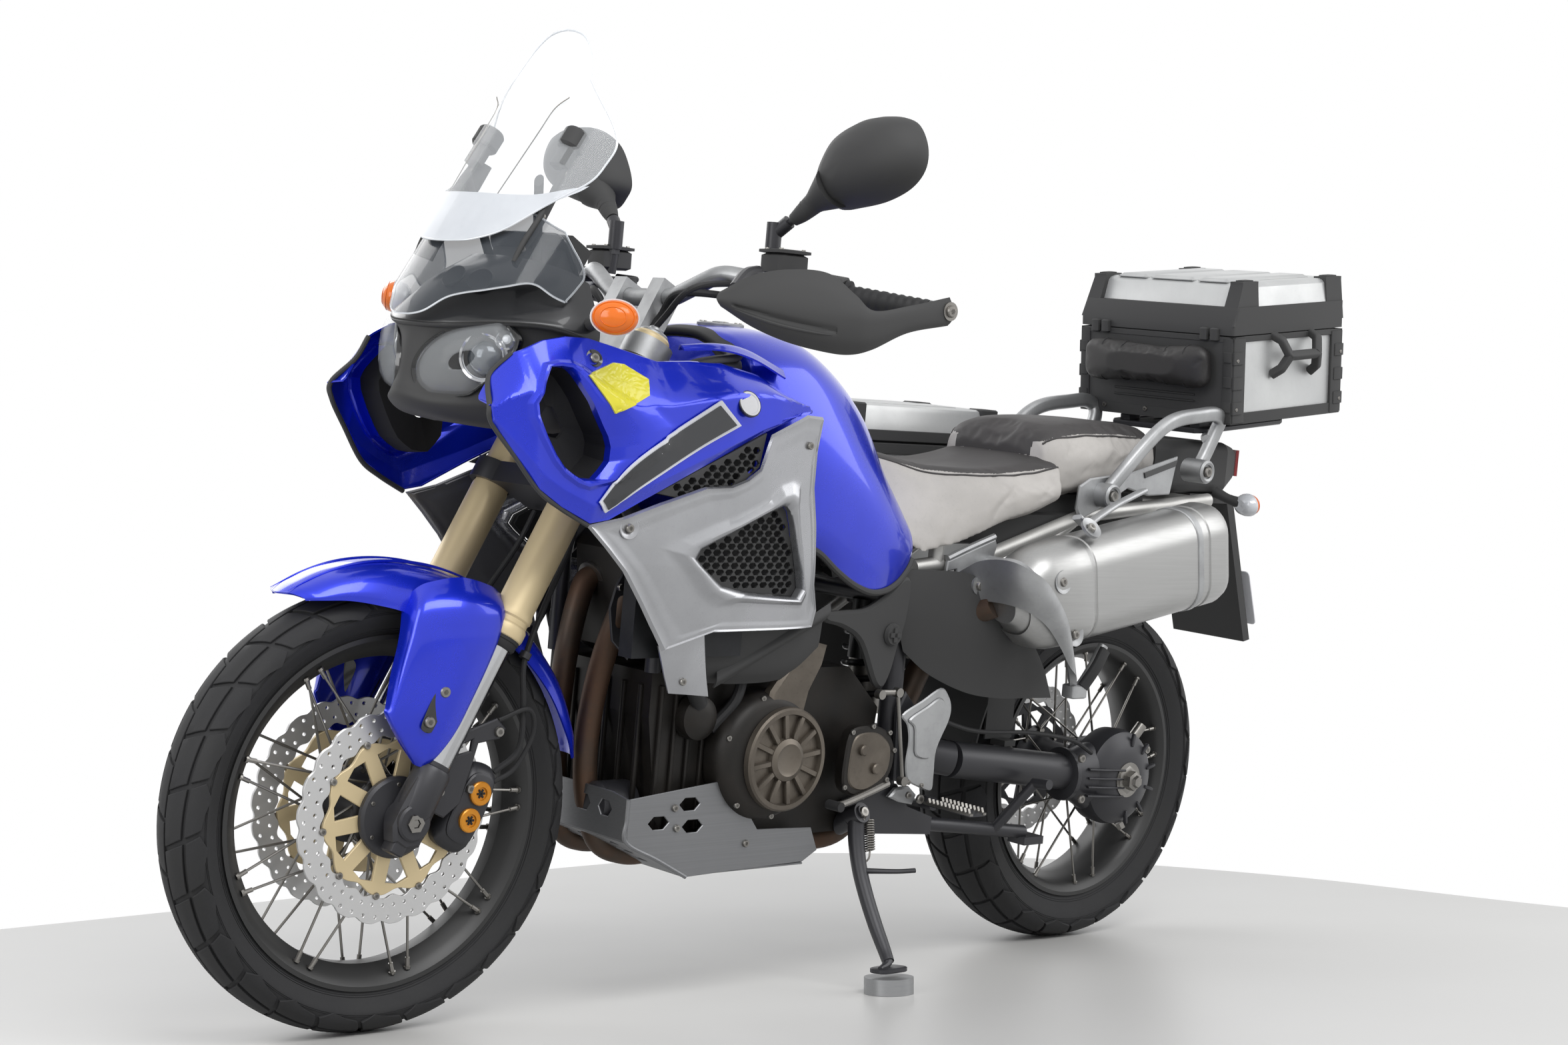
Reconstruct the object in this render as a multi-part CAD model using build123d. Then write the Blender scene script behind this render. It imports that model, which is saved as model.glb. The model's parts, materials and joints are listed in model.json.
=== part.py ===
"""Adventure motorcycle, parked on its side stand, with a top box and a right-hand side case.

Every piece is drawn upright with the steering straight: X forward from the rear axle's plane,
Y to the rider's left, Z up from the ground, in millimetres. The front assembly is then turned by
the parked steering angle, and the whole machine leans onto its side stand.
"""
from build123d import *
import math
import os

# ---- driving dimensions ---------------------------------------------------------------------
WHEELBASE = 1540.0
FRONT_AXLE_X = 1540.0
STEERING_RAKE = 28.0
STEERING_TRAIL = 126.0
PARKED_LEAN = 7.45
PARKED_STEER = -3.0
FIT_GAP = 0.3

FRONT_TYRE_RADIUS = 329.0
FRONT_TYRE_CROWN = 55.0
FRONT_RIM_RADIUS = 253.0
FRONT_RIM_WIDTH = 72.0
REAR_TYRE_RADIUS = 321.0
REAR_TYRE_CROWN = 75.0
REAR_RIM_RADIUS = 227.0
REAR_RIM_WIDTH = 116.0
RIM_DEPTH = 24.0
SPOKE_RADIUS = 2.4
SPOKES_PER_SIDE = 16

AXLE_RADIUS = 12.5
AXLE_BORE_RADIUS = 8.0
HUB_RADIUS = 38.0
HUB_FLANGE_RADIUS = 58.0
FRONT_HUB_HALF_WIDTH = 50.0
REAR_HUB_HALF_WIDTH = 62.0

FRONT_DISC_RADIUS = 155.0
FRONT_DISC_OFFSET = 64.0
REAR_DISC_RADIUS = 141.0
REAR_DISC_OFFSET = 78.0
DISC_THICKNESS = 5.0
DISC_BAND = 36.0

FORK_SPREAD = 210.0
FORK_OFFSET = 43.3
SLIDER_RADIUS = 21.5
OUTER_TUBE_RADIUS = 29.0
OUTER_TUBE_FOOT = 300.0
LOWER_CLAMP_HEIGHT = 535.0
UPPER_CLAMP_HEIGHT = 770.0
CLAMP_THICKNESS = 34.0
STEM_RADIUS = 16.0
HEAD_TUBE_RADIUS = 29.0

BAR_RADIUS = 14.0
BAR_SETBACK = 20.8
BAR_RISE = 126.0
BAR_SWEEP = 186.0
BAR_LIFT = 4.0
BAR_HALF_WIDTH = 450.0
GRIP_RADIUS = 17.5
GRIP_LENGTH = 125.0

FRAME_TUBE_RADIUS = 19.0
SUBFRAME_TUBE_RADIUS = 13.0
COWL_REAR_X = 1350.0

TOP_BOX_LENGTH = 338.0
TOP_BOX_WIDTH = 365.0
TOP_BOX_HEIGHT = 262.0
TOP_BOX_SEAM = 165.0
TOP_BOX_FRONT_X = -176.0
TOP_BOX_FOOT_Z = 974.0
TOP_BOX_PITCH = 6.6
CASE_WALL = 4.0

SIDE_CASE_LENGTH = 400.0
SIDE_CASE_WIDTH = 215.0
SIDE_CASE_HEIGHT = 360.0
SIDE_CASE_LID = 70.0
SIDE_CASE_FRONT_X = 400.0
SIDE_CASE_INNER_Y = -232.0
SIDE_CASE_FOOT_Z = 600.0

STAND_PIVOT = (690.0, 163.0, 300.0)
STAND_FOLDED = (-0.975, 0.14, -0.17)
STAND_FOOT_X = 722.0
STAND_FOOT_Y = 306.0
PUCK_RADIUS = 40.0
PUCK_HEIGHT = 26.0
STAND_LEG_RADIUS = 12.0
STAND_EYE_RADIUS = 17.0
STAND_EYE_HALF = 13.0
STAND_BOLT_RADIUS = 6.0
CENTRE_STAND_PIVOT = (500.0, 0.0, 262.0)
SWINGARM_PIVOT = (590.0, 0.0, 400.0)

# ---- the parked pose ------------------------------------------------------------------------
RAKE_SIN = math.sin(math.radians(STEERING_RAKE))
RAKE_COS = math.cos(math.radians(STEERING_RAKE))
LEAN_COS = math.cos(math.radians(PARKED_LEAN))


def leaned_axle_height(radius, crown):
    """The upright axle height that sets a leaning tyre's round crown on the ground."""
    return radius - crown + crown / LEAN_COS


FRONT_AXLE = Vector(FRONT_AXLE_X, 0, leaned_axle_height(FRONT_TYRE_RADIUS, FRONT_TYRE_CROWN))
REAR_AXLE = Vector(FRONT_AXLE_X - WHEELBASE, 0, leaned_axle_height(REAR_TYRE_RADIUS, REAR_TYRE_CROWN))
STEERING_DIRECTION = Vector(-RAKE_SIN, 0, RAKE_COS)
# The fork's own frame: origin on the front axle, z up the legs, x square to them and forward.
FORK = Plane(origin=FRONT_AXLE, x_dir=(RAKE_COS, 0, RAKE_SIN), z_dir=STEERING_DIRECTION)
STEERING_POINT = FORK.from_local_coords(Vector(-FORK_OFFSET, 0, LOWER_CLAMP_HEIGHT))
STEERING_FRAME = Plane(origin=STEERING_POINT, x_dir=(RAKE_COS, 0, RAKE_SIN), z_dir=STEERING_DIRECTION)
STEER = STEERING_FRAME.location * Rot(0, 0, PARKED_STEER) * STEERING_FRAME.location.inverse()


def tyre_foot(place, axle, radius, crown):
    """The height of a placed tyre's lowest point."""
    centre = (place * Pos(axle)).position
    across = (place * Pos(axle + Vector(0, 1, 0))).position - centre
    return centre.Z - (radius - crown) * math.sqrt(1 - across.Z ** 2) - crown


LEAN = Rot(-PARKED_LEAN, 0, 0)
REAR_FOOT = tyre_foot(LEAN, REAR_AXLE, REAR_TYRE_RADIUS, REAR_TYRE_CROWN)
FRONT_FOOT = tyre_foot(LEAN * STEER, FRONT_AXLE, FRONT_TYRE_RADIUS, FRONT_TYRE_CROWN)
PARKED_PITCH = math.degrees(math.atan2(FRONT_FOOT - REAR_FOOT, WHEELBASE))
ORIGIN_X = 677.0
ORIGIN_Y = 137.0
PARK = Pos(-ORIGIN_X, -ORIGIN_Y, -REAR_FOOT) * Rot(0, PARKED_PITCH, 0) * LEAN


# ---- shapes that repeat ---------------------------------------------------------------------
def block(x_low, x_high, y_low, y_high, z_low, z_high):
    """A box between its limits along the three axes."""
    centre = Pos((x_low + x_high) / 2, (y_low + y_high) / 2, (z_low + z_high) / 2)
    return centre * Box(x_high - x_low, y_high - y_low, z_high - z_low)


def drum(x, z, radius, y_low, y_high):
    """A cylinder across the machine."""
    return Pos(x, (y_low + y_high) / 2, z) * Rot(90, 0, 0) * Cylinder(radius, y_high - y_low)


def rod(start, end, radius):
    """A straight round bar from one point to another."""
    start = Vector(start)
    end = Vector(end)
    plane = Plane(origin=start, z_dir=end - start)
    return extrude(plane * Circle(radius), (end - start).length)


def bent_tube(points, radius, bend):
    """A round tube along straight runs with one bend radius."""
    path = FilletPolyline(*points, radius=bend)
    return sweep(Plane(origin=path @ 0, z_dir=path % 0) * Circle(radius), path=path)


def side_plate(outline, y_low, y_high):
    """A plate whose outline is given in X and Z."""
    face = make_face(Polyline(*[(x, y_low, z) for x, z in outline], close=True))
    return extrude(face, y_high - y_low, dir=(0, 1, 0))


def mirrored(shape):
    """The same piece on the other side of the machine."""
    return mirror(shape, Plane.XZ)


def both_sides(shape):
    """A piece and its mirror image, as two solids."""
    return Compound([shape, mirrored(shape)])


def lengthwise_loft(stations, corner):
    """A body lofted through rounded rectangles: x, half width, low z, high z."""
    sections = []
    for x, half_width, z_low, z_high in stations:
        plane = Plane(origin=(x, 0, (z_low + z_high) / 2), x_dir=(0, 1, 0), z_dir=(1, 0, 0))
        radius = min(corner, 0.45 * half_width * 2, 0.45 * (z_high - z_low))
        sections.append(plane * RectangleRounded(2 * half_width, z_high - z_low, radius))
    return loft(sections, ruled=True)


def ring(axle, outer, inner, y_low, y_high):
    """A flat ring about an axle."""
    return drum(axle.X, axle.Z, outer, y_low, y_high) - drum(axle.X, axle.Z, inner, y_low - 1, y_high + 1)


# ---- wheels ---------------------------------------------------------------------------------
def tyre(axle, radius, crown, rim_radius):
    """A tyre with a round crown, seated on the rim's flanges."""
    seat = rim_radius + FIT_GAP
    half_width = math.sqrt(crown ** 2 - (radius - crown - seat) ** 2)
    crown_arc = ThreePointArc((seat, -half_width, 0), (radius, 0, 0), (seat, half_width, 0))
    section = make_face([crown_arc, Line((seat, half_width, 0), (seat, -half_width, 0))])
    return Pos(axle) * revolve(section, Axis.Y, 360)


def wheel(axle, rim_radius, rim_width, hub_half_width):
    """A wire wheel: channel rim, crossed spokes in two rows and a flanged hub."""
    half = rim_width / 2
    low = rim_radius - RIM_DEPTH
    profile = [(low, -half * 0.5), (low + 8, -half), (rim_radius, -half), (rim_radius, -half + 5),
               (low + 12, -half + 9), (low + 9, -half * 0.4), (low + 9, half * 0.4), (low + 12, half - 9),
               (rim_radius, half - 5), (rim_radius, half), (low + 8, half), (low, half * 0.5)]
    solid = revolve(make_face(Polyline(*[(r, y, 0) for r, y in profile], close=True)), Axis.Y, 360)
    solid += drum(0, 0, HUB_RADIUS, -hub_half_width, hub_half_width)
    for side in (-1, 1):
        flange = side * (hub_half_width - 12)
        solid += drum(0, 0, HUB_FLANGE_RADIUS, flange - 3, flange + 3)
    spokes = []
    step = 360 / SPOKES_PER_SIDE
    for side in (-1, 1):
        for index in range(SPOKES_PER_SIDE):
            hub_angle = math.radians(step * index)
            lead = step * (1.25 if index % 2 else -1.25)
            rim_angle = hub_angle + math.radians(lead)
            foot = HUB_FLANGE_RADIUS - 4
            head = low + 9
            start = (foot * math.cos(hub_angle), side * (hub_half_width - 12), foot * math.sin(hub_angle))
            end = (head * math.cos(rim_angle), side * (half - 7), head * math.sin(rim_angle))
            spokes.append(rod(start, end, SPOKE_RADIUS))
    solid = solid.fuse(*spokes)
    solid -= drum(0, 0, AXLE_RADIUS + FIT_GAP, -hub_half_width - 1, hub_half_width + 1)
    return Pos(axle) * solid


def brake_disc(axle, radius, offset, hub_half_width):
    """A brake disc with its carrier, bolted to the hub's end face."""
    side = 1 if offset > 0 else -1
    half = DISC_THICKNESS / 2
    face = abs(offset)
    rotor = ring(axle, radius, radius - DISC_BAND, face - half, face + half)
    carrier = ring(axle, radius - DISC_BAND, HUB_RADIUS - 8, face - half, face + half)
    boss = ring(axle, HUB_RADIUS, HUB_RADIUS - 8, hub_half_width + FIT_GAP, face + half)
    solid = rotor + carrier + boss
    return solid if side > 0 else mirrored(solid)


# ---- front assembly, drawn in the fork's own frame ---------------------------------------------
LEG_Y = FORK_SPREAD / 2


def in_fork(shape):
    """Set a piece drawn in the fork's frame into the machine's frame."""
    return FORK.location * shape


def fork_outer_tube():
    """A gold outer tube with two rings near its lower end."""
    top = UPPER_CLAMP_HEIGHT + CLAMP_THICKNESS + 12
    tube = Pos(0, LEG_Y, (OUTER_TUBE_FOOT + top) / 2) * Cylinder(OUTER_TUBE_RADIUS, top - OUTER_TUBE_FOOT)
    for height in (OUTER_TUBE_FOOT + 8, OUTER_TUBE_FOOT + 38):
        tube += Pos(0, LEG_Y, height) * Cylinder(OUTER_TUBE_RADIUS + 3, 12)
    return in_fork(tube)


def fork_lowers():
    """Sliders, axle carriers with their calipers' lugs, and the axle."""
    length = OUTER_TUBE_FOOT - 40
    slider = Pos(0, LEG_Y, 40 + length / 2) * Cylinder(SLIDER_RADIUS, length)
    foot = Pos(0, LEG_Y, 18) * Cylinder(SLIDER_RADIUS + 6, 116)
    lug = Pos(-38, LEG_Y, 62) * Box(46, 18, 84)
    leg = slider + foot + lug
    both = leg + mirrored(leg)
    both += drum(0, 0, AXLE_RADIUS, -LEG_Y - 34, LEG_Y + 34)
    spacer = drum(0, 0, AXLE_RADIUS + 7, FRONT_DISC_OFFSET - 10, LEG_Y)
    both += spacer + mirrored(spacer)
    both -= drum(0, 0, AXLE_BORE_RADIUS, -LEG_Y - 40, LEG_Y + 40)
    return in_fork(both)


def front_caliper():
    """A brake caliper astride the left disc, behind the fork leg."""
    body = Pos(-90.3, 0, 62) * Box(58, 54, 112)
    body = Pos(0, FRONT_DISC_OFFSET + 5, 0) * body
    slot = drum(0, 0, FRONT_DISC_RADIUS + 6, FRONT_DISC_OFFSET - 8, FRONT_DISC_OFFSET + 8)
    return in_fork(body - slot)


def clamp_plate(height):
    """A fork clamp that holds both legs."""
    middle = Pos(-FORK_OFFSET / 2, 0, height + CLAMP_THICKNESS / 2)
    plate = middle * Box(92, FORK_SPREAD - 40, CLAMP_THICKNESS)
    for side in (-1, 1):
        leg = Pos(0, side * LEG_Y, height + CLAMP_THICKNESS / 2)
        plate += leg * Cylinder(OUTER_TUBE_RADIUS + 9, CLAMP_THICKNESS)
    for side in (-1, 1):
        leg = Pos(0, side * LEG_Y, height + CLAMP_THICKNESS / 2)
        plate -= leg * Cylinder(OUTER_TUBE_RADIUS + FIT_GAP, CLAMP_THICKNESS + 2)
    return plate


def lower_clamp():
    """The lower clamp and the steering stem that it carries."""
    stem_top = UPPER_CLAMP_HEIGHT - FIT_GAP
    stem_foot = LOWER_CLAMP_HEIGHT + CLAMP_THICKNESS
    stem = Pos(-FORK_OFFSET, 0, (stem_top + stem_foot) / 2) * Cylinder(STEM_RADIUS, stem_top - stem_foot)
    return in_fork(clamp_plate(LOWER_CLAMP_HEIGHT) + stem)


BAR_IN_FORK = Vector(-BAR_SETBACK, 0, UPPER_CLAMP_HEIGHT + BAR_RISE)
BAR_CENTRE = FORK.from_local_coords(BAR_IN_FORK)
BAR_BEND = BAR_CENTRE + Vector(-22, 160, 42)
BAR_END = BAR_CENTRE + Vector(-BAR_SWEEP, BAR_HALF_WIDTH, BAR_LIFT)
GRIP_DIRECTION = (BAR_END - BAR_BEND).normalized()


def upper_clamp():
    """The upper clamp with the handlebar's risers."""
    plate = clamp_plate(UPPER_CLAMP_HEIGHT)
    foot = UPPER_CLAMP_HEIGHT + CLAMP_THICKNESS - 2
    top = BAR_IN_FORK.Z + BAR_RADIUS + 9
    for side in (-1, 1):
        riser = Pos(BAR_IN_FORK.X, side * 48, (foot + top) / 2) * Box(44, 30, top - foot)
        plate += riser
    plate -= drum(BAR_IN_FORK.X, BAR_IN_FORK.Z, BAR_RADIUS + FIT_GAP, -90, 90)
    return in_fork(plate)


def handlebar():
    """A bar that rises beside its clamps and sweeps back to the grips."""
    half = [BAR_CENTRE + Vector(0, 72, 0), BAR_BEND, BAR_END]
    points = [(point.X, -point.Y, point.Z) for point in reversed(half)] + half
    return bent_tube(points, BAR_RADIUS, 60)


def on_grip(distance):
    """A point on the left grip's centre line, so far in from the bar's end."""
    return BAR_END - GRIP_DIRECTION * distance


def bar_controls():
    """Grip, switch housing, lever and reservoir of the left side."""
    inner = GRIP_LENGTH
    sleeve = rod(on_grip(inner), on_grip(-4), GRIP_RADIUS)
    housing = rod(on_grip(inner + 46), on_grip(inner), 25)
    perch = rod(on_grip(inner + 72), on_grip(inner + 46), 21)
    bore = rod(on_grip(inner + 90), on_grip(0), BAR_RADIUS + FIT_GAP)
    pivot = on_grip(inner + 56) + Vector(42, 0, -6)
    arm = rod(on_grip(inner + 58) + Vector(14, 0, 0), pivot + Vector(4, 0, 0), 11)
    lever = rod(pivot, on_grip(-2) + Vector(48, 0, -10), 7)
    cup = on_grip(inner + 62) + Vector(26, -6, 46)
    post = rod(on_grip(inner + 60) + Vector(4, 0, 12), cup, 9)
    cup_body = Pos(cup) * Cylinder(23, 40)
    return sleeve + housing + perch + arm + lever + post + cup_body - bore


def handguard():
    """A wind guard that runs from the bar's end round in front of the lever."""
    end = BAR_END
    rear = [(end.X - 22, end.Y + 6), (end.X - 22, end.Y + 28), (end.X + 45, end.Y + 30),
            (end.X + 128, end.Y - 50), (end.X + 205, end.Y - 190), (end.X + 199, end.Y - 194),
            (end.X + 122, end.Y - 55), (end.X + 42, end.Y + 22), (end.X, end.Y + 20), (end.X, end.Y + 6)]
    face = make_face(Polyline(*[(x, y, end.Z - 62) for x, y in rear], close=True))
    guard = extrude(face, 128, dir=(0, 0, 1))
    under = [(end.X + 60, end.Z - 64), (end.X + 210, end.Z - 64), (end.X + 210, end.Z - 18)]
    over = [(end.X + 90, end.Z + 68), (end.X + 210, end.Z + 68), (end.X + 210, end.Z + 36)]
    for corner in (under, over):
        guard -= side_plate(corner, 0, 2 * end.Y)
    return guard


def rear_view_mirror():
    """A mirror head on a bent stem from the lever's perch."""
    foot = on_grip(GRIP_LENGTH + 34) + Vector(0, 0, 24)
    head = BAR_END + Vector(70, -100, 221)
    stem = rod(foot, head - Vector(-8, 40, 40), 6)
    shell = Pos(head) * Box(46, 196, 118)
    shell = fillet(shell.edges().filter_by(Axis.X), 50)
    housing = rod(on_grip(GRIP_LENGTH + 50), on_grip(GRIP_LENGTH - 4), 25 + FIT_GAP)
    return stem - housing + shell


def front_fender():
    """The fender over the front tyre: a crowned shell with a raised beak and two side leaves."""
    skin = 4.0
    inner = FRONT_TYRE_RADIUS + 16
    half_width = 68
    axle = Vector(0, 0, 0)
    shell = ring(axle, inner + skin, inner, -half_width, half_width)
    shell &= side_plate([(0, 0), (330, 245), (330, 500), (-470, 500), (-470, 235)], -100, 100)
    beak = side_plate([(250, 246), (182, 322), (90, 352), (60, 352), (150, 318), (230, 262)], -20, 20)
    leaf = block(-112, 20, half_width - 1, half_width + skin, 110, 340)
    solid = Pos(FRONT_AXLE) * (shell + beak + leaf + mirrored(leaf))
    reach = LEG_Y - SLIDER_RADIUS - FIT_GAP
    lug = in_fork(block(-12, 12, half_width + 1, reach, 215, 245))
    return solid + lug + mirrored(lug)


# ---- the side stand's place ---------------------------------------------------------------------
def on_ground(shape):
    """Undo the lean for a piece that lies flat on the ground when parked."""
    return LEAN.inverse() * Pos(0, 0, REAR_FOOT) * shape


def stand_foot_in_frame():
    """The side stand's foot, on the puck, brought back into the upright frame."""
    upright = LEAN.inverse() * Pos(0, STAND_FOOT_Y, PUCK_HEIGHT + 14 + REAR_FOOT)
    return Vector(STAND_FOOT_X, upright.position.Y, upright.position.Z)


def stand_fold_axis():
    """The side stand turns about the line square to its parked leg and to its folded leg."""
    parked = (stand_foot_in_frame() - Vector(STAND_PIVOT)).normalized()
    return parked.cross(Vector(STAND_FOLDED).normalized()).normalized()


# ---- frame, engine and exhaust ------------------------------------------------------------------
def head_point(height):
    """A point on the steering axis, so far up the fork."""
    return FORK.from_local_coords(Vector(-FORK_OFFSET, 0, height))


HEAD_FOOT = LOWER_CLAMP_HEIGHT + CLAMP_THICKNESS + FIT_GAP
HEAD_TOP = UPPER_CLAMP_HEIGHT - FIT_GAP
FRAME_Y = 120.0
CRANKCASE_HALF_WIDTH = 125.0
LUG_FACE_Y = FRAME_Y + FRAME_TUBE_RADIUS - 0.4
CRANKCASE_TOP = 540.0


def main_frame():
    """Head tube, backbone tubes down to the swingarm pivot, and down tubes to the engine."""
    head = rod(head_point(HEAD_FOOT), head_point(HEAD_TOP), HEAD_TUBE_RADIUS)
    upper = head_point(HEAD_FOOT + 140)
    lower = head_point(HEAD_FOOT + 90)
    stay_radius = 14
    stay_end = (COWL_REAR_X - FIT_GAP - stay_radius * RAKE_SIN, 0, 961)
    solid = head + rod(head_point(650), stay_end, stay_radius)
    for side in (-1, 1):
        y = side * FRAME_Y
        solid += bent_tube([(upper.X, side * 12, upper.Z), (960, y, 838), (640, y, 760), (590, y, 640),
                            (590, y, 330)], FRAME_TUBE_RADIUS, 40)
        solid += rod((lower.X, side * 12, lower.Z), (1120, y, 700), FRAME_TUBE_RADIUS - 4)
        solid += rod((1120, y, 700), (960, y, 838), FRAME_TUBE_RADIUS - 6)
        solid += rod((1120, y, 700), (1120, y, CRANKCASE_TOP + FIT_GAP), FRAME_TUBE_RADIUS - 6)
    for side in (-1, 1):
        solid += block(770, 810, side * FRAME_Y - 15, side * FRAME_Y + 15, 795, 866 - FIT_GAP)
    solid += drum(590, 650, FRAME_TUBE_RADIUS - 4, -FRAME_Y, FRAME_Y)
    solid += drum(590, 352, FRAME_TUBE_RADIUS - 4, -FRAME_Y, FRAME_Y)
    solid -= rod(head_point(HEAD_FOOT - 5), head_point(HEAD_TOP + 5), STEM_RADIUS + FIT_GAP)
    outline = [(575, 340), (690, 320), (700, 270), (670, 262), (560, 254), (482, 248), (482, 278), (545, 300)]
    lug = side_plate(outline, CRANKCASE_HALF_WIDTH + FIT_GAP, LUG_FACE_Y)
    return solid + lug + mirrored(lug) + stand_boss()


def stand_boss():
    """The boss on the left lug and the bolt that the side stand turns on."""
    pivot = Vector(STAND_PIVOT)
    axis = stand_fold_axis()
    boss = rod(pivot - axis * 50, pivot - axis * (STAND_EYE_HALF + FIT_GAP), STAND_EYE_RADIUS)
    bolt = rod(pivot - axis * 20, pivot + axis * (STAND_EYE_HALF + 5), STAND_BOLT_RADIUS)
    head = rod(pivot + axis * (STAND_EYE_HALF + FIT_GAP), pivot + axis * (STAND_EYE_HALF + 6), 10)
    outside = block(500, 900, CRANKCASE_HALF_WIDTH + 3, 300, 200, 400)
    return (boss + bolt + head) & outside


def crankcase():
    """The engine's crankcase with its sump and round covers' seats."""
    outline = [(640, 320), (700, 266), (1060, 266), (1096, 310), (1124, 470), (1124, CRANKCASE_TOP),
               (700, CRANKCASE_TOP), (625, 470)]
    return side_plate(outline, -CRANKCASE_HALF_WIDTH, CRANKCASE_HALF_WIDTH)


def engine_covers():
    """The round left cover and the gear cover behind it, and the right clutch cover."""
    left = drum(917, 413, 97, CRANKCASE_HALF_WIDTH, 190) + drum(917, 413, 60, 190, 197)
    gear = drum(700, 400, 58, CRANKCASE_HALF_WIDTH, 178)
    clutch = mirrored(drum(860, 410, 105, CRANKCASE_HALF_WIDTH, 196))
    return Compound([left, gear, clutch])


def cylinders():
    """The inclined cylinder block and the head."""
    outline = [(900, 540), (1060, 540), (1100, 560), (1118, 715), (1090, 762), (930, 775)]
    return side_plate(outline, -92, 92)


def exhaust_headers():
    """Two header pipes, the collector under the engine and the link pipe up to the muffler."""
    solid = None
    for y in (-55, 55):
        pipe = bent_tube([(1104, y, 668), (1146, y, 660), (1150, y, 420), (1132, y, 242), (1040, y, 242)], 19, 20)
        solid = pipe if solid is None else solid + pipe
    solid += bent_tube([(1040, -55, 242), (960, 0, 242), (655, 66, 242), (610, 76, 300), (480, 108, 306),
                        (430, 184, 332), (446, 226, 480), (452, 226, 652)], 21, 28)
    solid += rod((1040, 55, 242), (955, 0, 242), 19)
    return solid - cylinders() - muffler()


MUFFLER_AXIS = Plane(origin=(452, 226, 652), x_dir=(0, 1, 0), z_dir=(-0.984, 0, 0.178))


def muffler():
    """The flattened silencer on the left, with its inlet cone and end cap."""
    sections = []
    for along, width, height in ((0, 70, 70), (60, 116, 170), (470, 122, 186), (520, 122, 186), (545, 100, 150)):
        plane = MUFFLER_AXIS.offset(along)
        sections.append(plane * RectangleRounded(width, height, 0.42 * width))
    return loft(sections, ruled=True)


def radiator():
    """The radiator core behind the left side panel."""
    stay_y = FRAME_Y + FRAME_TUBE_RADIUS - 6 + FIT_GAP
    return block(1010, 1230, 165, 195, 575, 770) + block(1108, 1132, stay_y, 165, 640, 660)


def skid_plate():
    """The aluminium plate under the engine, with turned-up front and sides."""
    outer = [(740, 214), (1140, 208), (1190, 262), (1192, 400), (1110, 400), (1050, 284), (740, 262)]
    solid = side_plate(outer, -158, 158)
    inner = [(730, 218), (1138, 212), (1186, 265), (1188, 402), (1100, 402), (730, 402)]
    solid -= side_plate(inner, -154, 154)
    tab = block(900, 940, CRANKCASE_HALF_WIDTH + FIT_GAP, 156, 266, 273)
    return solid + tab + mirrored(tab)


# ---- bodywork -------------------------------------------------------------------------------
TUNNEL_LOW = FRAME_Y - FRAME_TUBE_RADIUS - 4
TUNNEL_HIGH = FRAME_Y + FRAME_TUBE_RADIUS + 4


def fuel_tank():
    """The tank: a lofted upper body, two lobes beside the engine, and tunnels over the frame."""
    upper = lengthwise_loft([(600, 92, 800, 905), (690, 135, 800, 975), (833, 172, 800, 1069),
                             (960, 172, 800, 1064), (1062, 118, 914, 1040)], 60)
    lobe = side_plate([(640, 700), (900, 690), (1000, 790), (1000, 900), (640, 870)], TUNNEL_HIGH, 194)
    solid = upper + lobe + mirrored(lobe)
    tunnel = block(560, 1110, TUNNEL_LOW, TUNNEL_HIGH, 680, 866)
    solid -= tunnel
    solid -= mirrored(tunnel)
    solid -= block(840, 1110, -TUNNEL_HIGH, TUNNEL_HIGH, 680, 878)
    solid -= block(970, 1110, -TUNNEL_HIGH, TUNNEL_HIGH, 680, 912)
    return solid


def nose_body():
    """The nose's outer form."""
    return lengthwise_loft([(COWL_REAR_X, 182, 930, 1100), (1440, 150, 925, 1085), (1528, 62, 935, 1010)], 40)


def front_cowl():
    """The dark nose that holds the headlamps, the clocks and the screen."""
    solid = nose_body()
    for side in (-1, 1):
        solid -= headlamp_body(side, FIT_GAP)
    return solid


def headlamp_body(side, grow=0.0):
    """A headlamp unit set into the nose."""
    lamp = Pos(1446, side * 84, 1004) * Rot(0, 0, side * 33) * Box(130 + grow, 88 + 2 * grow, 66 + 2 * grow)
    return lamp


def headlamps():
    """The pair of headlamps."""
    return Compound([headlamp_body(1), headlamp_body(-1)])


def cockpit():
    """The clocks and the stay that holds the screen."""
    clocks = Pos(1322, 0, 1140) * Rot(0, -30, 0) * Box(44, 170, 92)
    foot = block(COWL_REAR_X, 1372, -60, 60, 1100 + FIT_GAP, 1112)
    arm = block(1330, 1372, -60, 60, 1108, 1128)
    solid = clocks + foot + arm
    for side in (-1, 1):
        solid += rod((1352, side * 50, 1120), (1400, side * 96, 1300), 7)
    reach = SCREEN_RADIUS - SCREEN_THICKNESS - FIT_GAP
    inside = Pos(1487, 0, 1165) * Rot(0, -SCREEN_SLANT, 0) * Pos(-SCREEN_RADIUS, 0, 0) * Cylinder(reach, 900)
    return solid & inside


SCREEN_RADIUS = 172.0
SCREEN_THICKNESS = 4.0
SCREEN_SLANT = 32.0


def screen_shell(centre_x, centre_z, low, high, outline):
    """A curved screen: part of an inclined cylinder's wall inside a front outline."""
    place = Pos(centre_x, 0, centre_z) * Rot(0, -SCREEN_SLANT, 0)
    height = high - low
    shell = Cylinder(SCREEN_RADIUS, height) - Cylinder(SCREEN_RADIUS - SCREEN_THICKNESS, height + 2)
    shell = place * Pos(-SCREEN_RADIUS, 0, (low + high) / 2) * shell
    shell &= place * block(-SCREEN_RADIUS, 1, -SCREEN_RADIUS, SCREEN_RADIUS, low - 1, high + 1)
    face = make_face(Polyline(*[(centre_x - 500, y, z) for y, z in outline], close=True))
    return shell & extrude(face, 900, dir=(1, 0, 0))


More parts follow.
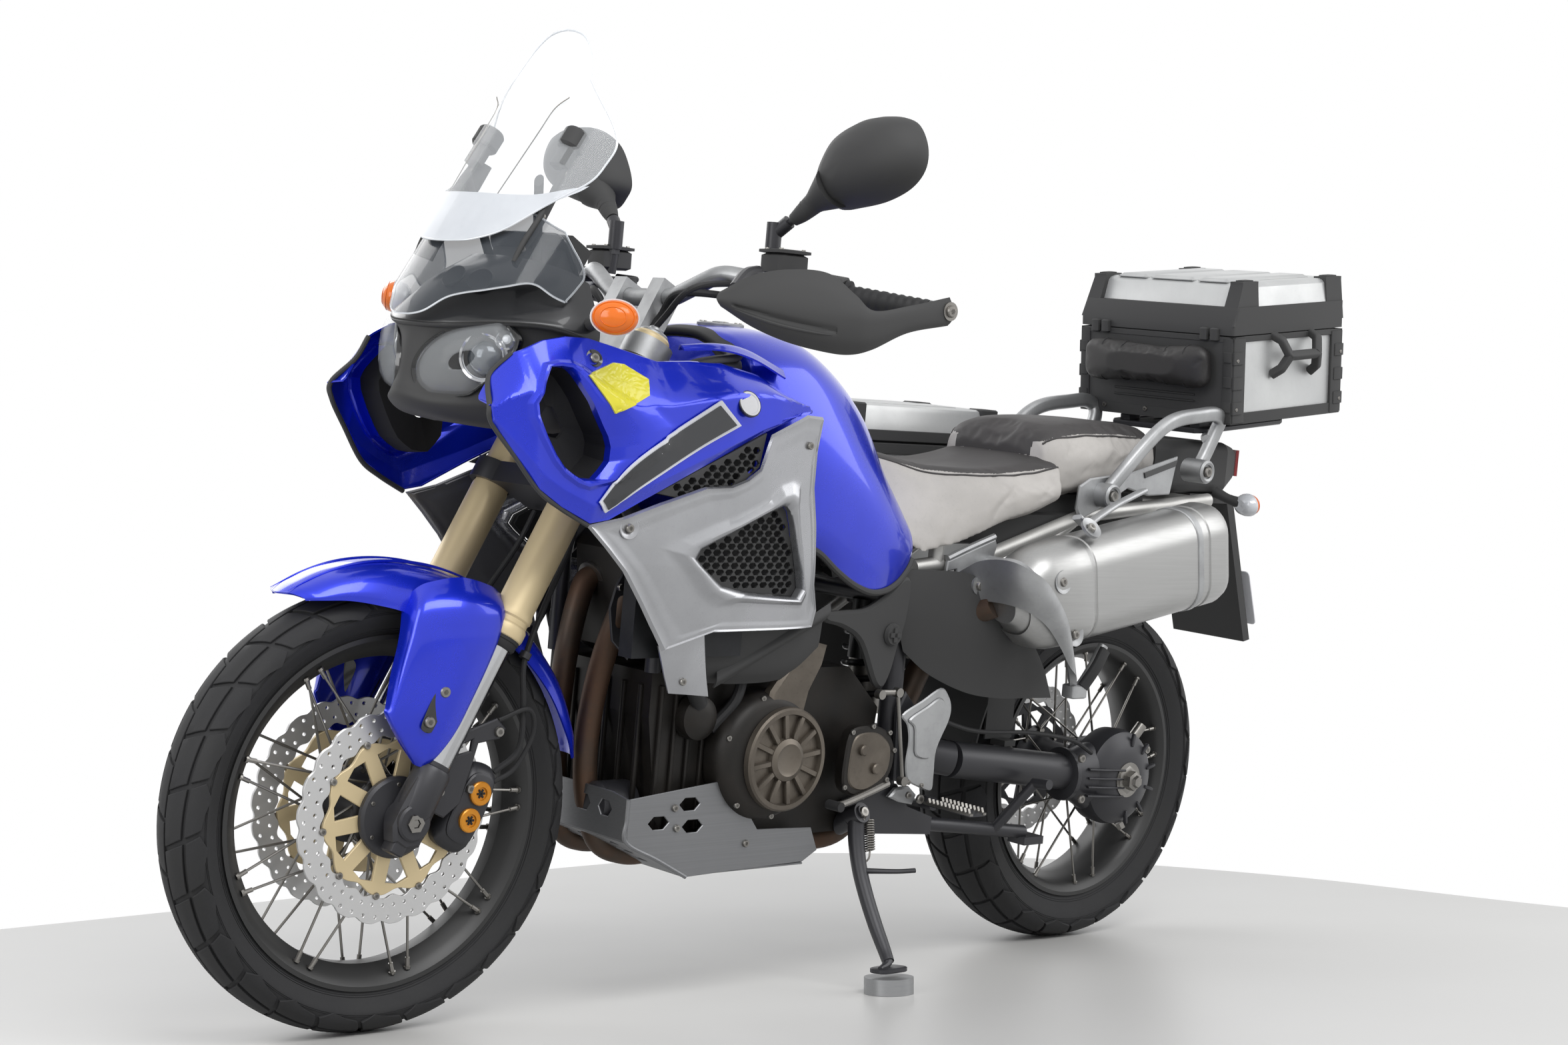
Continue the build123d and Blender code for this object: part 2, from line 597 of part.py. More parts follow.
def windscreen():
    """The tall clear screen."""
    outline = [(-150, 1250), (-92, 1180), (92, 1180), (150, 1250), (140, 1400), (112, 1462), (60, 1492),
               (-60, 1492), (-112, 1462), (-140, 1400)]
    return screen_shell(1487, 1165, -40, 520, outline) & block(1100, 1600, -200, 200, 1150, 1600)


def screen_base():
    """The smoked lower screen between the nose and the tall screen."""
    outline = [(-150, 1040), (150, 1040), (160, 1240), (150, 1246), (90, 1176), (-90, 1176), (-150, 1246),
               (-160, 1240)]
    shell = screen_shell(1484, 1165, -220, 300, outline) & block(1250, 1600, -200, 200, 1040, 1600)
    return shell - nose_body() - block(1200, 1372, -200, 200, 1000, 1128)


SCOOP_OUTLINE = [(1514, 896), (1466, 1030), (1340, 1066), (1140, 1040), (930, 975), (905, 915), (1100, 890),
                 (1342, 790), (1420, 800)]


def side_scoops():
    """The painted air scoops beside the tank and the forks."""
    solid = side_plate(SCOOP_OUTLINE, 190, 240)
    solid -= block(1370, 1450, 195, 241, 880, 1000)
    solid += block(920, 952, 172 + FIT_GAP, 191, 922, 954)
    return both_sides(solid)


SIDE_PANEL_OUTLINE = [(1338, 786), (1098, 886), (905, 911), (870, 880), (940, 740), (1090, 560), (1120, 505),
                      (1150, 505), (1221, 641)]


def side_panels():
    """The silver side panels with their two grille openings."""
    solid = side_plate(SIDE_PANEL_OUTLINE, 205, 238)
    solid -= side_plate([(1215, 740), (1060, 800), (1040, 760), (1190, 690)], 214, 240)
    solid -= side_plate([(1150, 660), (1030, 690), (1120, 590)], 214, 240)
    solid += block(930, 970, 194 + FIT_GAP, 206, 800, 840)
    return both_sides(solid)


SEAT_REAR_X = 241.0


def rider_seat():
    """The rider's seat: a saddle with side skirts."""
    saddle = lengthwise_loft([(SEAT_REAR_X, 150, 800, 905), (380, 148, 790, 866), (520, 118, 790, 868),
                              (597, 88, 800, 900)], 24)
    skirt = side_plate([(SEAT_REAR_X, 765), (300, 748), (520, 738), (560, 780), (560, 800), (400, 840),
                        (SEAT_REAR_X, 860)], 143, 156)
    return saddle + skirt + mirrored(skirt)


def passenger_seat():
    """The passenger's seat, stepped up behind the rider."""
    return lengthwise_loft([(SEAT_REAR_X - 1, 128, 800, 945), (80, 132, 830, 955), (-72, 112, 850, 950)], 24)


def subframe():
    """The silver rear subframe under the seats."""
    solid = None
    for side in (-1, 1):
        y = side * 128
        start = y
        rail = bent_tube([(575, start, 705), (400, y, 722), (150, y, 798), (-200, y, 832)],
                         SUBFRAME_TUBE_RADIUS, 60)
        brace = rod((572, start, 560), (180, y, 785), SUBFRAME_TUBE_RADIUS - 2)
        solid = rail + brace if solid is None else solid + rail + brace
    for x, z in ((520, 776.7), (-150, 827)):
        solid += drum(x, z, SUBFRAME_TUBE_RADIUS, -128, 128)
    for side in (-1, 1):
        solid += rod((520, side * 126, 776), (520, side * 127, 712), SUBFRAME_TUBE_RADIUS)
        channel = bent_tube([(640, side * FRAME_Y, 760), (590, side * FRAME_Y, 640), (590, side * FRAME_Y, 330)],
                            FRAME_TUBE_RADIUS + FIT_GAP, 40)
        solid -= channel
    return solid


def luggage_rack():
    """Grab rails beside the passenger, the plate under the top box and the side case's carrier."""
    solid = block(-450, -180, -110, 110, 940, 952)
    for side in (-1, 1):
        solid += bent_tube([(165, side * 158, 846), (-150, side * 158, 925), (-260, side * 100, 946)], 13, 30)
        solid += rod((120, side * 158, 858), (120, side * 134, 806), 11)
        solid += rod((-160, side * 150, 925), (-160, side * 130, 836), 11)
    solid -= subframe()
    carrier_y = SIDE_CASE_INNER_Y + 8 + FIT_GAP
    solid += rod((120, -158, 858), (120, carrier_y, 858), 8)
    solid += rod((120, carrier_y, 866), (120, carrier_y, 640), 8)
    solid += rod((120, carrier_y, 650), (190, -152.3, 650), 8)
    return solid


def tail_unit():
    """The tail cover under the rack."""
    return lengthwise_loft([(-74, 96, 850, 938), (-120, 96, 840.3, 938), (-300, 88, 840.3, 938),
                            (-360, 60, 860, 930)], 20)


def rear_mudguards():
    """The mudguard with the blank plate's holder, and the guard over the rear tyre's front."""
    flap = side_plate([(-200, 840), (-330, 840), (-430, 560), (-412, 556), (-316, 823), (-200, 823)], -86, 86)
    skin = ring(REAR_AXLE, REAR_TYRE_RADIUS + 18, REAR_TYRE_RADIUS + 14, -88, 88)
    skin &= Pos(REAR_AXLE.X, 0, 0) * side_plate([(0, 321), (420, 400), (420, 700), (60, 700)], -100, 100)
    leaf = side_plate([(240, 396), (310, 396), (310, 470), (240, 540)], 84, 88)
    leaf += block(262, 290, 84, ARM_Y, 386.6, 397)
    return Compound([flap, skin + Pos(REAR_AXLE.X, 0, 0) * leaf])


def signal_lamps():
    """Four turn signals and the tail lamp."""
    lamps = []
    for side in (-1, 1):
        front = rod((1378, side * 240.3, 1022), (1378, side * 266, 1022), 8)
        front += rod((1378, side * 258, 1016), (1378, side * 258, 1070), 7)
        front += Pos(1376, side * 266, 1078) * Box(70, 40, 36)
        rear = rod((-285, side * 86.3, 832), (-285, side * 130, 832), 5)
        rear += Pos(-285, side * 150, 828) * Box(44, 60, 30)
        lamps.extend([front, rear])
    lamps.append(block(-378, -361, -55, 55, 872, 926))
    return Compound(lamps)


# ---- running gear behind -----------------------------------------------------------------------
ARM_Y = 118.0
SHAFT_TUBE_RADIUS = 32.0
SHAFT_TUBE_END = REAR_AXLE + Vector(90, ARM_Y, 8)


def swingarm():
    """The swingarm: shaft tube on the left, plain arm on the right, and the rear axle."""
    pivot = Vector(SWINGARM_PIVOT)
    solid = drum(pivot.X, pivot.Z, 27, -FRAME_Y + FRAME_TUBE_RADIUS + 1, FRAME_Y - FRAME_TUBE_RADIUS - 1)
    solid += rod((pivot.X, 60, pivot.Z), (430, ARM_Y, 372), 30)
    solid += rod((pivot.X, -60, pivot.Z), (430, -ARM_Y, 372), 26)
    solid += rod((430, ARM_Y, 372), SHAFT_TUBE_END, SHAFT_TUBE_RADIUS)
    solid += rod((430, -ARM_Y, 372), REAR_AXLE - Vector(0, ARM_Y, 0), 26)
    solid += drum(REAR_AXLE.X, REAR_AXLE.Z, 32, -ARM_Y - 24, -ARM_Y + 24)
    solid += drum(REAR_AXLE.X, REAR_AXLE.Z, AXLE_RADIUS, -ARM_Y, ARM_Y + 46)
    caliper = block(REAR_AXLE.X + 60, REAR_AXLE.X + 128, -ARM_Y, -62, 345, 440)
    slot = (-REAR_DISC_OFFSET - 8, -REAR_DISC_OFFSET + 8)
    caliper -= drum(REAR_AXLE.X, REAR_AXLE.Z, REAR_DISC_RADIUS + 5, *slot)
    solid += caliper
    solid -= drum(REAR_AXLE.X, REAR_AXLE.Z, AXLE_BORE_RADIUS, -ARM_Y - 60, ARM_Y + 60)
    return solid


def final_drive():
    """The shaft drive's housing on the left of the rear hub."""
    centre_x = REAR_AXLE.X
    centre_z = REAR_AXLE.Z
    solid = drum(centre_x, centre_z, 84, 96, 150) + drum(centre_x, centre_z, 62, 150, 164)
    solid += drum(centre_x, centre_z, 40, REAR_HUB_HALF_WIDTH + FIT_GAP, 96)
    for index in range(5):
        fin_x = centre_x - 50 + index * 23
        solid += block(fin_x, fin_x + 8, 104, 156, centre_z - 92, centre_z - 60)
    solid -= drum(centre_x, centre_z, AXLE_RADIUS + FIT_GAP, 50, 170)
    solid -= rod((430, ARM_Y, 372), SHAFT_TUBE_END, SHAFT_TUBE_RADIUS + FIT_GAP)
    return solid


def shock_absorber():
    """The central spring and damper behind the engine."""
    solid = rod((530, 0, 440), (530, 0, 690), 33)
    solid += rod((530, 0, 670), (590, 0, 650), 16) + rod((530, 0, 450), (590, 0, 400), 18)
    solid -= drum(590, 650, FRAME_TUBE_RADIUS - 4 + FIT_GAP, -60, 60)
    return solid - drum(SWINGARM_PIVOT[0], SWINGARM_PIVOT[2], 27 + FIT_GAP, -60, 60)


def footpegs():
    """The rider's toothed footpegs on their hangers, with the heel plates."""
    solid = side_plate([(575, 440), (560, 300), (520, 300), (515, 335), (540, 440)], 139.3, 152)
    solid += block(571, 610, 139.3, 152, 380, 420)
    peg = block(510, 552, 152, 290, 308, 330)
    return both_sides(solid + peg)


def passenger_pegs():
    """The passenger's peg brackets with their pegs folded up."""
    plate = side_plate([(470, 708), (420, 730), (330, 712), (180, 560), (158, 500), (196, 482), (262, 560),
                        (440, 640)], 141.3, 152)
    peg = Pos(178, 164, 530) * Rot(0, -14, 0) * Box(26, 24, 92)
    return both_sides(plate + peg)


# ---- cases ----------------------------------------------------------------------------------
BOX_FRAME = Pos(TOP_BOX_FRONT_X, 0, TOP_BOX_FOOT_Z) * Rot(0, TOP_BOX_PITCH, 0)
HINGE_PIN_RADIUS = 2.0
HINGE_RADIUS = 5.0
HINGE_REACH = 5.5
HINGE_LEAF = 14.0
SEAM_GAP = 1.0


def hinge_halves(length):
    """Both halves of a hinge along X: its axis is on X, and its case's wall stands at y = -HINGE_REACH."""
    half = length / 2
    wall_y = -HINGE_REACH - 1
    fixed = rod((0, 0, 0), (half, 0, 0), HINGE_RADIUS)
    fixed += block(0, half, wall_y, 0, -HINGE_LEAF, -SEAM_GAP / 2)
    fixed -= rod((-1, 0, 0), (half + 1, 0, 0), HINGE_PIN_RADIUS)
    fixed += rod((-half, 0, 0), (half, 0, 0), HINGE_PIN_RADIUS)
    turning = rod((-half, 0, 0), (-FIT_GAP, 0, 0), HINGE_RADIUS)
    turning += block(-half, -FIT_GAP, wall_y, 0, SEAM_GAP / 2, HINGE_LEAF)
    turning -= rod((-half - 1, 0, 0), (1, 0, 0), HINGE_PIN_RADIUS + FIT_GAP)
    return fixed, turning


# The lid's hinge line on the front of the box, with its axis turned from X to Y.
BOX_HINGE = BOX_FRAME * Pos(HINGE_REACH, 0, TOP_BOX_SEAM + SEAM_GAP / 2) * Rot(0, 0, -90)
BOX_HINGE_PLACES = (-110, 110)


def top_box_body():
    """The open lower half of the top box, with its feet on the rack."""
    half = TOP_BOX_WIDTH / 2
    solid = block(-TOP_BOX_LENGTH, 0, -half, half, 0, TOP_BOX_SEAM)
    solid -= block(-TOP_BOX_LENGTH + CASE_WALL, -CASE_WALL, -half + CASE_WALL, half - CASE_WALL,
                   CASE_WALL, TOP_BOX_SEAM + 1)
    solid = BOX_FRAME * solid
    foot = block(-440, -200, -70, 70, 952.3, 1040) - BOX_FRAME * block(-600, 200, -200, 200, 1, 300)
    for place in BOX_HINGE_PLACES:
        solid += BOX_HINGE * Pos(place, 0, 0) * hinge_halves(70)[0]
    return solid + foot


def top_box_lid():
    """The hollow lid, hinged at its front edge."""
    half = TOP_BOX_WIDTH / 2
    foot_z = TOP_BOX_SEAM + SEAM_GAP
    outline = [(-TOP_BOX_LENGTH, foot_z), (0, foot_z), (0, foot_z + 16), (-30, TOP_BOX_HEIGHT),
               (-TOP_BOX_LENGTH + 12, TOP_BOX_HEIGHT)]
    inner = [(-TOP_BOX_LENGTH + CASE_WALL, TOP_BOX_SEAM), (-CASE_WALL, TOP_BOX_SEAM),
             (-34, TOP_BOX_HEIGHT - CASE_WALL), (-TOP_BOX_LENGTH + 16, TOP_BOX_HEIGHT - CASE_WALL)]
    solid = side_plate(outline, -half, half) - side_plate(inner, -half + CASE_WALL, half - CASE_WALL)
    solid = BOX_FRAME * solid
    for place in BOX_HINGE_PLACES:
        solid += BOX_HINGE * Pos(place, 0, 0) * hinge_halves(70)[1]
    return solid


def backrest_pad():
    """The padded backrest on the front of the box."""
    pad = block(FIT_GAP, 40, -150, 150, 60, 150)
    return BOX_FRAME * fillet(pad.edges().filter_by(Axis.Y), 16)


def side_case_shell(z_low, z_high, open_top):
    """One half of the side case, open towards the seam."""
    x_low = SIDE_CASE_FRONT_X - SIDE_CASE_LENGTH
    y_low = SIDE_CASE_INNER_Y - SIDE_CASE_WIDTH
    solid = block(x_low, SIDE_CASE_FRONT_X, y_low, SIDE_CASE_INNER_Y, z_low, z_high)
    cut_low = z_low + CASE_WALL if open_top else z_low - 1
    cut_high = z_high + 1 if open_top else z_high - CASE_WALL
    return solid - block(x_low + CASE_WALL, SIDE_CASE_FRONT_X - CASE_WALL, y_low + CASE_WALL,
                         SIDE_CASE_INNER_Y - CASE_WALL, cut_low, cut_high)


SIDE_CASE_SEAM_Z = SIDE_CASE_FOOT_Z + SIDE_CASE_HEIGHT - SIDE_CASE_LID


SIDE_CASE_HINGE = Pos(0, SIDE_CASE_INNER_Y + HINGE_REACH, SIDE_CASE_SEAM_Z + SEAM_GAP / 2)
SIDE_CASE_HINGE_PLACES = (SIDE_CASE_FRONT_X - 90, SIDE_CASE_FRONT_X - 320)


def side_case_body():
    """The side case's lower part, hooked on the rack."""
    solid = side_case_shell(SIDE_CASE_FOOT_Z, SIDE_CASE_SEAM_Z, True)
    for place in SIDE_CASE_HINGE_PLACES:
        solid += SIDE_CASE_HINGE * Pos(place, 0, 0) * hinge_halves(70)[0]
    return solid


def side_case_lid():
    """The side case's lid, hinged along its inner edge."""
    solid = side_case_shell(SIDE_CASE_SEAM_Z + SEAM_GAP, SIDE_CASE_FOOT_Z + SIDE_CASE_HEIGHT, False)
    for place in SIDE_CASE_HINGE_PLACES:
        solid += SIDE_CASE_HINGE * Pos(place, 0, 0) * hinge_halves(70)[1]
    return solid


# ---- stands ---------------------------------------------------------------------------------
def side_stand():
    """The stand's leg with its fork end and flat foot."""
    pivot = Vector(STAND_PIVOT)
    foot = stand_foot_in_frame()
    axis = stand_fold_axis()
    leg = rod(pivot, foot, STAND_LEG_RADIUS)
    eye = rod(pivot - axis * STAND_EYE_HALF, pivot + axis * STAND_EYE_HALF, STAND_EYE_RADIUS)
    bore = rod(pivot - axis * 30, pivot + axis * 30, STAND_BOLT_RADIUS + FIT_GAP)
    pad = on_ground(Pos(STAND_FOOT_X, STAND_FOOT_Y, PUCK_HEIGHT + 5) * Box(84, 52, 10))
    spot = on_ground(Pos(STAND_FOOT_X, STAND_FOOT_Y, PUCK_HEIGHT + 200) * Box(400, 800, 400))
    return (leg & spot) + eye + pad - bore


def stand_puck():
    """The aluminium puck under the side stand's foot."""
    return on_ground(Pos(STAND_FOOT_X, STAND_FOOT_Y, PUCK_HEIGHT / 2) * Cylinder(PUCK_RADIUS, PUCK_HEIGHT))


def centre_stand():
    """The centre stand, folded up: two legs, a cross tube, feet and the tread lever."""
    pivot = Vector(CENTRE_STAND_PIVOT)
    solid = drum(pivot.X, pivot.Z, 13, -CRANKCASE_HALF_WIDTH, CRANKCASE_HALF_WIDTH)
    for side in (-1, 1):
        solid += rod((pivot.X, side * 96, pivot.Z), (225, side * 122, 232), 12)
        solid += block(190, 240, side * 122 - 20, side * 122 + 20, 212, 226)
    solid += rod((300, 118, 240), (262, 172, 330), 9) + rod((262, 168, 330), (262, 205, 334), 9)
    return solid


# ---- nodes ----------------------------------------------------------------------------------
STEERED = {
    "front_tyre": lambda: tyre(FRONT_AXLE, FRONT_TYRE_RADIUS, FRONT_TYRE_CROWN, FRONT_RIM_RADIUS),
    "front_wheel": lambda: wheel(FRONT_AXLE, FRONT_RIM_RADIUS, FRONT_RIM_WIDTH, FRONT_HUB_HALF_WIDTH),
    "front_brake_discs": lambda: both_sides(
        brake_disc(FRONT_AXLE, FRONT_DISC_RADIUS, FRONT_DISC_OFFSET, FRONT_HUB_HALF_WIDTH)),
    "fork_outer_tubes": lambda: both_sides(fork_outer_tube()),
    "fork_lowers": fork_lowers,
    "front_calipers": lambda: both_sides(front_caliper()),
    "lower_fork_clamp": lower_clamp,
    "upper_fork_clamp": upper_clamp,
    "handlebar": handlebar,
    "bar_controls": lambda: both_sides(bar_controls()),
    "handguards": lambda: both_sides(handguard()),
    "mirrors": lambda: both_sides(rear_view_mirror()),
    "front_fender": front_fender,
}
FIXED = {
    "rear_tyre": lambda: tyre(REAR_AXLE, REAR_TYRE_RADIUS, REAR_TYRE_CROWN, REAR_RIM_RADIUS),
    "rear_wheel": lambda: wheel(REAR_AXLE, REAR_RIM_RADIUS, REAR_RIM_WIDTH, REAR_HUB_HALF_WIDTH),
    "rear_brake_disc": lambda: brake_disc(REAR_AXLE, REAR_DISC_RADIUS, -REAR_DISC_OFFSET, REAR_HUB_HALF_WIDTH),
    "main_frame": main_frame,
    "crankcase": crankcase,
    "engine_covers": engine_covers,
    "cylinders": cylinders,
    "exhaust_headers": exhaust_headers,
    "muffler": muffler,
    "radiator": radiator,
    "skid_plate": skid_plate,
    "fuel_tank": fuel_tank,
    "front_cowl": front_cowl,
    "headlamps": headlamps,
    "cockpit": cockpit,
    "windscreen": windscreen,
    "screen_base": screen_base,
    "side_scoops": side_scoops,
    "side_panels": side_panels,
    "rider_seat": rider_seat,
    "passenger_seat": passenger_seat,
    "subframe": subframe,
    "luggage_rack": luggage_rack,
    "tail_unit": tail_unit,
    "rear_mudguards": rear_mudguards,
    "signal_lamps": signal_lamps,
    "swingarm": swingarm,
    "final_drive": final_drive,
    "shock_absorber": shock_absorber,
    "footpegs": footpegs,
    "passenger_pegs": passenger_pegs,
    "top_box_body": top_box_body,
    "top_box_lid": top_box_lid,
    "backrest_pad": backrest_pad,
    "side_case_body": side_case_body,
    "side_case_lid": side_case_lid,
    "side_stand": side_stand,
    "stand_puck": stand_puck,
    "centre_stand": centre_stand,
}


def main():
    os.makedirs("parts", exist_ok=True)
    for nodes, place in ((STEERED, PARK * STEER), (FIXED, PARK)):
        for name, make in nodes.items():
            export_step(place * make(), "parts/" + name + ".step")


main()
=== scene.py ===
"""The looks of an adventure motorcycle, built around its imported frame.

Every piece is worked out in millimetres in a local frame and is then set into the parked machine. The
frames are the upright machine (X ahead of the rear axle, Y to the rider's left, Z up), the same with
its steering straight, the front fork (origin on the front axle, Z up the legs), the rear wheel (origin
on its axle) and the top box (origin in the middle of its front edge's foot, tipped back).
"""
import json
import math

import bmesh
import bpy
import numpy as np
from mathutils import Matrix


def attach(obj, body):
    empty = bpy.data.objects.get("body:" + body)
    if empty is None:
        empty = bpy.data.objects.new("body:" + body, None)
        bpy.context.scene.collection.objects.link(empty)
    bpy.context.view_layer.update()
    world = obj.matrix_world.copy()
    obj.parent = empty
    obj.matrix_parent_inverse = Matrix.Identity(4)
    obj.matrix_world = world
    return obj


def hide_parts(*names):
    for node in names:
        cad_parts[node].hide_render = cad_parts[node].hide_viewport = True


bl_info = {
    "name": "Adventure Motorcycle",
    "version": (1, 0, 0),
    "blender": (4, 5, 0),
    "location": "View3D > Sidebar > Tourer",
    "description": "Builds the visible pieces of a parked adventure motorcycle around its frame",
    "category": "Add Mesh",
}

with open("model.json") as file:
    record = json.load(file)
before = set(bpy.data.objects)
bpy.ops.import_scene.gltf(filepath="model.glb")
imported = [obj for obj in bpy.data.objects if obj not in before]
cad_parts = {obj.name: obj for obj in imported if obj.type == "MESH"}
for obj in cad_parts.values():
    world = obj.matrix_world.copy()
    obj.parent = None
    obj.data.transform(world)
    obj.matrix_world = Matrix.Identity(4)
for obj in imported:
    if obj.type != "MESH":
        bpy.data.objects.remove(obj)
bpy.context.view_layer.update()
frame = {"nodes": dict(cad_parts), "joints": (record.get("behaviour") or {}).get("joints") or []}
JOINTS = {joint["name"]: joint for joint in frame["joints"]}

# ---- sizes of the machine, in millimetres ------------------------------------------------------
RAKE = math.radians(28.0)
REAR_AXLE_HEIGHT = 321.64
FRONT_AXLE = (1540.0, 0.0, 329.47)
FRONT_DISC_Y = 64.0
LEG_Y = 105.0
TOP_BOX_FRONT_X = -176.0
TOP_BOX_FOOT_Z = 974.0
TOP_BOX_PITCH = math.radians(6.6)
TOP_BOX_LENGTH = 338.0
TOP_BOX_HALF = 182.5
TOP_BOX_SEAM = 165.0
TOP_BOX_HEIGHT = 262.0


# ---- local frames ------------------------------------------------------------------------------
def unit(vector):
    """The vector at length one."""
    vector = np.asarray(vector, float)
    return vector / np.linalg.norm(vector, axis=-1, keepdims=True)


def placing(origin, x_axis, y_axis, z_axis, scale=1.0):
    """A 4 x 4 matrix that carries local points to an origin and three axes."""
    matrix = np.eye(4)
    matrix[:3, :3] = np.stack([x_axis, y_axis, z_axis], 1) * scale
    matrix[:3, 3] = origin
    return matrix


MM = 0.001
AXLE_LINE = unit(JOINTS["rear_wheel_spin"]["axis"])
STEERING_LINE = unit(JOINTS["steering_turn"]["axis"])
SQUARE_TO_BOTH = np.cross(AXLE_LINE, STEERING_LINE)
AHEAD = math.cos(RAKE) * SQUARE_TO_BOTH - math.sin(RAKE) * STEERING_LINE
UPWARD = math.sin(RAKE) * SQUARE_TO_BOTH + math.cos(RAKE) * STEERING_LINE
REAR_CONTACT = np.array(JOINTS["rear_wheel_spin"]["pos_m"]) - UPWARD * REAR_AXLE_HEIGHT * MM
UPRIGHT = placing(REAR_CONTACT, AHEAD, AXLE_LINE, UPWARD, MM)
FORK_LINE = unit(JOINTS["front_wheel_spin"]["axis"])
FORK = placing(JOINTS["front_wheel_spin"]["pos_m"], np.cross(FORK_LINE, STEERING_LINE), FORK_LINE,
               STEERING_LINE, MM)
FORK_WHEN_STRAIGHT = placing(FRONT_AXLE, (math.cos(RAKE), 0, math.sin(RAKE)), (0, 1, 0),
                             (-math.sin(RAKE), 0, math.cos(RAKE)))
STEERED = FORK @ np.linalg.inv(FORK_WHEN_STRAIGHT)
REAR_WHEEL = UPRIGHT @ placing((0, 0, REAR_AXLE_HEIGHT), (1, 0, 0), (0, 1, 0), (0, 0, 1))
TOP_BOX = UPRIGHT @ placing((TOP_BOX_FRONT_X, 0, TOP_BOX_FOOT_Z),
                            (math.cos(TOP_BOX_PITCH), 0, -math.sin(TOP_BOX_PITCH)), (0, 1, 0),
                            (math.sin(TOP_BOX_PITCH), 0, math.cos(TOP_BOX_PITCH)))


# ---- shapes ------------------------------------------------------------------------------------
def carry(points, matrix):
    """Points carried by a 4 x 4 matrix."""
    return points @ matrix[:3, :3].T + matrix[:3, 3]


class Shape:
    """Points in millimetres with the four-cornered and three-cornered faces between them."""

    def __init__(self, points, quads=(), tris=()):
        self.points = np.asarray(points, float).reshape(-1, 3)
        self.quads = np.asarray(quads, int).reshape(-1, 4)
        self.tris = np.asarray(tris, int).reshape(-1, 3)

    def __add__(self, other):
        shift = len(self.points)
        return Shape(np.vstack([self.points, other.points]), np.vstack([self.quads, other.quads + shift]),
                     np.vstack([self.tris, other.tris + shift]))

    def at(self, matrix):
        """The shape carried by a matrix."""
        turned = Shape(carry(self.points, matrix), self.quads, self.tris)
        return turned.flipped() if np.linalg.det(matrix[:3, :3]) < 0 else turned

    def shift(self, x=0.0, y=0.0, z=0.0):
        """The shape moved along the axes."""
        return Shape(self.points + (x, y, z), self.quads, self.tris)

    def flipped(self):
        """The same faces looking the other way."""
        return Shape(self.points, self.quads[:, ::-1], self.tris[:, ::-1])

    def turn(self, axis, degrees):
        """The shape turned about an axis through the origin."""
        return self.at(turning(axis, degrees))

    def both(self):
        """The shape and its mirror image on the machine's other side."""
        return self + self.mirror()

    def mirror(self):
        """The shape's mirror image on the machine's other side."""
        return self.at(np.diag([1.0, -1.0, 1.0, 1.0]))

    def outward(self):
        """The closed shape with its faces looking out, told by the sign of its volume."""
        corners = np.vstack([self.tris, self.quads[:, [0, 1, 2]], self.quads[:, [0, 2, 3]]])
        a, b, c = (self.points[corners[:, k]] for k in range(3))
        volume = np.einsum("ij,ij->i", a, np.cross(b, c)).sum()
        return self if volume > 0 else self.flipped()


def turning(axis, degrees):
    """The 4 x 4 matrix of a turn about the x, y or z axis."""
    angle = math.radians(degrees)
    first, second = {"x": (1, 2), "y": (2, 0), "z": (0, 1)}[axis]
    matrix = np.eye(4)
    matrix[first, first] = matrix[second, second] = math.cos(angle)
    matrix[second, first] = math.sin(angle)
    matrix[first, second] = -math.sin(angle)
    return matrix


def total(shapes):
    """All the shapes as one."""
    shapes = list(shapes)
    whole = shapes[0]
    for shape in shapes[1:]:
        whole = whole + shape
    return whole


def smooth(points, count, loop=False):
    """Points along a smooth line through the given ones: the cubic through four neighbours."""
    points = np.asarray(points, float)
    size = len(points)
    place = np.linspace(0, size if loop else size - 1, count, endpoint=not loop)
    span = np.minimum(place.astype(int), size - 1 if loop else size - 2)
    t = (place - span).reshape(-1, *[1] * (points.ndim - 1))
    if loop:
        a, b, c, d = (points[(span + k) % size] for k in (-1, 0, 1, 2))
    else:
        padded = np.concatenate([[2 * points[0] - points[1]], points, [2 * points[-1] - points[-2]]])
        a, b, c, d = (padded[span + k] for k in (0, 1, 2, 3))
    return b + 0.5 * t * (c - a + t * (2 * a - 5 * b + 4 * c - d + t * (3 * (b - c) + d - a)))


def smooth_grid(control, rows, columns, around=False):
    """A smooth surface through rows of control points: smooth lines across smooth lines."""
    lines = smooth(control, rows)
    return smooth(lines.swapaxes(0, 1), columns, around).swapaxes(0, 1)


def grid(points, around=False, along=False):
    """A surface through rows of points; around joins each row's ends, along the first and last rows."""
    rows, columns = points.shape[:2]
    index = np.arange(rows * columns).reshape(rows, columns)
    if around:
        index = np.hstack([index, index[:, :1]])
    if along:
        index = np.vstack([index, index[:1]])
    quads = np.stack([index[:-1, :-1], index[:-1, 1:], index[1:, 1:], index[1:, :-1]], -1)
    return Shape(points, quads.reshape(-1, 4))


def closed(rings, along=False):
    """A closed body through rings of points, with a fan over each end unless the ends join."""
    rings = np.asarray(rings, float)
    body = grid(rings, True, along)
    if not along:
        rows, columns = rings.shape[:2]
        start = len(body.points)
        ends = np.stack([rings[0].mean(0), rings[-1].mean(0)])
        first = np.arange(columns)
        last = first + (rows - 1) * columns
        low = np.stack([np.full(columns, start), np.roll(first, -1), first], -1)
        high = np.stack([np.full(columns, start + 1), last, np.roll(last, -1)], -1)
        body = Shape(np.vstack([body.points, ends]), body.quads, np.vstack([low, high]))
    return body.outward()


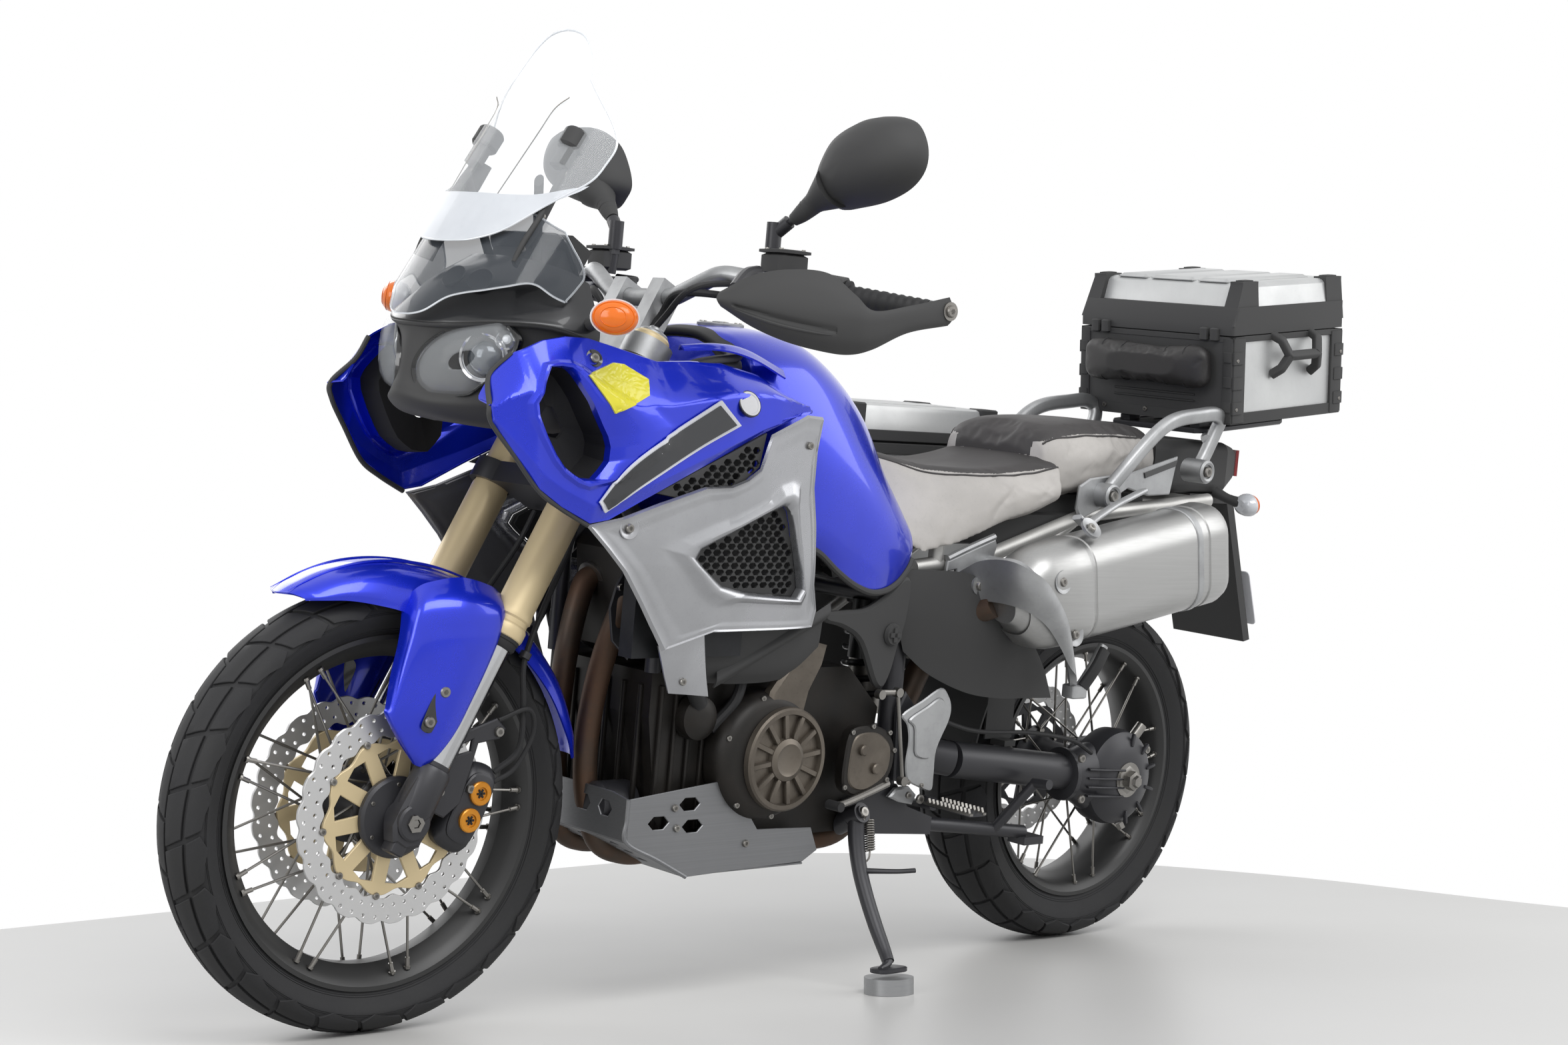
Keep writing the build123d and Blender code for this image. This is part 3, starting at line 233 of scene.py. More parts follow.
def shell(points, thickness, around=False):
    """A sheet with a wall: the surface, its copy moved along the surface's own normals, and the rim."""
    down = np.gradient(points, axis=0)
    if around:
        across = np.roll(points, -1, 1) - np.roll(points, 1, 1)
    else:
        across = np.gradient(points, axis=1)
    inner = points + unit(np.cross(down, across) + 1e-9) * thickness
    if around:
        return closed(np.concatenate([points, inner[::-1]]), True)
    rows, columns = points.shape[:2]
    ring = np.concatenate([points, inner[:, ::-1]], 1)
    flat = grid(ring, True)
    index = np.arange(rows * 2 * columns).reshape(rows, 2 * columns)
    ends = []
    for row in (index[0], index[-1]):
        top, low = row[:columns], row[columns:][::-1]
        ends.append(np.stack([top[:-1], top[1:], low[1:], low[:-1]], -1))
    return Shape(flat.points, np.vstack([flat.quads, ends[0], ends[1][:, ::-1]])).outward()


def angles(count):
    """Angles at even steps round a circle."""
    return np.linspace(0, 2 * np.pi, count, endpoint=False)


def standing(flat, y):
    """Flat points in X and Z, all set at one place sideways."""
    return np.column_stack([flat[:, 0], np.full(len(flat), y), flat[:, 1]])


def circle(radius, count=16):
    """Points round a circle."""
    angle = angles(count)
    return np.stack([np.cos(angle), np.sin(angle)], -1) * radius


def level(flat, height):
    """Flat points with one height for all of them."""
    return np.column_stack([flat, np.full(len(flat), height)])


def rounded(width, height, radius, per_corner=4):
    """The outline of a rectangle with round corners."""
    angle = np.linspace(0, np.pi / 2, per_corner)
    corner = np.stack([np.cos(angle), np.sin(angle)], -1) * radius
    middles = ((1, 1), (-1, 1), (-1, -1), (1, -1))
    outline = []
    for quarter, (right, up) in enumerate(middles):
        spin = quarter * np.pi / 2
        turned = corner @ np.array([[math.cos(spin), math.sin(spin)], [-math.sin(spin), math.cos(spin)]])
        outline.append(turned + (right * (width / 2 - radius), up * (height / 2 - radius)))
    return np.vstack(outline)


def sweep(path, section, scale=None, loop=False):
    """A section carried square to a path. Its first axis is the normal of the plane that fits the path."""
    path = np.asarray(path, float)
    if loop:
        ahead = unit(np.roll(path, -1, 0) - np.roll(path, 1, 0))
    else:
        ahead = unit(np.gradient(path, axis=0))
    flat = np.linalg.svd(ahead)[2][-1]
    side = unit(np.cross(np.cross(ahead, flat), ahead))
    up = np.cross(ahead, side)
    section = np.asarray(section, float)
    if section.ndim == 2:
        section = section[None]
    if scale is not None:
        section = section * np.asarray(scale, float).reshape(-1, 1, 1)
    rings = path[:, None] + section[..., :1] * side[:, None] + section[..., 1:] * up[:, None]
    return closed(rings, loop)


def pipe(points, radius, count=24, sides=12, loop=False):
    """A round tube along a smooth line through the points. The radius may change from ring to ring."""
    path = smooth(points, count, loop)
    scale = radius if np.ndim(radius) == 0 else smooth(radius, count)
    return sweep(path, circle(1.0, sides), scale, loop)


def rod(start, end, radius, sides=12, end_radius=None):
    """A straight round bar, which may taper."""
    path = np.stack([np.asarray(start, float), np.asarray(end, float)])
    return sweep(path, circle(1.0, sides), (radius, end_radius or radius))


def lathe(profile, steps=48, axis="y", loop=False):
    """A profile of (radius, height) turned about an axis; loop joins the profile's ends."""
    profile = np.asarray(profile, float)
    angle = angles(steps)
    radius = np.maximum(profile[:, :1], 0.01)
    height = np.broadcast_to(profile[:, 1:], (len(profile), steps))
    first, second = radius * np.cos(angle), radius * np.sin(angle)
    order = {"x": (height, first, second), "y": (second, height, first), "z": (first, second, height)}
    return closed(np.stack(order[axis], -1), loop)


def read_points(mesh):
    """A mesh's points as rows."""
    points = np.empty(len(mesh.vertices) * 3)
    mesh.vertices.foreach_get("co", points)
    return points.reshape(-1, 3)


def plate(outlines, thickness, bevel=0.6):
    """A flat plate: the space between outlines, given thickness about the XY plane, its edges eased."""
    curve = bpy.data.curves.new("outline", "CURVE")
    curve.dimensions = "2D"
    curve.fill_mode = "BOTH"
    curve.extrude = thickness / 2 - bevel
    curve.bevel_depth = bevel
    curve.bevel_resolution = 0
    curve.offset = -bevel
    for outline in outlines:
        spline = curve.splines.new("POLY")
        spline.points.add(len(outline) - 1)
        flat = np.zeros((len(outline), 4))
        flat[:, :2] = outline
        flat[:, 3] = 1
        spline.points.foreach_set("co", flat.ravel())
        spline.use_cyclic_u = True
    holder = bpy.data.objects.new("outline", curve)
    mesh = bpy.data.meshes.new_from_object(holder)
    work = bmesh.new()
    work.from_mesh(mesh)
    bmesh.ops.remove_doubles(work, verts=work.verts, dist=1e-4)
    bmesh.ops.recalc_face_normals(work, faces=work.faces)
    bmesh.ops.triangulate(work, faces=work.faces)
    work.to_mesh(mesh)
    work.free()
    points = read_points(mesh)
    tris = np.empty(len(mesh.polygons) * 3, int)
    mesh.loops.foreach_get("vertex_index", tris)
    bpy.data.objects.remove(holder)
    bpy.data.curves.remove(curve)
    bpy.data.meshes.remove(mesh)
    return Shape(points, tris=tris).outward()


SIDE_PLATE = placing((0, 0, 0), (1, 0, 0), (0, 0, 1), (0, -1, 0))


def side_plate(outlines, y, thickness, bevel=0.6):
    """A plate that lies along the machine's side: outlines in X and Z, its middle at y."""
    return plate(outlines, thickness, bevel).at(SIDE_PLATE).shift(y=y)


def block(low, high, ease=2.0):
    """A box between two corners with its edges eased."""
    low, high = np.asarray(low, float), np.asarray(high, float)
    size = high - low
    ease = min(ease, 0.45 * size.min())
    outline = rounded(size[0], size[1], ease, 3)
    drawn_in = 1 - ease / size.min()
    rings = [(drawn_in, 0.0), (1.0, ease / 2), (1.0, size[2] - ease / 2), (drawn_in, size[2])]
    body = [level(outline * k, z) for k, z in rings]
    return closed(body).shift((low[0] + high[0]) / 2, (low[1] + high[1]) / 2, low[2])


def facing(origin, direction, up=(0, 0, 1)):
    """The matrix whose local Z looks along a direction."""
    z_axis = unit(direction)
    x_axis = np.cross(up, z_axis)
    if np.linalg.norm(x_axis) < 1e-6:
        x_axis = np.cross((0, 1, 0), z_axis)
    x_axis = unit(x_axis)
    return placing(origin, x_axis, np.cross(z_axis, x_axis), z_axis)


def bolt(at, direction, radius=5.0):
    """A round-headed bolt with a six-sided socket."""
    head = lathe([(0, -1), (radius, -1), (radius, radius * 0.35), (radius * 0.85, radius * 0.6),
                  (radius * 0.5, radius * 0.62)], 16, "z")
    rim = lathe([(radius * 0.5, radius * 0.62), (radius * 0.46, radius * 0.1), (0, radius * 0.1)], 6, "z")
    return (head + rim).at(facing(at, direction))


def hexagon(x, z, width, height):
    """A six-sided slot's outline: a stretched hexagon with points to both sides."""
    return [(x - width / 2, z), (x - width / 4, z + height / 2), (x + width / 4, z + height / 2),
            (x + width / 2, z), (x + width / 4, z - height / 2), (x - width / 4, z - height / 2)]


# ---- shader graphs -----------------------------------------------------------------------------
class Wire:
    """A shader socket on which sums can be written."""

    def __init__(self, graph, socket):
        self.graph = graph
        self.socket = socket

    def __add__(self, other):
        return self.graph.math("ADD", self, other)

    def __radd__(self, other):
        return self.graph.math("ADD", other, self)

    def __sub__(self, other):
        return self.graph.math("SUBTRACT", self, other)

    def __rsub__(self, other):
        return self.graph.math("SUBTRACT", other, self)

    def __mul__(self, other):
        return self.graph.math("MULTIPLY", self, other)

    def __rmul__(self, other):
        return self.graph.math("MULTIPLY", other, self)

    def __truediv__(self, other):
        return self.graph.math("DIVIDE", self, other)

    def __pow__(self, other):
        return self.graph.math("POWER", self, other)


class Graph:
    """A material's nodes, made by short calls."""

    def __init__(self, name):
        self.material = bpy.data.materials.new(name)
        self.material.use_nodes = True
        self.tree = self.material.node_tree
        self.tree.nodes.clear()
        self.output = self.tree.nodes.new("ShaderNodeOutputMaterial")
        self.place = self.node("ShaderNodeTexCoord").outputs["Object"]

    def node(self, kind, settings=None, **inputs):
        """One node: its settings first, then values or links for its named sockets."""
        made = self.tree.nodes.new(kind)
        for key, value in (settings or {}).items():
            setattr(made, key, value)
        for key, value in inputs.items():
            socket = made.inputs[int(key[1:])] if key[0] == "i" and key[1:].isdigit() else \
                made.inputs[key.replace("_", " ")]
            self.feed(socket, value)
        return made

    def feed(self, socket, value):
        """A link or a value into a socket."""
        if isinstance(value, Wire):
            self.tree.links.new(value.socket, socket)
        elif isinstance(value, bpy.types.NodeSocket):
            self.tree.links.new(value, socket)
        else:
            socket.default_value = value

    def math(self, operation, first, second=0.0):
        """One operation on two numbers."""
        made = self.node("ShaderNodeMath", {"operation": operation}, i0=first, i1=second)
        return Wire(self, made.outputs[0])

    def noise(self, scale, detail=3.0, stretch=None, rough=0.5):
        """Soft noise from 0 to 1 in object space; stretch scales it along the axes."""
        place = self.place
        if stretch is not None:
            place = self.node("ShaderNodeMapping", Vector=self.place, Scale=stretch).outputs[0]
        made = self.node("ShaderNodeTexNoise", Vector=place, Scale=scale, Detail=detail, Roughness=rough)
        return Wire(self, made.outputs["Fac"])

    def step(self, value, low, high):
        """0 below low, 1 above high and a soft rise between them."""
        made = self.node("ShaderNodeMapRange", {"interpolation_type": "SMOOTHSTEP"}, Value=value,
                         From_Min=low, From_Max=high)
        return Wire(self, made.outputs[0])

    def mix(self, factor, first, second):
        """A colour between two colours."""
        made = self.node("ShaderNodeMix", {"data_type": "RGBA"})
        for index, value in ((0, factor), (6, first), (7, second)):
            value = (*value, 1.0) if isinstance(value, tuple) and len(value) == 3 else value
            self.feed(made.inputs[index], value)
        return Wire(self, made.outputs[2])

    def bump(self, height, strength, distance):
        """A normal bent by a height from 0 to 1, where 1 stands for a distance in millimetres."""
        made = self.node("ShaderNodeBump", Height=height, Strength=strength, Distance=distance * MM)
        return Wire(self, made.outputs[0])

    def finish(self, **inputs):
        """The surface shader, wired to the output."""
        shader = self.node("ShaderNodeBsdfPrincipled", **inputs)
        self.tree.links.new(shader.outputs[0], self.output.inputs[0])
        return self.material


def colour(value):
    """A colour written as six hexadecimal digits, made linear."""
    parts = np.array([int(value[k:k + 2], 16) for k in (0, 2, 4)]) / 255
    return tuple(float(c) for c in np.where(parts < 0.04045, parts / 12.92, ((parts + 0.055) / 1.055) **
        2.4))


def length(name):
    """One of the panel's sizes, in millimetres."""
    return getattr(bpy.context.scene.tourer_sizes, name) * 1000


# ---- materials ---------------------------------------------------------------------------------
# name: colour, shade, metallic, roughness low and high, coat, cloud scale, grain scale, grain height
FINISHES = {
    "blue_paint": ("0f2bd0", "0a1fa6", 0.45, 0.22, 0.32, 0.7, 5, 900, 0.02),
    "gold": ("9b8b45", "86773a", 0.92, 0.24, 0.36, 0.1, 9, 700, 0.03),
    "panel_silver": ("a9aaad", "9a9b9f", 0.8, 0.24, 0.34, 0.3, 5, 800, 0.015),
    "box_silver": ("c3c4c3", "b5b6b6", 0.55, 0.36, 0.5, 0.0, 7, 600, 0.05),
    "patch_yellow": ("d8cf22", "c9bf1c", 0.0, 0.3, 0.4, 0.6, 6, 500, 0.02),
    "band_dark": ("16181c", "1d2025", 0.0, 0.35, 0.5, 0.4, 8, 500, 0.02),
    "band_white": ("d9dade", "c9cace", 0.0, 0.35, 0.5, 0.4, 8, 500, 0.02),
    "gloss_black": ("0b0c0d", "101113", 0.0, 0.14, 0.26, 0.7, 6, 400, 0.02),
    "black_plastic": ("0e0f10", "141517", 0.0, 0.48, 0.62, 0.0, 12, 420, 0.05),
    "dark_brow": ("17181b", "131417", 0.3, 0.28, 0.38, 0.4, 6, 500, 0.01),
    "black_metal": ("0f1011", "161719", 0.3, 0.4, 0.55, 0.0, 10, 520, 0.09),
    "engine_black": ("181614", "25211d", 0.4, 0.42, 0.6, 0.0, 14, 330, 0.16),
    "engine_grey": ("6a635a", "544e47", 0.7, 0.34, 0.5, 0.0, 12, 380, 0.12),
    "rim_black": ("0e0f10", "16171a", 0.4, 0.26, 0.4, 0.4, 8, 500, 0.04),
    "steel": ("8f8d89", "7c7975", 0.95, 0.26, 0.42, 0.0, 14, 500, 0.05),
    "disc_steel": ("57514b", "453f39", 0.1, 0.6, 0.72, 0.0, 18, 650, 0.05),
    "chrome": ("c2c3c5", "b3b4b6", 1.0, 0.08, 0.16, 0.0, 6, 300, 0.01),
    "cast_silver": ("a8a9aa", "959697", 0.8, 0.38, 0.52, 0.0, 16, 260, 0.14),
    "frame_silver": ("b9b8b5", "a9a8a5", 0.55, 0.36, 0.48, 0.2, 9, 420, 0.06),
    "tyre_rubber": ("171718", "222224", 0.0, 0.66, 0.84, 0.0, 9, 260, 0.22),
    "rubber": ("141415", "1d1d1f", 0.0, 0.6, 0.78, 0.0, 14, 340, 0.16),
    "radiator": ("1d1e20", "2c2d30", 0.5, 0.45, 0.6, 0.0, 10, 500, 0.1),
    "headers": ("463c34", "5b4333", 0.6, 0.45, 0.6, 0.0, 11, 300, 0.08),
    "side_vinyl": ("b4b0ab", "a6a29d", 0.0, 0.5, 0.64, 0.0, 8, 520, 0.12),
    "seat_vinyl": ("2d2b2b", "363333", 0.0, 0.52, 0.68, 0.0, 9, 480, 0.2),
    "pad_leather": ("1c1b1b", "262424", 0.0, 0.42, 0.6, 0.0, 12, 420, 0.26),
    "spring_black": ("101112", "1a1b1c", 0.3, 0.34, 0.48, 0.2, 9, 400, 0.05),
    # painted shade: near-black laid where only shade falls, in sockets, intake ducts, behind grilles, round
    # the projectors and inside the exhaust outlet
    "inner_dark": ("0a0a0b", "0e0e10", 0.0, 0.7, 0.85, 0.0, 9, 300, 0.1),
    "lamp_white": ("d8dadd", "c8cbcf", 0.1, 0.12, 0.22, 0.5, 8, 200, 0.02),
    "frosted": ("c9ccd0", "b9bcc1", 0.0, 0.4, 0.55, 0.1, 9, 400, 0.05),
    # painted highlight: a bright white for edges and a bulb where the light catches
    "edge_bright": ("e6e9ec", "d5d9dd", 0.0, 0.15, 0.25, 0.5, 9, 400, 0.02),
    "cap_gold": ("d68f1e", "bf7a15", 0.55, 0.3, 0.42, 0.3, 9, 400, 0.03),
    "lamp_core": ("4a5056", "33383d", 0.5, 0.08, 0.16, 0.6, 12, 200, 0.02),
    "pale_tag": ("c9c9cb", "bcbcbe", 0.0, 0.4, 0.5, 0.2, 9, 400, 0.03),
}
# the finishes whose colour is one of the panel's
CHOSEN = {"blue_paint": "body_paint", "panel_silver": "side_panel", "gold": "fork_tube", "side_vinyl":
    "seat_side", "patch_yellow": "patch"}
# name: tint, how much it covers, roughness
CLEAR_LAYERS = {
    "clear_screen": ("f2f5f7", 0.14, 0.06),
    "smoke_screen": ("4a4f55", 0.4, 0.05),
    "lamp_glass": ("eef2f5", 0.07, 0.03),
    "amber_lens": ("e8731c", 0.9, 0.12),
    "red_lens": ("a31218", 0.9, 0.12),
}
# name: colour, shade, how the streaks are scaled along the axes, roughness
BRUSHED = {
    "brushed": ("a6a7a8", "8c8d8f", (3, 90, 420), 0.42),
    "muffler_metal": ("b3b3b2", "989897", (4, 260, 320), 0.4),
    "guard_metal": ("8b8c8e", "737476", (4, 120, 400), 0.48),
}


def finish_material(name):
    """A finish from the table: two tones in soft clouds, a worn gloss and a fine grain."""
    tone, shade, metallic, low, high, coat, clouds, grain, height = FINISHES[name]
    tone, shade = colour(tone), colour(shade)
    if name in CHOSEN:
        tone = tuple(getattr(bpy.context.scene.tourer_colours, CHOSEN[name]))
        shade = tuple(part * 0.8 for part in tone)
    graph = Graph(name)
    cloud = graph.step(graph.noise(clouds, 5, rough=0.6), 0.3, 0.7)
    fine = graph.noise(grain, 4, rough=0.7)
    specks = graph.step(graph.noise(grain * 0.35, 2), 0.56, 0.72)
    base = graph.mix(cloud * 0.8 + specks * 0.2, tone, shade)
    rough = cloud * (high - low) * 0.6 + fine * (high - low) * 0.4 + low
    return graph.finish(Base_Color=base, Roughness=rough, Metallic=metallic, Coat_Weight=coat,
                        Coat_Roughness=0.06, Normal=graph.bump(fine, 0.5, height))


def brushed_material(name):
    """Brushed metal: long streaks along one axis in its colour, its gloss and its relief."""
    tone, shade, stretch, high = BRUSHED[name]
    graph = Graph(name)
    streaks = graph.noise(1.0, 5, stretch, 0.7)
    clouds = graph.noise(7.0, 4)
    base = graph.mix(streaks * 0.6 + clouds * 0.4, colour(tone), colour(shade))
    rough = streaks * 0.16 + clouds * 0.08 + high - 0.14
    return graph.finish(Base_Color=base, Roughness=rough, Metallic=0.9,
                        Normal=graph.bump(streaks, 0.35, 0.05))


def clear_material(name):
    """A clear or tinted sheet: a see-through layer under a glossy one, with faint smears."""
    tone, cover, rough = CLEAR_LAYERS[name]
    graph = Graph(name)
    smears = graph.noise(14.0, 5, rough=0.6)
    shade = graph.mix(smears, colour(tone), tuple(c * 0.92 for c in colour(tone)))
    material = graph.finish(Base_Color=shade, Roughness=smears * 0.06 + rough, Alpha=smears * 0.05 + cover,
                            IOR=1.49)
    material.surface_render_method = "BLENDED"
    return material


def ink(name):
    """The material of this name, made the first time that it is asked for."""
    found = bpy.data.materials.get(name)
    if found is None:
        if name in BRUSHED:
            found = brushed_material(name)
        else:
            found = clear_material(name) if name in CLEAR_LAYERS else finish_material(name)
    return found


# ---- pieces ------------------------------------------------------------------------------------
def both_sides(parts):
    """Parts with their mirror images on the machine's other side."""
    return parts + [(shape.mirror(), paint) for shape, paint in parts]


def piece(name, parts, place, body, replaces=(), angle=32.0):
    """One mesh from shapes and their materials, set in the machine and riding on a body."""
    inks = list(dict.fromkeys(paint for _, paint in parts))
    points = carry(np.vstack([shape.points for shape, _ in parts]), place)
    sizes, corners, paints = [], [], []
    shift = 0
    for shape, paint in parts:
        for faces, side in ((shape.quads, 4), (shape.tris, 3)):
            corners.append((faces + shift).ravel())
            sizes.append(np.full(len(faces), side))
            paints.append(np.full(len(faces), inks.index(paint)))
        shift += len(shape.points)
    sizes, corners, paints = (np.concatenate(part) for part in (sizes, corners, paints))
    mesh = bpy.data.meshes.new(name)
    mesh.vertices.add(len(points))
    mesh.vertices.foreach_set("co", points.ravel())
    mesh.loops.add(len(corners))
    mesh.loops.foreach_set("vertex_index", corners)
    mesh.polygons.add(len(sizes))
    mesh.polygons.foreach_set("loop_start", np.cumsum(sizes) - sizes)
    mesh.polygons.foreach_set("material_index", paints)
    mesh.update(calc_edges=True)
    mesh.validate()
    mesh.shade_smooth()
    mesh.set_sharp_from_angle(angle=math.radians(angle))
    for paint in inks:
        mesh.materials.append(ink(paint))
    made = bpy.data.objects.new(name, mesh)
    bpy.context.scene.collection.objects.link(made)
    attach(made, body)
    for node in replaces:
        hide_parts(node)
    return made


# ---- wheels ------------------------------------------------------------------------------------
def tyre_line(radius, half, rim_radius, rim_half):
    """The tyre's section from bead to bead: (radius, sideways) through a bulged wall and a round crown."""
    tall = radius - rim_radius
    side = [(rim_radius, rim_half), (rim_radius + 0.16 * tall, rim_half + 5),
        (rim_radius + 0.45 * tall, half - 1), (rim_radius + 0.62 * tall, half),
        (rim_radius + 0.8 * tall, half * 0.86), (rim_radius + 0.93 * tall, half * 0.52)]
    crown = [(radius - 0.4, half * 0.2)]
    half_line = np.array(side + crown)
    other = half_line[::-1] * (1, -1)
    return smooth(np.vstack([half_line, other]), 81)


def tread_blocks(line, outlines, pitches, depth):
    """Raised tread blocks: each outline in (pitch, place across the section) becomes a low block with
    sloping walls, its top following the section, and is repeated round the wheel."""
    steps = np.linspace(-1, 1, len(line))
    tangent = unit(np.gradient(line, axis=0))
    outward = np.stack([-tangent[:, 1], tangent[:, 0]], 1)
    outward *= np.sign(outward[len(line) // 2, 0])
    blocks = []
    for outline in outlines:
        corners = np.asarray(outline, float)
        edge = np.concatenate([corners + (np.roll(corners, -1, 0) - corners) * k / 5 for k in range(5)])
        edge = edge.reshape(5, -1, 2).swapaxes(0, 1).reshape(-1, 2)
        middle = edge.mean(0)
        rings = [(1.0, -1.5), (0.985, depth - 0.7), (0.95, depth), (0.6, depth), (0.25, depth)]
        raised = closed([level(middle + (edge - middle) * k, h) for k, h in rings])
        blocks += [raised.shift(x=copy) for copy in range(pitches)]
    flat = total(blocks)
    around = flat.points[:, 0] * 2 * np.pi / pitches
    across = flat.points[:, 1]
    lift = flat.points[:, 2]
    radius, sideways = (np.interp(across, steps, line[:, k]) + np.interp(across, steps, outward[:, k]) * lift
                        for k in (0, 1))
    points = np.stack([radius * np.cos(around), sideways, radius * np.sin(around)], 1)
    return Shape(points, flat.quads, flat.tris).outward()


def tyre(radius, half, rim_radius, rim_half, outlines, pitches, depth):
    """A tyre: a carcass turned from its section, fine rings on its walls and blocks of tread."""
    line = tyre_line(radius - depth, half - depth * 0.4, rim_radius, rim_half)
    inner = smooth([(rim_radius + 2, -rim_half + 4), (radius - 24, -half + 16), (radius - 16, 0),
                    (radius - 24, half - 16), (rim_radius + 2, rim_half - 4)], 17)
    carcass = lathe(np.vstack([line, inner]), 144, loop=True)
    tall = radius - rim_radius
    rings = []
    for share in (0.13, 0.17, 0.5, 0.53):
        place = np.interp(rim_radius + share * tall, line[:30, 0], line[:30, 1])
        ring = [(rim_radius + share * tall + dr, place + dy) for dr, dy in ((-0.9, -1), (0, 0.9), (0.9, -1))]
        rings.append(lathe(ring, 144, loop=True))
    return carcass + total(rings).both() + tread_blocks(line, outlines, pitches, depth)


def mirrored(outlines, shift=0.5):
    """Tread outlines with their mirror images, moved half a pitch along."""
    return list(outlines) + [[(s + shift, -t) for s, t in outline[::-1]] for outline in outlines]


FRONT_TREAD = mirrored([
    [(0.02, 0.012), (0.94, 0.012), (1.12, 0.29), (0.2, 0.27)],
    [(0.23, 0.31), (1.15, 0.33), (1.3, 0.5), (1.02, 0.64), (0.7, 0.56), (0.4, 0.52)],
])
REAR_TREAD = mirrored([
    [(0.02, 0.012), (0.94, 0.012), (1.14, 0.27), (0.22, 0.25)],
    [(0.25, 0.29), (1.17, 0.31), (1.34, 0.48), (1.04, 0.6), (0.72, 0.54), (0.42, 0.5)],
])


def rim(rim_radius, half, depth):
    """A spoked rim: turned lips, a hollow well and a ridge for the spokes' nipples."""
    outer = rim_radius
    profile = [(outer + 9, half + 4), (outer + 9, half + 1), (outer + 1, half - 5), (outer - 4, half - 12),
        (outer - depth + 9, 8), (outer - depth + 9, -8), (outer - 4, 12 - half), (outer + 1, 5 - half),
        (outer + 9, -half - 1), (outer + 9, -half - 4), (outer + 2, -half - 4), (outer - 5, -half + 1),
        (outer - 12, -half + 9), (outer - depth, -12), (outer - depth - 1, 0), (outer - depth, 12),
        (outer - 12, half - 9), (outer - 5, half - 1), (outer + 2, half + 4)]
    return lathe(profile, 144, loop=True)


def spokes(count, hub_radius, hub_half, rim_radius, rim_half, lean, radius=2.1):
    """Crossed spokes and their nipples, laced in pairs that lean both ways from each hub flange."""
    steel, nipples = [], []
    for side in (1, -1):
        for spoke in range(count):
            way = 1 if spoke % 2 else -1
            angle = 2 * math.pi * (spoke + (0.5 if side < 0 else 0)) / count
            foot = angle + way * lean * 0.35
            head = angle - way * lean * 0.65
            start = np.array([hub_radius * math.cos(foot), side * hub_half, hub_radius * math.sin(foot)])
            end = np.array([rim_radius * math.cos(head), side * rim_half, rim_radius * math.sin(head)])
            ahead = unit(end - start)
            steel.append(rod(start, end, radius, 8))
            steel.append(rod(start - (0, side * 5, 0), start + (0, side * 5, 0), radius * 1.7, 8))
            nipples.append(rod(end - ahead * 13, end + ahead * 2, 3.6, 8))
            nipples.append(rod(end + ahead * 1, end + ahead * 4.5, 5.6, 10, 4.6))
    return total(steel), total(nipples)


def hub(half, flange, core, axle):
    """A hub: two ribbed flanges, a waisted barrel and a bored axle."""
    profile = [(axle, half + 14), (axle + 12, half + 14), (axle + 14, half + 8), (core, half + 6),
        (flange - 4, half + 3), (flange, half), (flange, half - 6), (flange - 8, half - 9),
        (core + 4, half - 16), (core - 2, half - 30)]
    return lathe(profile + [(r, -y) for r, y in profile[::-1]], 64, loop=True)


HOLE_SIDES = 8


def wave_disc(outer, inner, waves, depth, rows, thickness):
    """A brake disc: a scalloped rim, a scalloped bore and rows of drilled holes."""
    angle = angles(waves * 12)
    outer_line = outer - depth * (0.5 + 0.5 * np.cos(waves * angle)) ** 2
    inner_line = inner + depth * 0.6 * np.cos(waves * angle)
    outlines = [np.stack([r * np.cos(angle), r * np.sin(angle)], 1) for r in (outer_line, inner_line)]
    for wave in range(waves * 2):
        for share, shift, radius in rows:
            turn_to = 2 * math.pi * (wave + shift) / (waves * 2)
            reach = inner + (outer - inner) * share
            outlines.append(circle(radius, HOLE_SIDES) + (reach * math.cos(turn_to),
                reach * math.sin(turn_to)))
    return plate(outlines, thickness, 0.5).at(turning("x", 90))


# rows of a disc's holes: share of the way out, shift along in half waves, radius
DISC_ROWS = ((0.3, 0.0, 2.8), (0.74, 0.5, 2.8))


def carrier(outer, inner, arms, thickness):
    """A disc's carrier: a ring with an arm to each rivet and a rounded three-cornered hole between."""
    angle = angles(arms * 16)
    edge = outer - 9 * (0.5 - 0.5 * np.cos(arms * angle)) ** 1.4
    outlines = [np.stack([edge * np.cos(angle), edge * np.sin(angle)], 1), circle(inner, 48)]
    hole = [(inner + 9, -0.10), (inner + 9, 0.10), (outer - 19, 0.21), (outer - 15, 0.0),
        (outer - 19, -0.21)]
    for arm in range(arms):
        middle = 2 * math.pi * (arm + 0.5) / arms
        corners = [(r * math.cos(middle + a * 9.5 / arms), r * math.sin(middle + a * 9.5 / arms))
            for r, a in hole]
        outlines.append(corners)
    return plate(outlines, thickness, 0.8).at(turning("x", 90))


def rivets(radius, count, y, side, size=5.5):
    """Round rivet heads on a circle."""
    return total(bolt((radius * math.cos(a), y, radius * math.sin(a)), (0, side, 0), size)
                 for a in angles(count))


# each tyre: radius, half width, radius and half width at its bead
FRONT_TYRE = (329, 55, 258, 36)
REAR_TYRE = (321, 75, 232, 58)
# how often the tread's pattern comes round
FRONT_PITCHES = 26
REAR_PITCHES = 25
# each wheel's spokes: count on a side, radius and half width at the hub and at the rim, lean in radians
FRONT_SPOKES = (18, 50, 44, 240, 34, 0.72)
REAR_SPOKES = (16, 54, 52, 214, 52, 0.72)
# each disc: outer and inner radius, waves, their depth, its holes and its thickness
FRONT_DISC = (158, 118, 22, 5, DISC_ROWS, 5)
REAR_DISC = (142, 104, 20, 5, DISC_ROWS, 5)
REAR_DISC_Y = -78


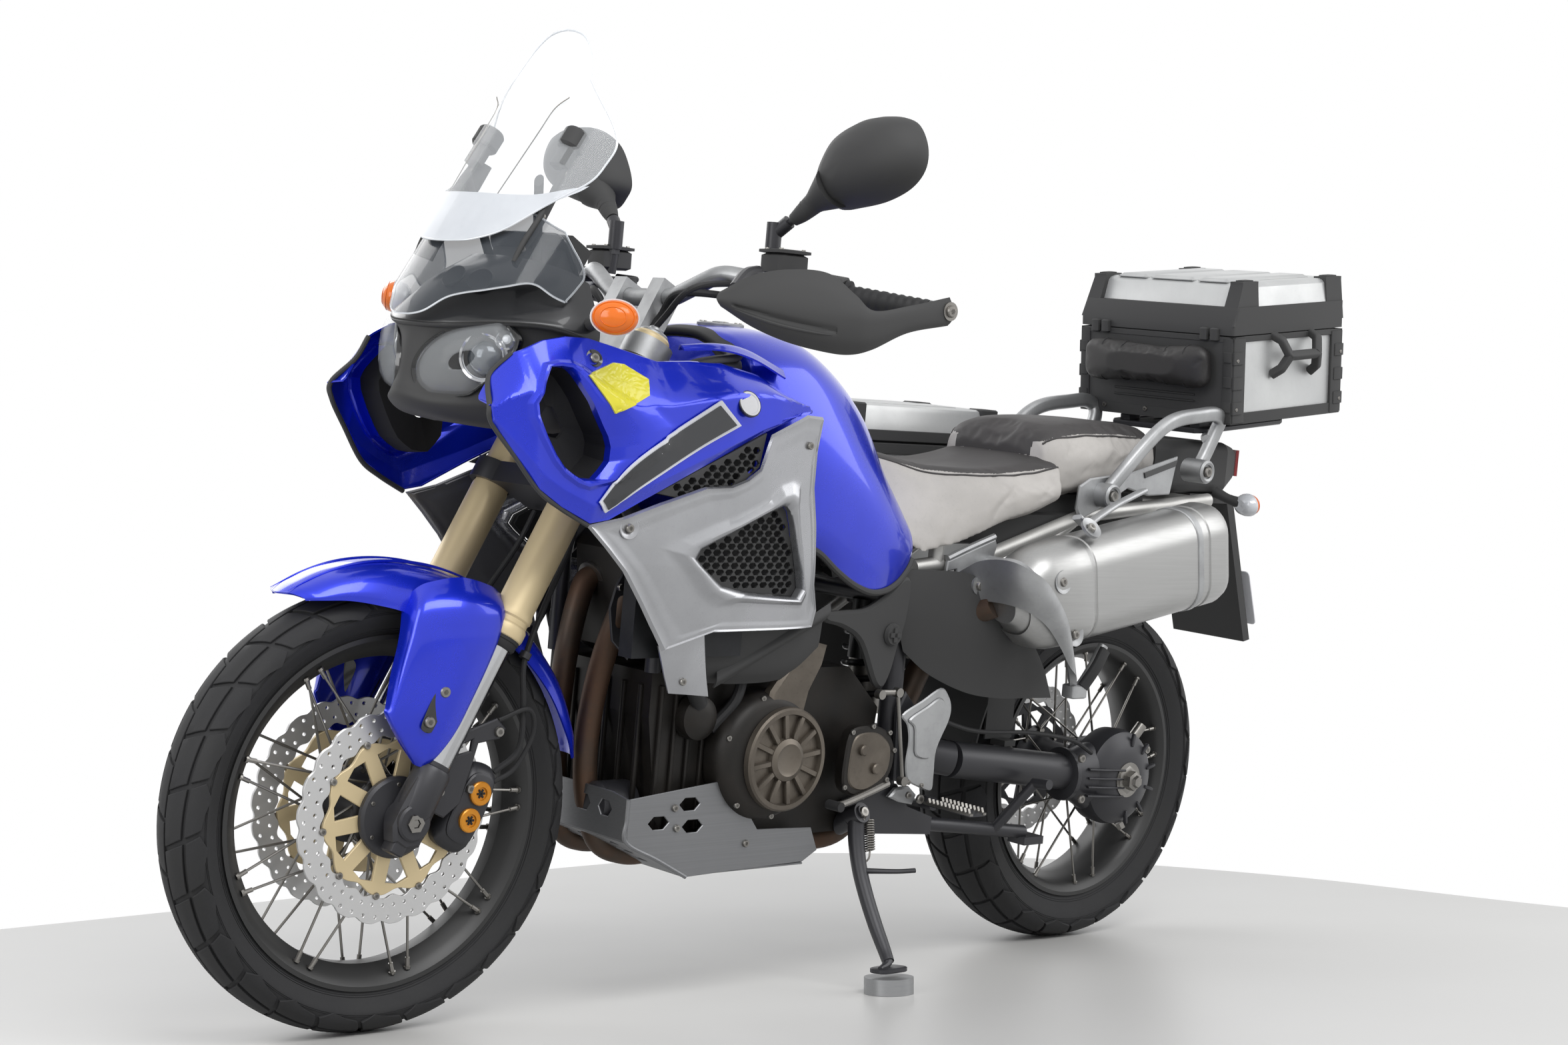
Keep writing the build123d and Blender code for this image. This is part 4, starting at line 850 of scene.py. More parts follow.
def front_wheel():
    """The front wheel's tyre, rim, spokes, hub and two discs."""
    piece("front_tyre_rubber", [(tyre(*FRONT_TYRE, FRONT_TREAD, FRONT_PITCHES, length("front_tread")),
        "tyre_rubber")], FORK, "front_wheel", ["front_tyre"])
    steel, nipples = spokes(*FRONT_SPOKES)
    cover = lathe([(13, 84), (22, 84), (30, 81), (56, 79), (60, 75), (60, 68), (40, 68), (40, 62)], 64)
    cover_bolts = total(bolt((49 * math.cos(a), 79, 49 * math.sin(a)), (0, 1, 0), 3.4) for a in angles(6))
    axle = lathe([(9, -96), (9, 90), (6.5, 90), (6.5, 82)], 6)
    piece("front_rim", [(rim(253, 38, 26), "rim_black"), (steel, "steel"), (nipples, "steel"),
                        (hub(50, 58, 36, 14), "black_metal"), (cover.both(), "black_metal"),
                        (cover_bolts, "steel"), (axle, "steel")],
          FORK, "front_wheel", ["front_wheel"])
    ring = wave_disc(*FRONT_DISC)
    spider = carrier(116, 46, 10, 6)
    left = [(ring.shift(y=FRONT_DISC_Y), "disc_steel"), (spider.shift(y=FRONT_DISC_Y), "gold"),
            (rivets(117, 10, FRONT_DISC_Y + 2.5, 1), "steel")]
    piece("front_brake_rings", both_sides(left), FORK, "front_wheel", ["front_brake_discs"])


def rear_wheel():
    """The rear wheel's tyre, rim, spokes, hub and disc."""
    piece("rear_tyre_rubber", [(tyre(*REAR_TYRE, REAR_TREAD, REAR_PITCHES, length("rear_tread")),
        "tyre_rubber")], REAR_WHEEL, "rear_wheel", ["rear_tyre"])
    steel, nipples = spokes(*REAR_SPOKES)
    piece("rear_rim", [(rim(227, 60, 26), "rim_black"), (steel, "steel"), (nipples, "steel"),
                       (hub(62, 62, 40, 16), "black_metal")],
          REAR_WHEEL, "rear_wheel", ["rear_wheel"])
    ring = wave_disc(*REAR_DISC).shift(y=REAR_DISC_Y)
    spider = carrier(103, 40, 9, 6).shift(y=REAR_DISC_Y)
    piece("rear_brake_ring", [(ring, "disc_steel"), (spider, "black_metal"), (rivets(103, 9,
        REAR_DISC_Y - 3, -1), "steel")], REAR_WHEEL, "rear_wheel", ["rear_brake_disc"])


# ---- fork and front fender ---------------------------------------------------------------------
def on_legs(shape):
    """The shape on both of the fork's legs."""
    return (shape + shape.shift(y=-2 * LEG_Y)).shift(y=LEG_Y)


def fork():
    """The gold fork tubes with their rings and seals, the bright sliders and the black axle feet."""
    tube = lathe([(22, 298), (27, 299), (30.5, 302), (31.5, 306), (31.5, 318), (30, 321), (28.6, 323),
        (28.6, 330), (31, 333), (31, 341), (29, 345), (29, 530), (27.5, 534), (27.5, 768), (29, 772),
        (29, 812), (26, 816), (22, 816)], 48, "z", True)
    seal = lathe([(22, 284), (25, 284), (27.5, 288), (27.5, 295), (29, 296), (29, 301), (22, 301)], 40, "z",
        True)
    cap = lathe([(0, 810), (24, 810), (24, 819), (21, 822), (12, 822), (12, 828), (10, 830), (0, 830)], 24,
        "z")
    slider = lathe([(15, 40), (21.5, 40), (21.5, 300), (15, 300)], 40, "z", True)
    foot = lathe([(0, 6), (25, 10), (28, 18), (28, 78), (25.5, 84), (22, 86), (22, 92), (20, 92)], 36, "z")
    bore = lathe([(9, -23), (24, -23), (27, -20), (27, 19), (24, 22), (9, 22)], 36, loop=True)
    web = side_plate([[(-30, -26), (-8, -40), (14, -38), (27, -18), (28, 10), (26, 60), (-24, 60),
        (-28, 20)]], 0, 34, 5)
    pinch = block((-12, -15, -52), (12, 15, -30), 4) + bolt((0, -16, -40), (0, -1, 0), 4)
    axle_end = lathe([(7, 22), (14, 22), (14, 25), (7, 25)], 6, loop=True) + lathe([(6, 20), (6, 23)], 6)
    lower = total([foot, bore, web, pinch]).shift(y=LEG_Y)
    piece("fork_tubes", [(on_legs(tube), "gold"),
                         (on_legs(seal), "rubber"),
                         (on_legs(cap), "cast_silver")],
          FORK, "steering", ["fork_outer_tubes"])
    piece("fork_sliders", [(on_legs(slider), "chrome"),
                           (lower.both(), "black_metal"), (axle_end.shift(y=LEG_Y).both(), "steel")],
          FORK, "steering", ["fork_lowers"])


def fork_clamps():
    """Detail on the two clamps: pinch bolts and the steering nut."""
    parts = []
    for height in (546, 560, 788):
        for side in (1, -1):
            parts.append(bolt((12, side * 74, height), (1, side * 0.2, 0), 5))
    nut = lathe([(0, 804), (17, 804), (17, 812), (12, 815), (0, 815)], 6, "z").shift(x=-43.3)
    piece("clamp_bolts", [(total(parts) + nut, "steel")], FORK, "steering")


def brakes():
    """The two front calipers with their bright caps, brackets, bolts and hoses."""
    rows = ((-34, 46), (-28, 56), (-10, 64), (14, 66), (24, 60), (30, 50))
    outline = np.array([(-26, -58), (12, -62), (27, -44), (30, 0), (27, 44), (10, 60), (-20, 58), (-30, 20),
        (-31, -20)])
    line = smooth(outline, 40, True)
    body = closed([standing(line * w / 60, y) for y, w in rows]).shift(-92, 68, 64)
    lid = closed([standing(line * k, y) for k, y in ((0.86, 96), (0.86, 100), (0.8, 102))]).shift(-92, 0, 64)
    caps, sockets = [], []
    for z, x in ((88, -94), (46, -98)):
        caps.append(lathe([(0, 101), (18, 101), (18, 106), (16.5, 107.5), (10, 107.5), (9, 105), (0, 105)],
            36).shift(x=x, z=z))
        # painted shade: the slots of each cap's socket are near-black
        sockets.append(total(block((-1.6, 104.6, -7), (1.6, 106.4, 7), 0.5).turn("y", a)
            for a in (0, 60, 120)).shift(x=x, z=z))
    arm = side_plate([[(-20, 28), (20, 36), (24, 88), (-18, 150), (-62, 196), (-84, 190), (-82, 172),
        (-52, 150), (-58, 122), (-70, 60), (-56, 30)], [(-40, 150), (-24, 132), (-30, 120), (-46, 134)]], 99,
        9, 2)
    screws = total(bolt(at, (0, 1, 0), r) for at, r in (((-74, 103, 86), 7), ((-74, 103, 180), 8),
        ((-30, 103, 60), 6), ((-6, 103, 78), 5)))
    hose = pipe([(-112, 84, 128), (-128, 92, 176), (-96, 96, 236), (-66, 92, 292), (-62, 80, 380),
        (-66, 66, 470), (-60, 56, 530)], 4.6, 60, 10)
    loop = pipe([(-70, 96, 196), (-104, 104, 232), (-136, 96, 206), (-140, 88, 150), (-120, 84, 116)], 3.8,
        40, 10)
    guide = lathe([(4.6, -5), (9, -5), (9, 5), (4.6, 5)], 16, "z", True).shift(-64, 90, 300)
    parts = [(body + lid + arm + guide, "black_metal"), (total(caps), "cap_gold"),
        (total(sockets), "inner_dark"), (screws, "steel"), (hose + loop, "rubber")]
    piece("front_brakes", both_sides(parts), FORK, "steering", ["front_calipers"])


def polar(rows):
    """Control points given as (degrees up from straight ahead, radius, sideways)."""
    rows = np.asarray(rows, float)
    angle = np.radians(rows[..., 0])
    return np.stack([rows[..., 1] * np.cos(angle), rows[..., 2], rows[..., 1] * np.sin(angle)], -1)


def across(half_rows):
    """Rows from the middle to the left edge, completed with their mirror images to the right."""
    half_rows = np.asarray(half_rows, float)
    other = half_rows[:, :0:-1] * (1, -1, 1)
    return np.concatenate([half_rows[:, ::-1], other[:, ::-1]], 1)


FENDER = STEERED @ placing(FRONT_AXLE, (1, 0, 0), (0, 1, 0), (0, 0, 1))


def front_fender():
    """The front fender: a crowned and beaked shell over the tyre, and a creased leg guard each side."""
    half = polar([
        [(61, 366, 0), (61.4, 365, 14), (62.2, 362, 30), (63.4, 353, 44), (63.6, 348, 46)],
        [(66, 368, 0), (66, 367, 17), (66, 361, 40), (66.5, 348, 56), (66.7, 341, 58)],
        [(74, 370, 0), (74, 368, 22), (74, 359, 50), (74, 340, 66), (74, 326, 68)],
        [(84, 369, 0), (84, 366, 25), (84, 356, 56), (84, 328, 74), (84, 306, 77)],
        [(94, 367, 0), (94, 363, 27), (94, 352, 60), (94, 322, 77), (94, 292, 81)],
        [(106, 364, 0), (106, 360, 28), (106, 348, 62), (106, 322, 77), (106, 294, 81)],
        [(124, 360, 0), (124, 356, 28), (124, 345, 60), (124, 328, 73), (124, 306, 78)],
        [(144, 356, 0), (144, 353, 27), (144, 343, 56), (144, 330, 68), (144, 312, 73)],
        [(160, 353, 0), (160, 351, 25), (160, 343, 50), (160, 333, 60), (160, 322, 65)],
        [(168, 352, 0), (168, 351, 20), (168, 345, 38), (168, 339, 48), (168, 334, 52)],
    ])
    crown = shell(smooth_grid(across(half), 90, 49), -3.2)
    ridge = polar([(a, 368.5 - abs(a - 80) * 0.12, 24) for a in np.linspace(62, 118, 8)])
    line = pipe(ridge, (0.4, 2.0, 2.2, 2.0, 0.4), 40, 8)
    guard_rows = np.array([
        [(1398, 90, 655), (1424, 100, 668), (1470, 97, 679), (1512, 88, 672), (1530, 78, 662),
         (1546, 66, 640)],
        [(1404, 116, 634), (1424, 124, 640), (1476, 126, 644), (1532, 111, 640), (1546, 99, 632),
         (1554, 80, 612)],
        [(1412, 120, 604), (1426, 129, 606), (1480, 132, 606), (1543, 116, 602), (1556, 104, 594),
         (1561, 86, 580)],
        [(1430, 121, 560), (1442, 129, 560), (1492, 132, 556), (1556, 116, 552), (1568, 106, 546),
         (1572, 90, 540)],
        [(1456, 120, 506), (1466, 127, 504), (1508, 129, 500), (1564, 114, 500), (1576, 106, 498),
         (1580, 94, 496)],
        [(1478, 118, 464), (1486, 123, 458), (1520, 124, 454), (1560, 112, 464), (1576, 106, 476),
         (1582, 96, 486)],
        [(1500, 114, 432), (1506, 118, 427), (1524, 118, 424), (1546, 110, 434), (1556, 106, 444),
         (1562, 99, 452)],
        [(1518, 108, 412), (1521, 110, 411), (1525, 111, 410), (1530, 108, 411), (1534, 105, 414),
         (1536, 101, 418)],
    ]) - FRONT_AXLE
    guard = shell(smooth_grid(guard_rows, 60, 30), -3.2)
    slot_line = smooth([(1512, 534), (1520, 524), (1541, 476), (1540, 464), (1528, 460), (1520, 468),
        (1498, 514), (1500, 530)], 32, True) - (FRONT_AXLE[0], FRONT_AXLE[2])
    recess = side_plate([slot_line], 128.5, 2.4, 0.8)
    bolts = total(bolt((x - FRONT_AXLE[0], 129, z - FRONT_AXLE[2]), (0.06, 1, 0), 8.5)
                  for x, z in ((1507, 519), (1530, 476)))
    stay = block((-115, 70, 236), (-70, 122, 251), 3)
    piece("front_fender_shell", [(crown + line.both() + guard.both(), "blue_paint"),
                                 (recess.both(), "gloss_black"), (bolts.both(), "steel"),
                                 (stay.both(), "black_metal")],
          FENDER, "steering", ["front_fender"], 38)


# ---- nose, lamps and screens -------------------------------------------------------------------
SCREEN_FRONT = 1500.0
SCREEN_FOOT = 1165.0
SCREEN_RADIUS = 172.0
SCREEN_SLANT = math.radians(32.0)


def screen_points(front_x, sideways, height):
    """Points of a screen: a round wall leaning back, named by their place sideways and their height."""
    reach = np.clip(sideways, 1 - SCREEN_RADIUS, SCREEN_RADIUS - 1)
    bulge = np.sqrt(SCREEN_RADIUS ** 2 - reach ** 2) - SCREEN_RADIUS
    lean = (height - SCREEN_FOOT) * math.tan(SCREEN_SLANT)
    return np.stack([front_x + bulge - lean, sideways, height], -1)


def sheet(front_x, half_widths, bottom, top, rows=50, columns=61):
    """A screen's sheet: its half width up its height, and its lower and upper edges across its width."""
    share = np.linspace(0, 1, rows)[:, None]
    width = smooth(half_widths, rows)[:, None]
    place = np.linspace(-1, 1, columns)[None]
    steps = np.linspace(0, 1, 41)
    low, high = (np.interp(abs(place), steps, smooth(edge, 41)) for edge in (bottom, top))
    return screen_points(front_x, place * width, low + (high - low) * share)


def edge_line(points, radius=1.6):
    """A fine round bead along the edge of a grid of points."""
    loop = np.concatenate([points[0], points[1:, -1], points[-1, -2::-1], points[-2:0:-1, 0]])
    return pipe(loop, radius, 2 * len(loop), 6, True)


def screens():
    """The tall clear screen with its frosted foot, the smoked lower screen, their arms and knobs."""
    tall = sheet(SCREEN_FRONT, (132, 150, 154, 153, 140, 118, 92), (1166, 1167, 1172, 1190, 1236),
                 (1497, 1494, 1485, 1462, 1420))
    foot = sheet(SCREEN_FRONT + 0.8, (132, 141, 148, 152), (1166, 1167, 1172, 1190, 1236),
        (1240, 1240, 1240, 1244, 1262), 14)
    base = sheet(1484, (169, 170, 170, 166, 158, 148), (1056, 1057, 1064, 1084, 1093, 1099, 1107, 1114,
        1092), (1222, 1222, 1220, 1214, 1192))
    # painted highlight: a bright white bead runs along each screen's edge
    piece("tall_screen", [(shell(tall, -length("screen_wall")), "clear_screen"),
        (shell(foot, 0.4), "frosted"), (edge_line(tall), "edge_bright")], UPRIGHT, "chassis",
        ["windscreen"])
    piece("base_screen", [(shell(base, -length("screen_wall")), "smoke_screen"),
        (edge_line(base), "edge_bright")], UPRIGHT, "chassis", ["screen_base"])
    arm = sweep(smooth([(1442, 112, 1140), (1428, 113, 1168), (1402, 112, 1206), (1376, 108, 1250),
        (1352, 104, 1290)], 16), rounded(8, 34, 3), np.interp(np.linspace(0, 1, 16), (0, 0.3, 0.8, 1),
        (0.9, 1, 1.05, 0.9)))
    knob = lathe([(0, -16), (18, -16), (21, -12), (21, 12), (18, 16), (0, 16)], 24, "x").turn("y", 58)
    strap = block((-9, -17, -48), (9, 17, 6), 6).turn("y", -32)
    clamp = (knob + strap).shift(1346, 104, 1326)
    slot_x = SCREEN_FRONT - SCREEN_RADIUS + math.sqrt(SCREEN_RADIUS ** 2 - 66 ** 2)
    slot = pipe([(slot_x - (z - SCREEN_FOOT) * math.tan(SCREEN_SLANT) + 2, y, z)
                 for y, z in ((58, 1230), (66, 1330), (70, 1372), (88, 1390))], 1.0, 30, 6)
    screws = total(bolt(at, (0.8, 0.5, 0.5), 5) for at in ((1436, 120, 1162), (1404, 119, 1212),
        (1366, 112, 1278)))
    piece("screen_arms", [((arm + clamp).both(), "black_plastic"), (slot.both(), "steel"),
                          (screws.both(), "steel")], UPRIGHT, "chassis")


def nose():
    """The nose: a dark satin brow over a recessed mask, with a chin and two side ears."""
    half = [
        [(1398, 0, 1150), (1396, 40, 1150), (1380, 80, 1146), (1352, 120, 1136), (1330, 146, 1120)],
        [(1462, 0, 1116), (1456, 50, 1114), (1428, 100, 1110), (1384, 146, 1104), (1336, 168, 1092)],
        [(1500, 0, 1086), (1490, 56, 1084), (1452, 112, 1082), (1396, 164, 1078), (1338, 186, 1066)],
        [(1526, 0, 1058), (1513, 62, 1058), (1470, 122, 1062), (1408, 172, 1062), (1340, 192, 1048)],
        [(1534, 0, 1044), (1519, 64, 1046), (1476, 126, 1054), (1412, 175, 1054), (1342, 193, 1036)],
        [(1530, 0, 1038), (1512, 62, 1040), (1468, 120, 1048), (1406, 168, 1046), (1342, 188, 1026)],
        [(1534, 0, 1012), (1506, 58, 1016), (1462, 112, 1020), (1402, 160, 1014), (1342, 184, 1000)],
        [(1540, 0, 972), (1508, 54, 970), (1464, 106, 978), (1404, 152, 980), (1344, 178, 974)],
        [(1545, 0, 950), (1520, 54, 942), (1474, 102, 944), (1410, 148, 950), (1346, 172, 950)],
        [(1544, 0, 936), (1522, 54, 930), (1474, 98, 930), (1410, 142, 934), (1348, 166, 932)],
        [(1524, 0, 920), (1500, 50, 914), (1458, 88, 912), (1404, 126, 912), (1350, 148, 910)],
        [(1470, 0, 906), (1450, 40, 904), (1424, 70, 902), (1390, 100, 902), (1352, 120, 902)],
    ]
    skin = smooth_grid(across(half), 96, 73)
    split = 32
    brow = shell(skin[:split + 4], -3)
    mask = shell(skin[split:], -3)
    boss = total(lathe([(12, -2), (15, 0), (15, 5), (12, 7)], 24, "x", True).at(
        facing((1478, side * 60, 924), (0.8, side * 0.5, -0.2)) @ turning("y", -90)) for side in (1, -1))
    disc = lathe([(0, -2), (19, -2), (20, 0), (19, 1.6), (0, 1.8)], 28, "z")
    badge = disc.at(facing((1466, 66, 1114), (0.7, 0.32, 0.62))) + disc.at(facing((1478, 18, 1116),
        (0.76, 0.1, 0.64)))
    piece("nose_skin", [(brow, "dark_brow"), (mask + boss, "black_plastic"), (badge, "dark_brow")],
          UPRIGHT, "chassis", ["front_cowl"], 40)


LAMP_YAW = math.radians(33)
LAMP_OUTLINE = [(-83, -27), (-80, -10), (-68, 9), (-46, 27), (-18, 40), (12, 48), (41, 53), (50, 46),
    (60, 36), (67, 25), (62, 8), (54, -3), (44, -15), (32, -27), (16, -42), (2, -53), (-14, -57), (-30, -58),
    (-48, -59), (-62, -57), (-77, -45)]


def headlamps():
    """The pair of headlamps: a dished bright bowl, a ringed projector, a side bulb and a bulged glass."""
    outline = smooth(LAMP_OUTLINE, 96, True)
    middle = outline.mean(0)

    def ring(scale, depth):
        """One ring of the lamp's outline, drawn in and set to a depth ahead."""
        flat = middle + (outline - middle) * scale
        return level(flat, depth)

    glass = closed([ring(1.0, -4), ring(1.0, 3), ring(0.96, 9), ring(0.84, 17), ring(0.6, 24), ring(0.3, 27),
                    ring(0.26, 25), ring(0.56, 22), ring(0.8, 15), ring(0.9, 7), ring(0.93, -4)], True)
    bezel = closed([ring(1.0, -10), ring(1.09, -10), ring(1.1, -1), ring(1.06, 4), ring(1.0, 2)], True)
    bowl = closed([ring(1.0, 0), ring(0.94, -6), ring(0.75, -22), ring(0.4, -34), ring(0.05, -38),
                   ring(0.05, -44), ring(0.5, -42), ring(1.0, -14)], True)
    fins = total(closed([ring(k, d) for k, d in ((s, e), (s + 0.012, e + 1), (s + 0.024, e))], True)
                 for s, e in ((0.9, -9), (0.8, -17), (0.68, -23), (0.54, -28)))
    tube = lathe([(34, -34), (38, -30), (38, -4), (35, 0), (32, -2), (29, -10), (29, -34)], 48, "z", True)
    bulb = lathe([(0, -24), (27, -24), (27, -12), (24, -5), (16, 2), (8, 5), (0, 6)], 40, "z")
    # painted highlight: a bright white ring on the projector's rim
    ring_edge = lathe([(30, -8), (32.5, -6), (30, -4)], 48, "z", True)
    # painted shade: a near-black ring round the projector inside the bowl
    shade = lathe([(23, -6), (38, -16), (46, -22), (46, -26), (38, -20), (23, -10)], 48, "z", True)
    side = lathe([(9, -20), (15, -6), (16, -2), (13, 0), (12, -4), (7, -18)], 24, "z", True).shift(48, 28, 0)
    # painted highlight: the side bulb is bright white
    side_bulb = lathe([(0, -16), (6, -14), (7, -8), (4, -3), (0, -2)], 16, "z").shift(48, 28, 0)
    mount = placing((1490, 92, 1004), (-math.sin(LAMP_YAW), math.cos(LAMP_YAW), 0), (0, 0, 1),
                    (math.cos(LAMP_YAW), math.sin(LAMP_YAW), 0))
    parts = []
    for shape, paint in ((glass, "lamp_glass"), (bezel, "gloss_black"), (bowl + fins, "chrome"),
                         (tube.shift(16, -1), "chrome"), (bulb.shift(16, -1), "lamp_core"),
                         (ring_edge.shift(16, -1), "edge_bright"), (shade.shift(16, -1), "inner_dark"),
                         (side, "chrome"), (side_bulb, "edge_bright")):
        turned = shape.at(mount)
        parts += [(turned, paint), (turned.mirror(), paint)]
    piece("headlamp_pair", parts, UPRIGHT, "chassis", ["headlamps"])


def signals():
    """The four turn signals: an amber lens bulging from a clear base on a short black stalk."""
    def lamp(at, direction, scale=1.0):
        """One signal's lens, base, rim and stalk."""
        place = facing(at, direction)
        stretch = np.diag([1.35 * scale, scale, scale, 1.0])
        lens = lathe([(0, -14), (20, -14), (24, -8), (25, 0), (23, 8), (17, 15), (8, 19), (0, 20)], 36, "z")
        waves = total(lathe([(r, z), (r + 0.9, z + 1.1), (r + 1.8, z)], 36, "z", True)
            for r, z in ((21, 9.5), (13, 16.4)))
        shell_part = lathe([(0, -24), (13, -24), (21, -18), (26, -6), (26.6, 0), (24, 0), (19, -16),
            (0, -20)], 36, "z")
        return [((lens + waves).at(place @ stretch), "amber_lens"), (shell_part.at(place @ stretch),
            "lamp_white")]

    parts = []
    for side in (1, -1):
        parts += lamp((1378, side * 270, 1077), (0.72, side * 0.66, 0.05))
        parts += lamp((-285, side * 158, 828), (-0.9, side * 0.2, 0.1), 0.82)
        front = pipe([(1352, side * 176, 1062), (1358, side * 210, 1068), (1368, side * 252, 1074)],
            (11, 9, 10), 12, 12)
        rear = pipe([(-262, side * 96, 846), (-268, side * 122, 836), (-276, side * 146, 830)], (11, 9, 11),
            12, 12)
        parts.append((front + rear, "black_plastic"))
    piece("turn_signals", parts, UPRIGHT, "chassis", ["signal_lamps"])


# ---- bars and controls -------------------------------------------------------------------------
def mirrors():
    """The two mirrors: an egg-shaped back narrowing to a ringed collar, a bent stem and the glass."""
    egg = smooth([(262, 1279), (250, 1300), (262, 1333), (290, 1368), (340, 1392), (388, 1398), (432, 1388),
                  (456, 1356), (456, 1322), (430, 1294), (380, 1274), (320, 1264), (284, 1262)], 72, True)
    middle = np.array([352, 1332.0])

    def ring(scale, x):
        """One ring of the mirror's outline, drawn in about its middle."""
        flat = middle + (egg - middle) * scale
        return np.column_stack([np.full(len(flat), x), flat])

    back = closed([ring(0.93, 946), ring(1.0, 948), ring(1.01, 955), ring(0.99, 966), ring(0.93, 982),
                   ring(0.8, 998), ring(0.58, 1010), ring(0.3, 1015), ring(0.08, 1016)])
    glass = closed([ring(0.9, 947), ring(0.92, 945), ring(0.88, 944), ring(0.3, 943)])
    collar = sweep(smooth([(986, 296, 1290), (990, 268, 1272), (996, 243, 1252), (1000, 228, 1241)], 20),
                   circle(1.0, 20), np.interp(np.linspace(0, 1, 20), (0, 0.4, 1), (34, 17, 10)))
    rings = total(lathe([(r, -2), (r + 2, 0), (r, 2)], 20, "z", True).at(facing(at, (-0.2, 0.75, 0.6)))
                  for at, r in (((993, 258, 1264), 14), ((995, 250, 1258), 13), ((996, 243, 1252), 12)))
    stem = pipe([(1000, 230, 1243), (1004, 216, 1232), (1008, 208, 1226)], 6, 12, 12)
    post = total(rod(*sizes) for sizes in (
        ((1003, 222, 1238), (1010, 200, 1220), 11, 16), ((1012, 199, 1236), (1013, 199, 1190), 12, 16),
        ((1013, 199, 1196), (1016, 202, 1150), 8.5, 14), ((1014, 200, 1190), (1014, 200, 1182), 10.5, 6)))
    parts = [(back + collar + rings, "black_plastic"), (glass, "chrome"), (stem + post, "black_metal")]
    piece("mirror_pair", both_sides(parts), STEERED, "steering", ["mirrors"])


def bars():
    """Grips, bar ends, levers, switch blocks, the fluid reservoir and the cables at the bars."""
    end = np.array([915.0, 450.0, 1115.0])
    bend = np.array([1079.0, 160.0, 1153.0])
    along = unit(end - bend)

    def on_bar(back, forward=0.0, rise=0.0):
        """A point that lies back along the bar from its end."""
        ahead = unit(np.cross(along, (0, 0, -1)))
        return end - along * back + ahead * forward + np.array([0, 0, rise])

    grip_line = [on_bar(s) for s in np.linspace(2, 126, 40)]
    waves = 17.2 + 0.7 * np.sign(np.sin(np.arange(40) * 1.5))
    grip = sweep(grip_line, circle(1.0, 24), waves)
    flange = rod(on_bar(126), on_bar(131), 24, 24)
    cap = lathe([(0, -4), (15, -4), (17, 0), (17, 14), (13, 20), (0, 20)], 24, "z").at(facing(end, along))
    switch = sweep([on_bar(s) for s in (134, 136, 172, 174)], rounded(46, 52, 12), (0.92, 1, 1, 0.92))
    buttons = total(bolt(on_bar(s, -18, z), -unit(np.cross(along, (0, 0, -1))), 4.5) for s, z in
                    ((144, 16), (158, 14), (150, -12)))
    clamp = sweep([on_bar(s) for s in (196, 216)], rounded(40, 40, 12))
    perch = pipe([on_bar(206, 10), on_bar(206, 34), on_bar(200, 52, -4)], (13, 12, 10), 16, 12)
    lever = pipe([on_bar(206, 52, -6), on_bar(160, 66, -8), on_bar(90, 64, -10), on_bar(40, 56, -10)],
                 (8, 7, 6, 6.5), 40, 10) + lathe([(0, -8), (6, -6), (8, 0), (6, 6), (0, 8)], 16, "z").shift(
                     *on_bar(36, 56, -10))
    tank_at = on_bar(246, 34, 30)
    reservoir = block(tank_at - (30, 24, 16), tank_at + (30, 24, 16), 7) + \
        block(tank_at + (-32, -26, 15), tank_at + (32, 26, 23), 4)
    bolts = total(bolt(tank_at + (x, y, 22), (0, 0, 1), 3.6) for x in (-22, 22) for y in (-17, 17))
    cable = pipe([on_bar(230, 50, 6), on_bar(262, 74, -2), (1130, 176, 1130), (1150, 120, 1080),
        (1170, 72, 1010), (1190, 48, 950)], 5, 60, 10)
    wire = pipe([on_bar(160, 24, -22), on_bar(220, 26, -30), (1110, 120, 1120), (1120, 70, 1080),
        (1160, 46, 1000)], 6, 60, 10)
    gaiter = total(lathe([(5, 0), (8.5, 4), (5, 8)], 14, "z", True).at(facing(on_bar(262 + k * 7,
        72 - k, -4 - k * 2), along)) for k in range(6))
    parts = [(grip + flange + gaiter, "rubber"), (cap + clamp + perch + lever, "black_metal"),
             (switch + reservoir, "black_plastic"), (buttons + bolts, "steel"), (cable + wire, "rubber")]
    piece("bar_fittings", both_sides(parts), STEERED, "steering", ["bar_controls"])


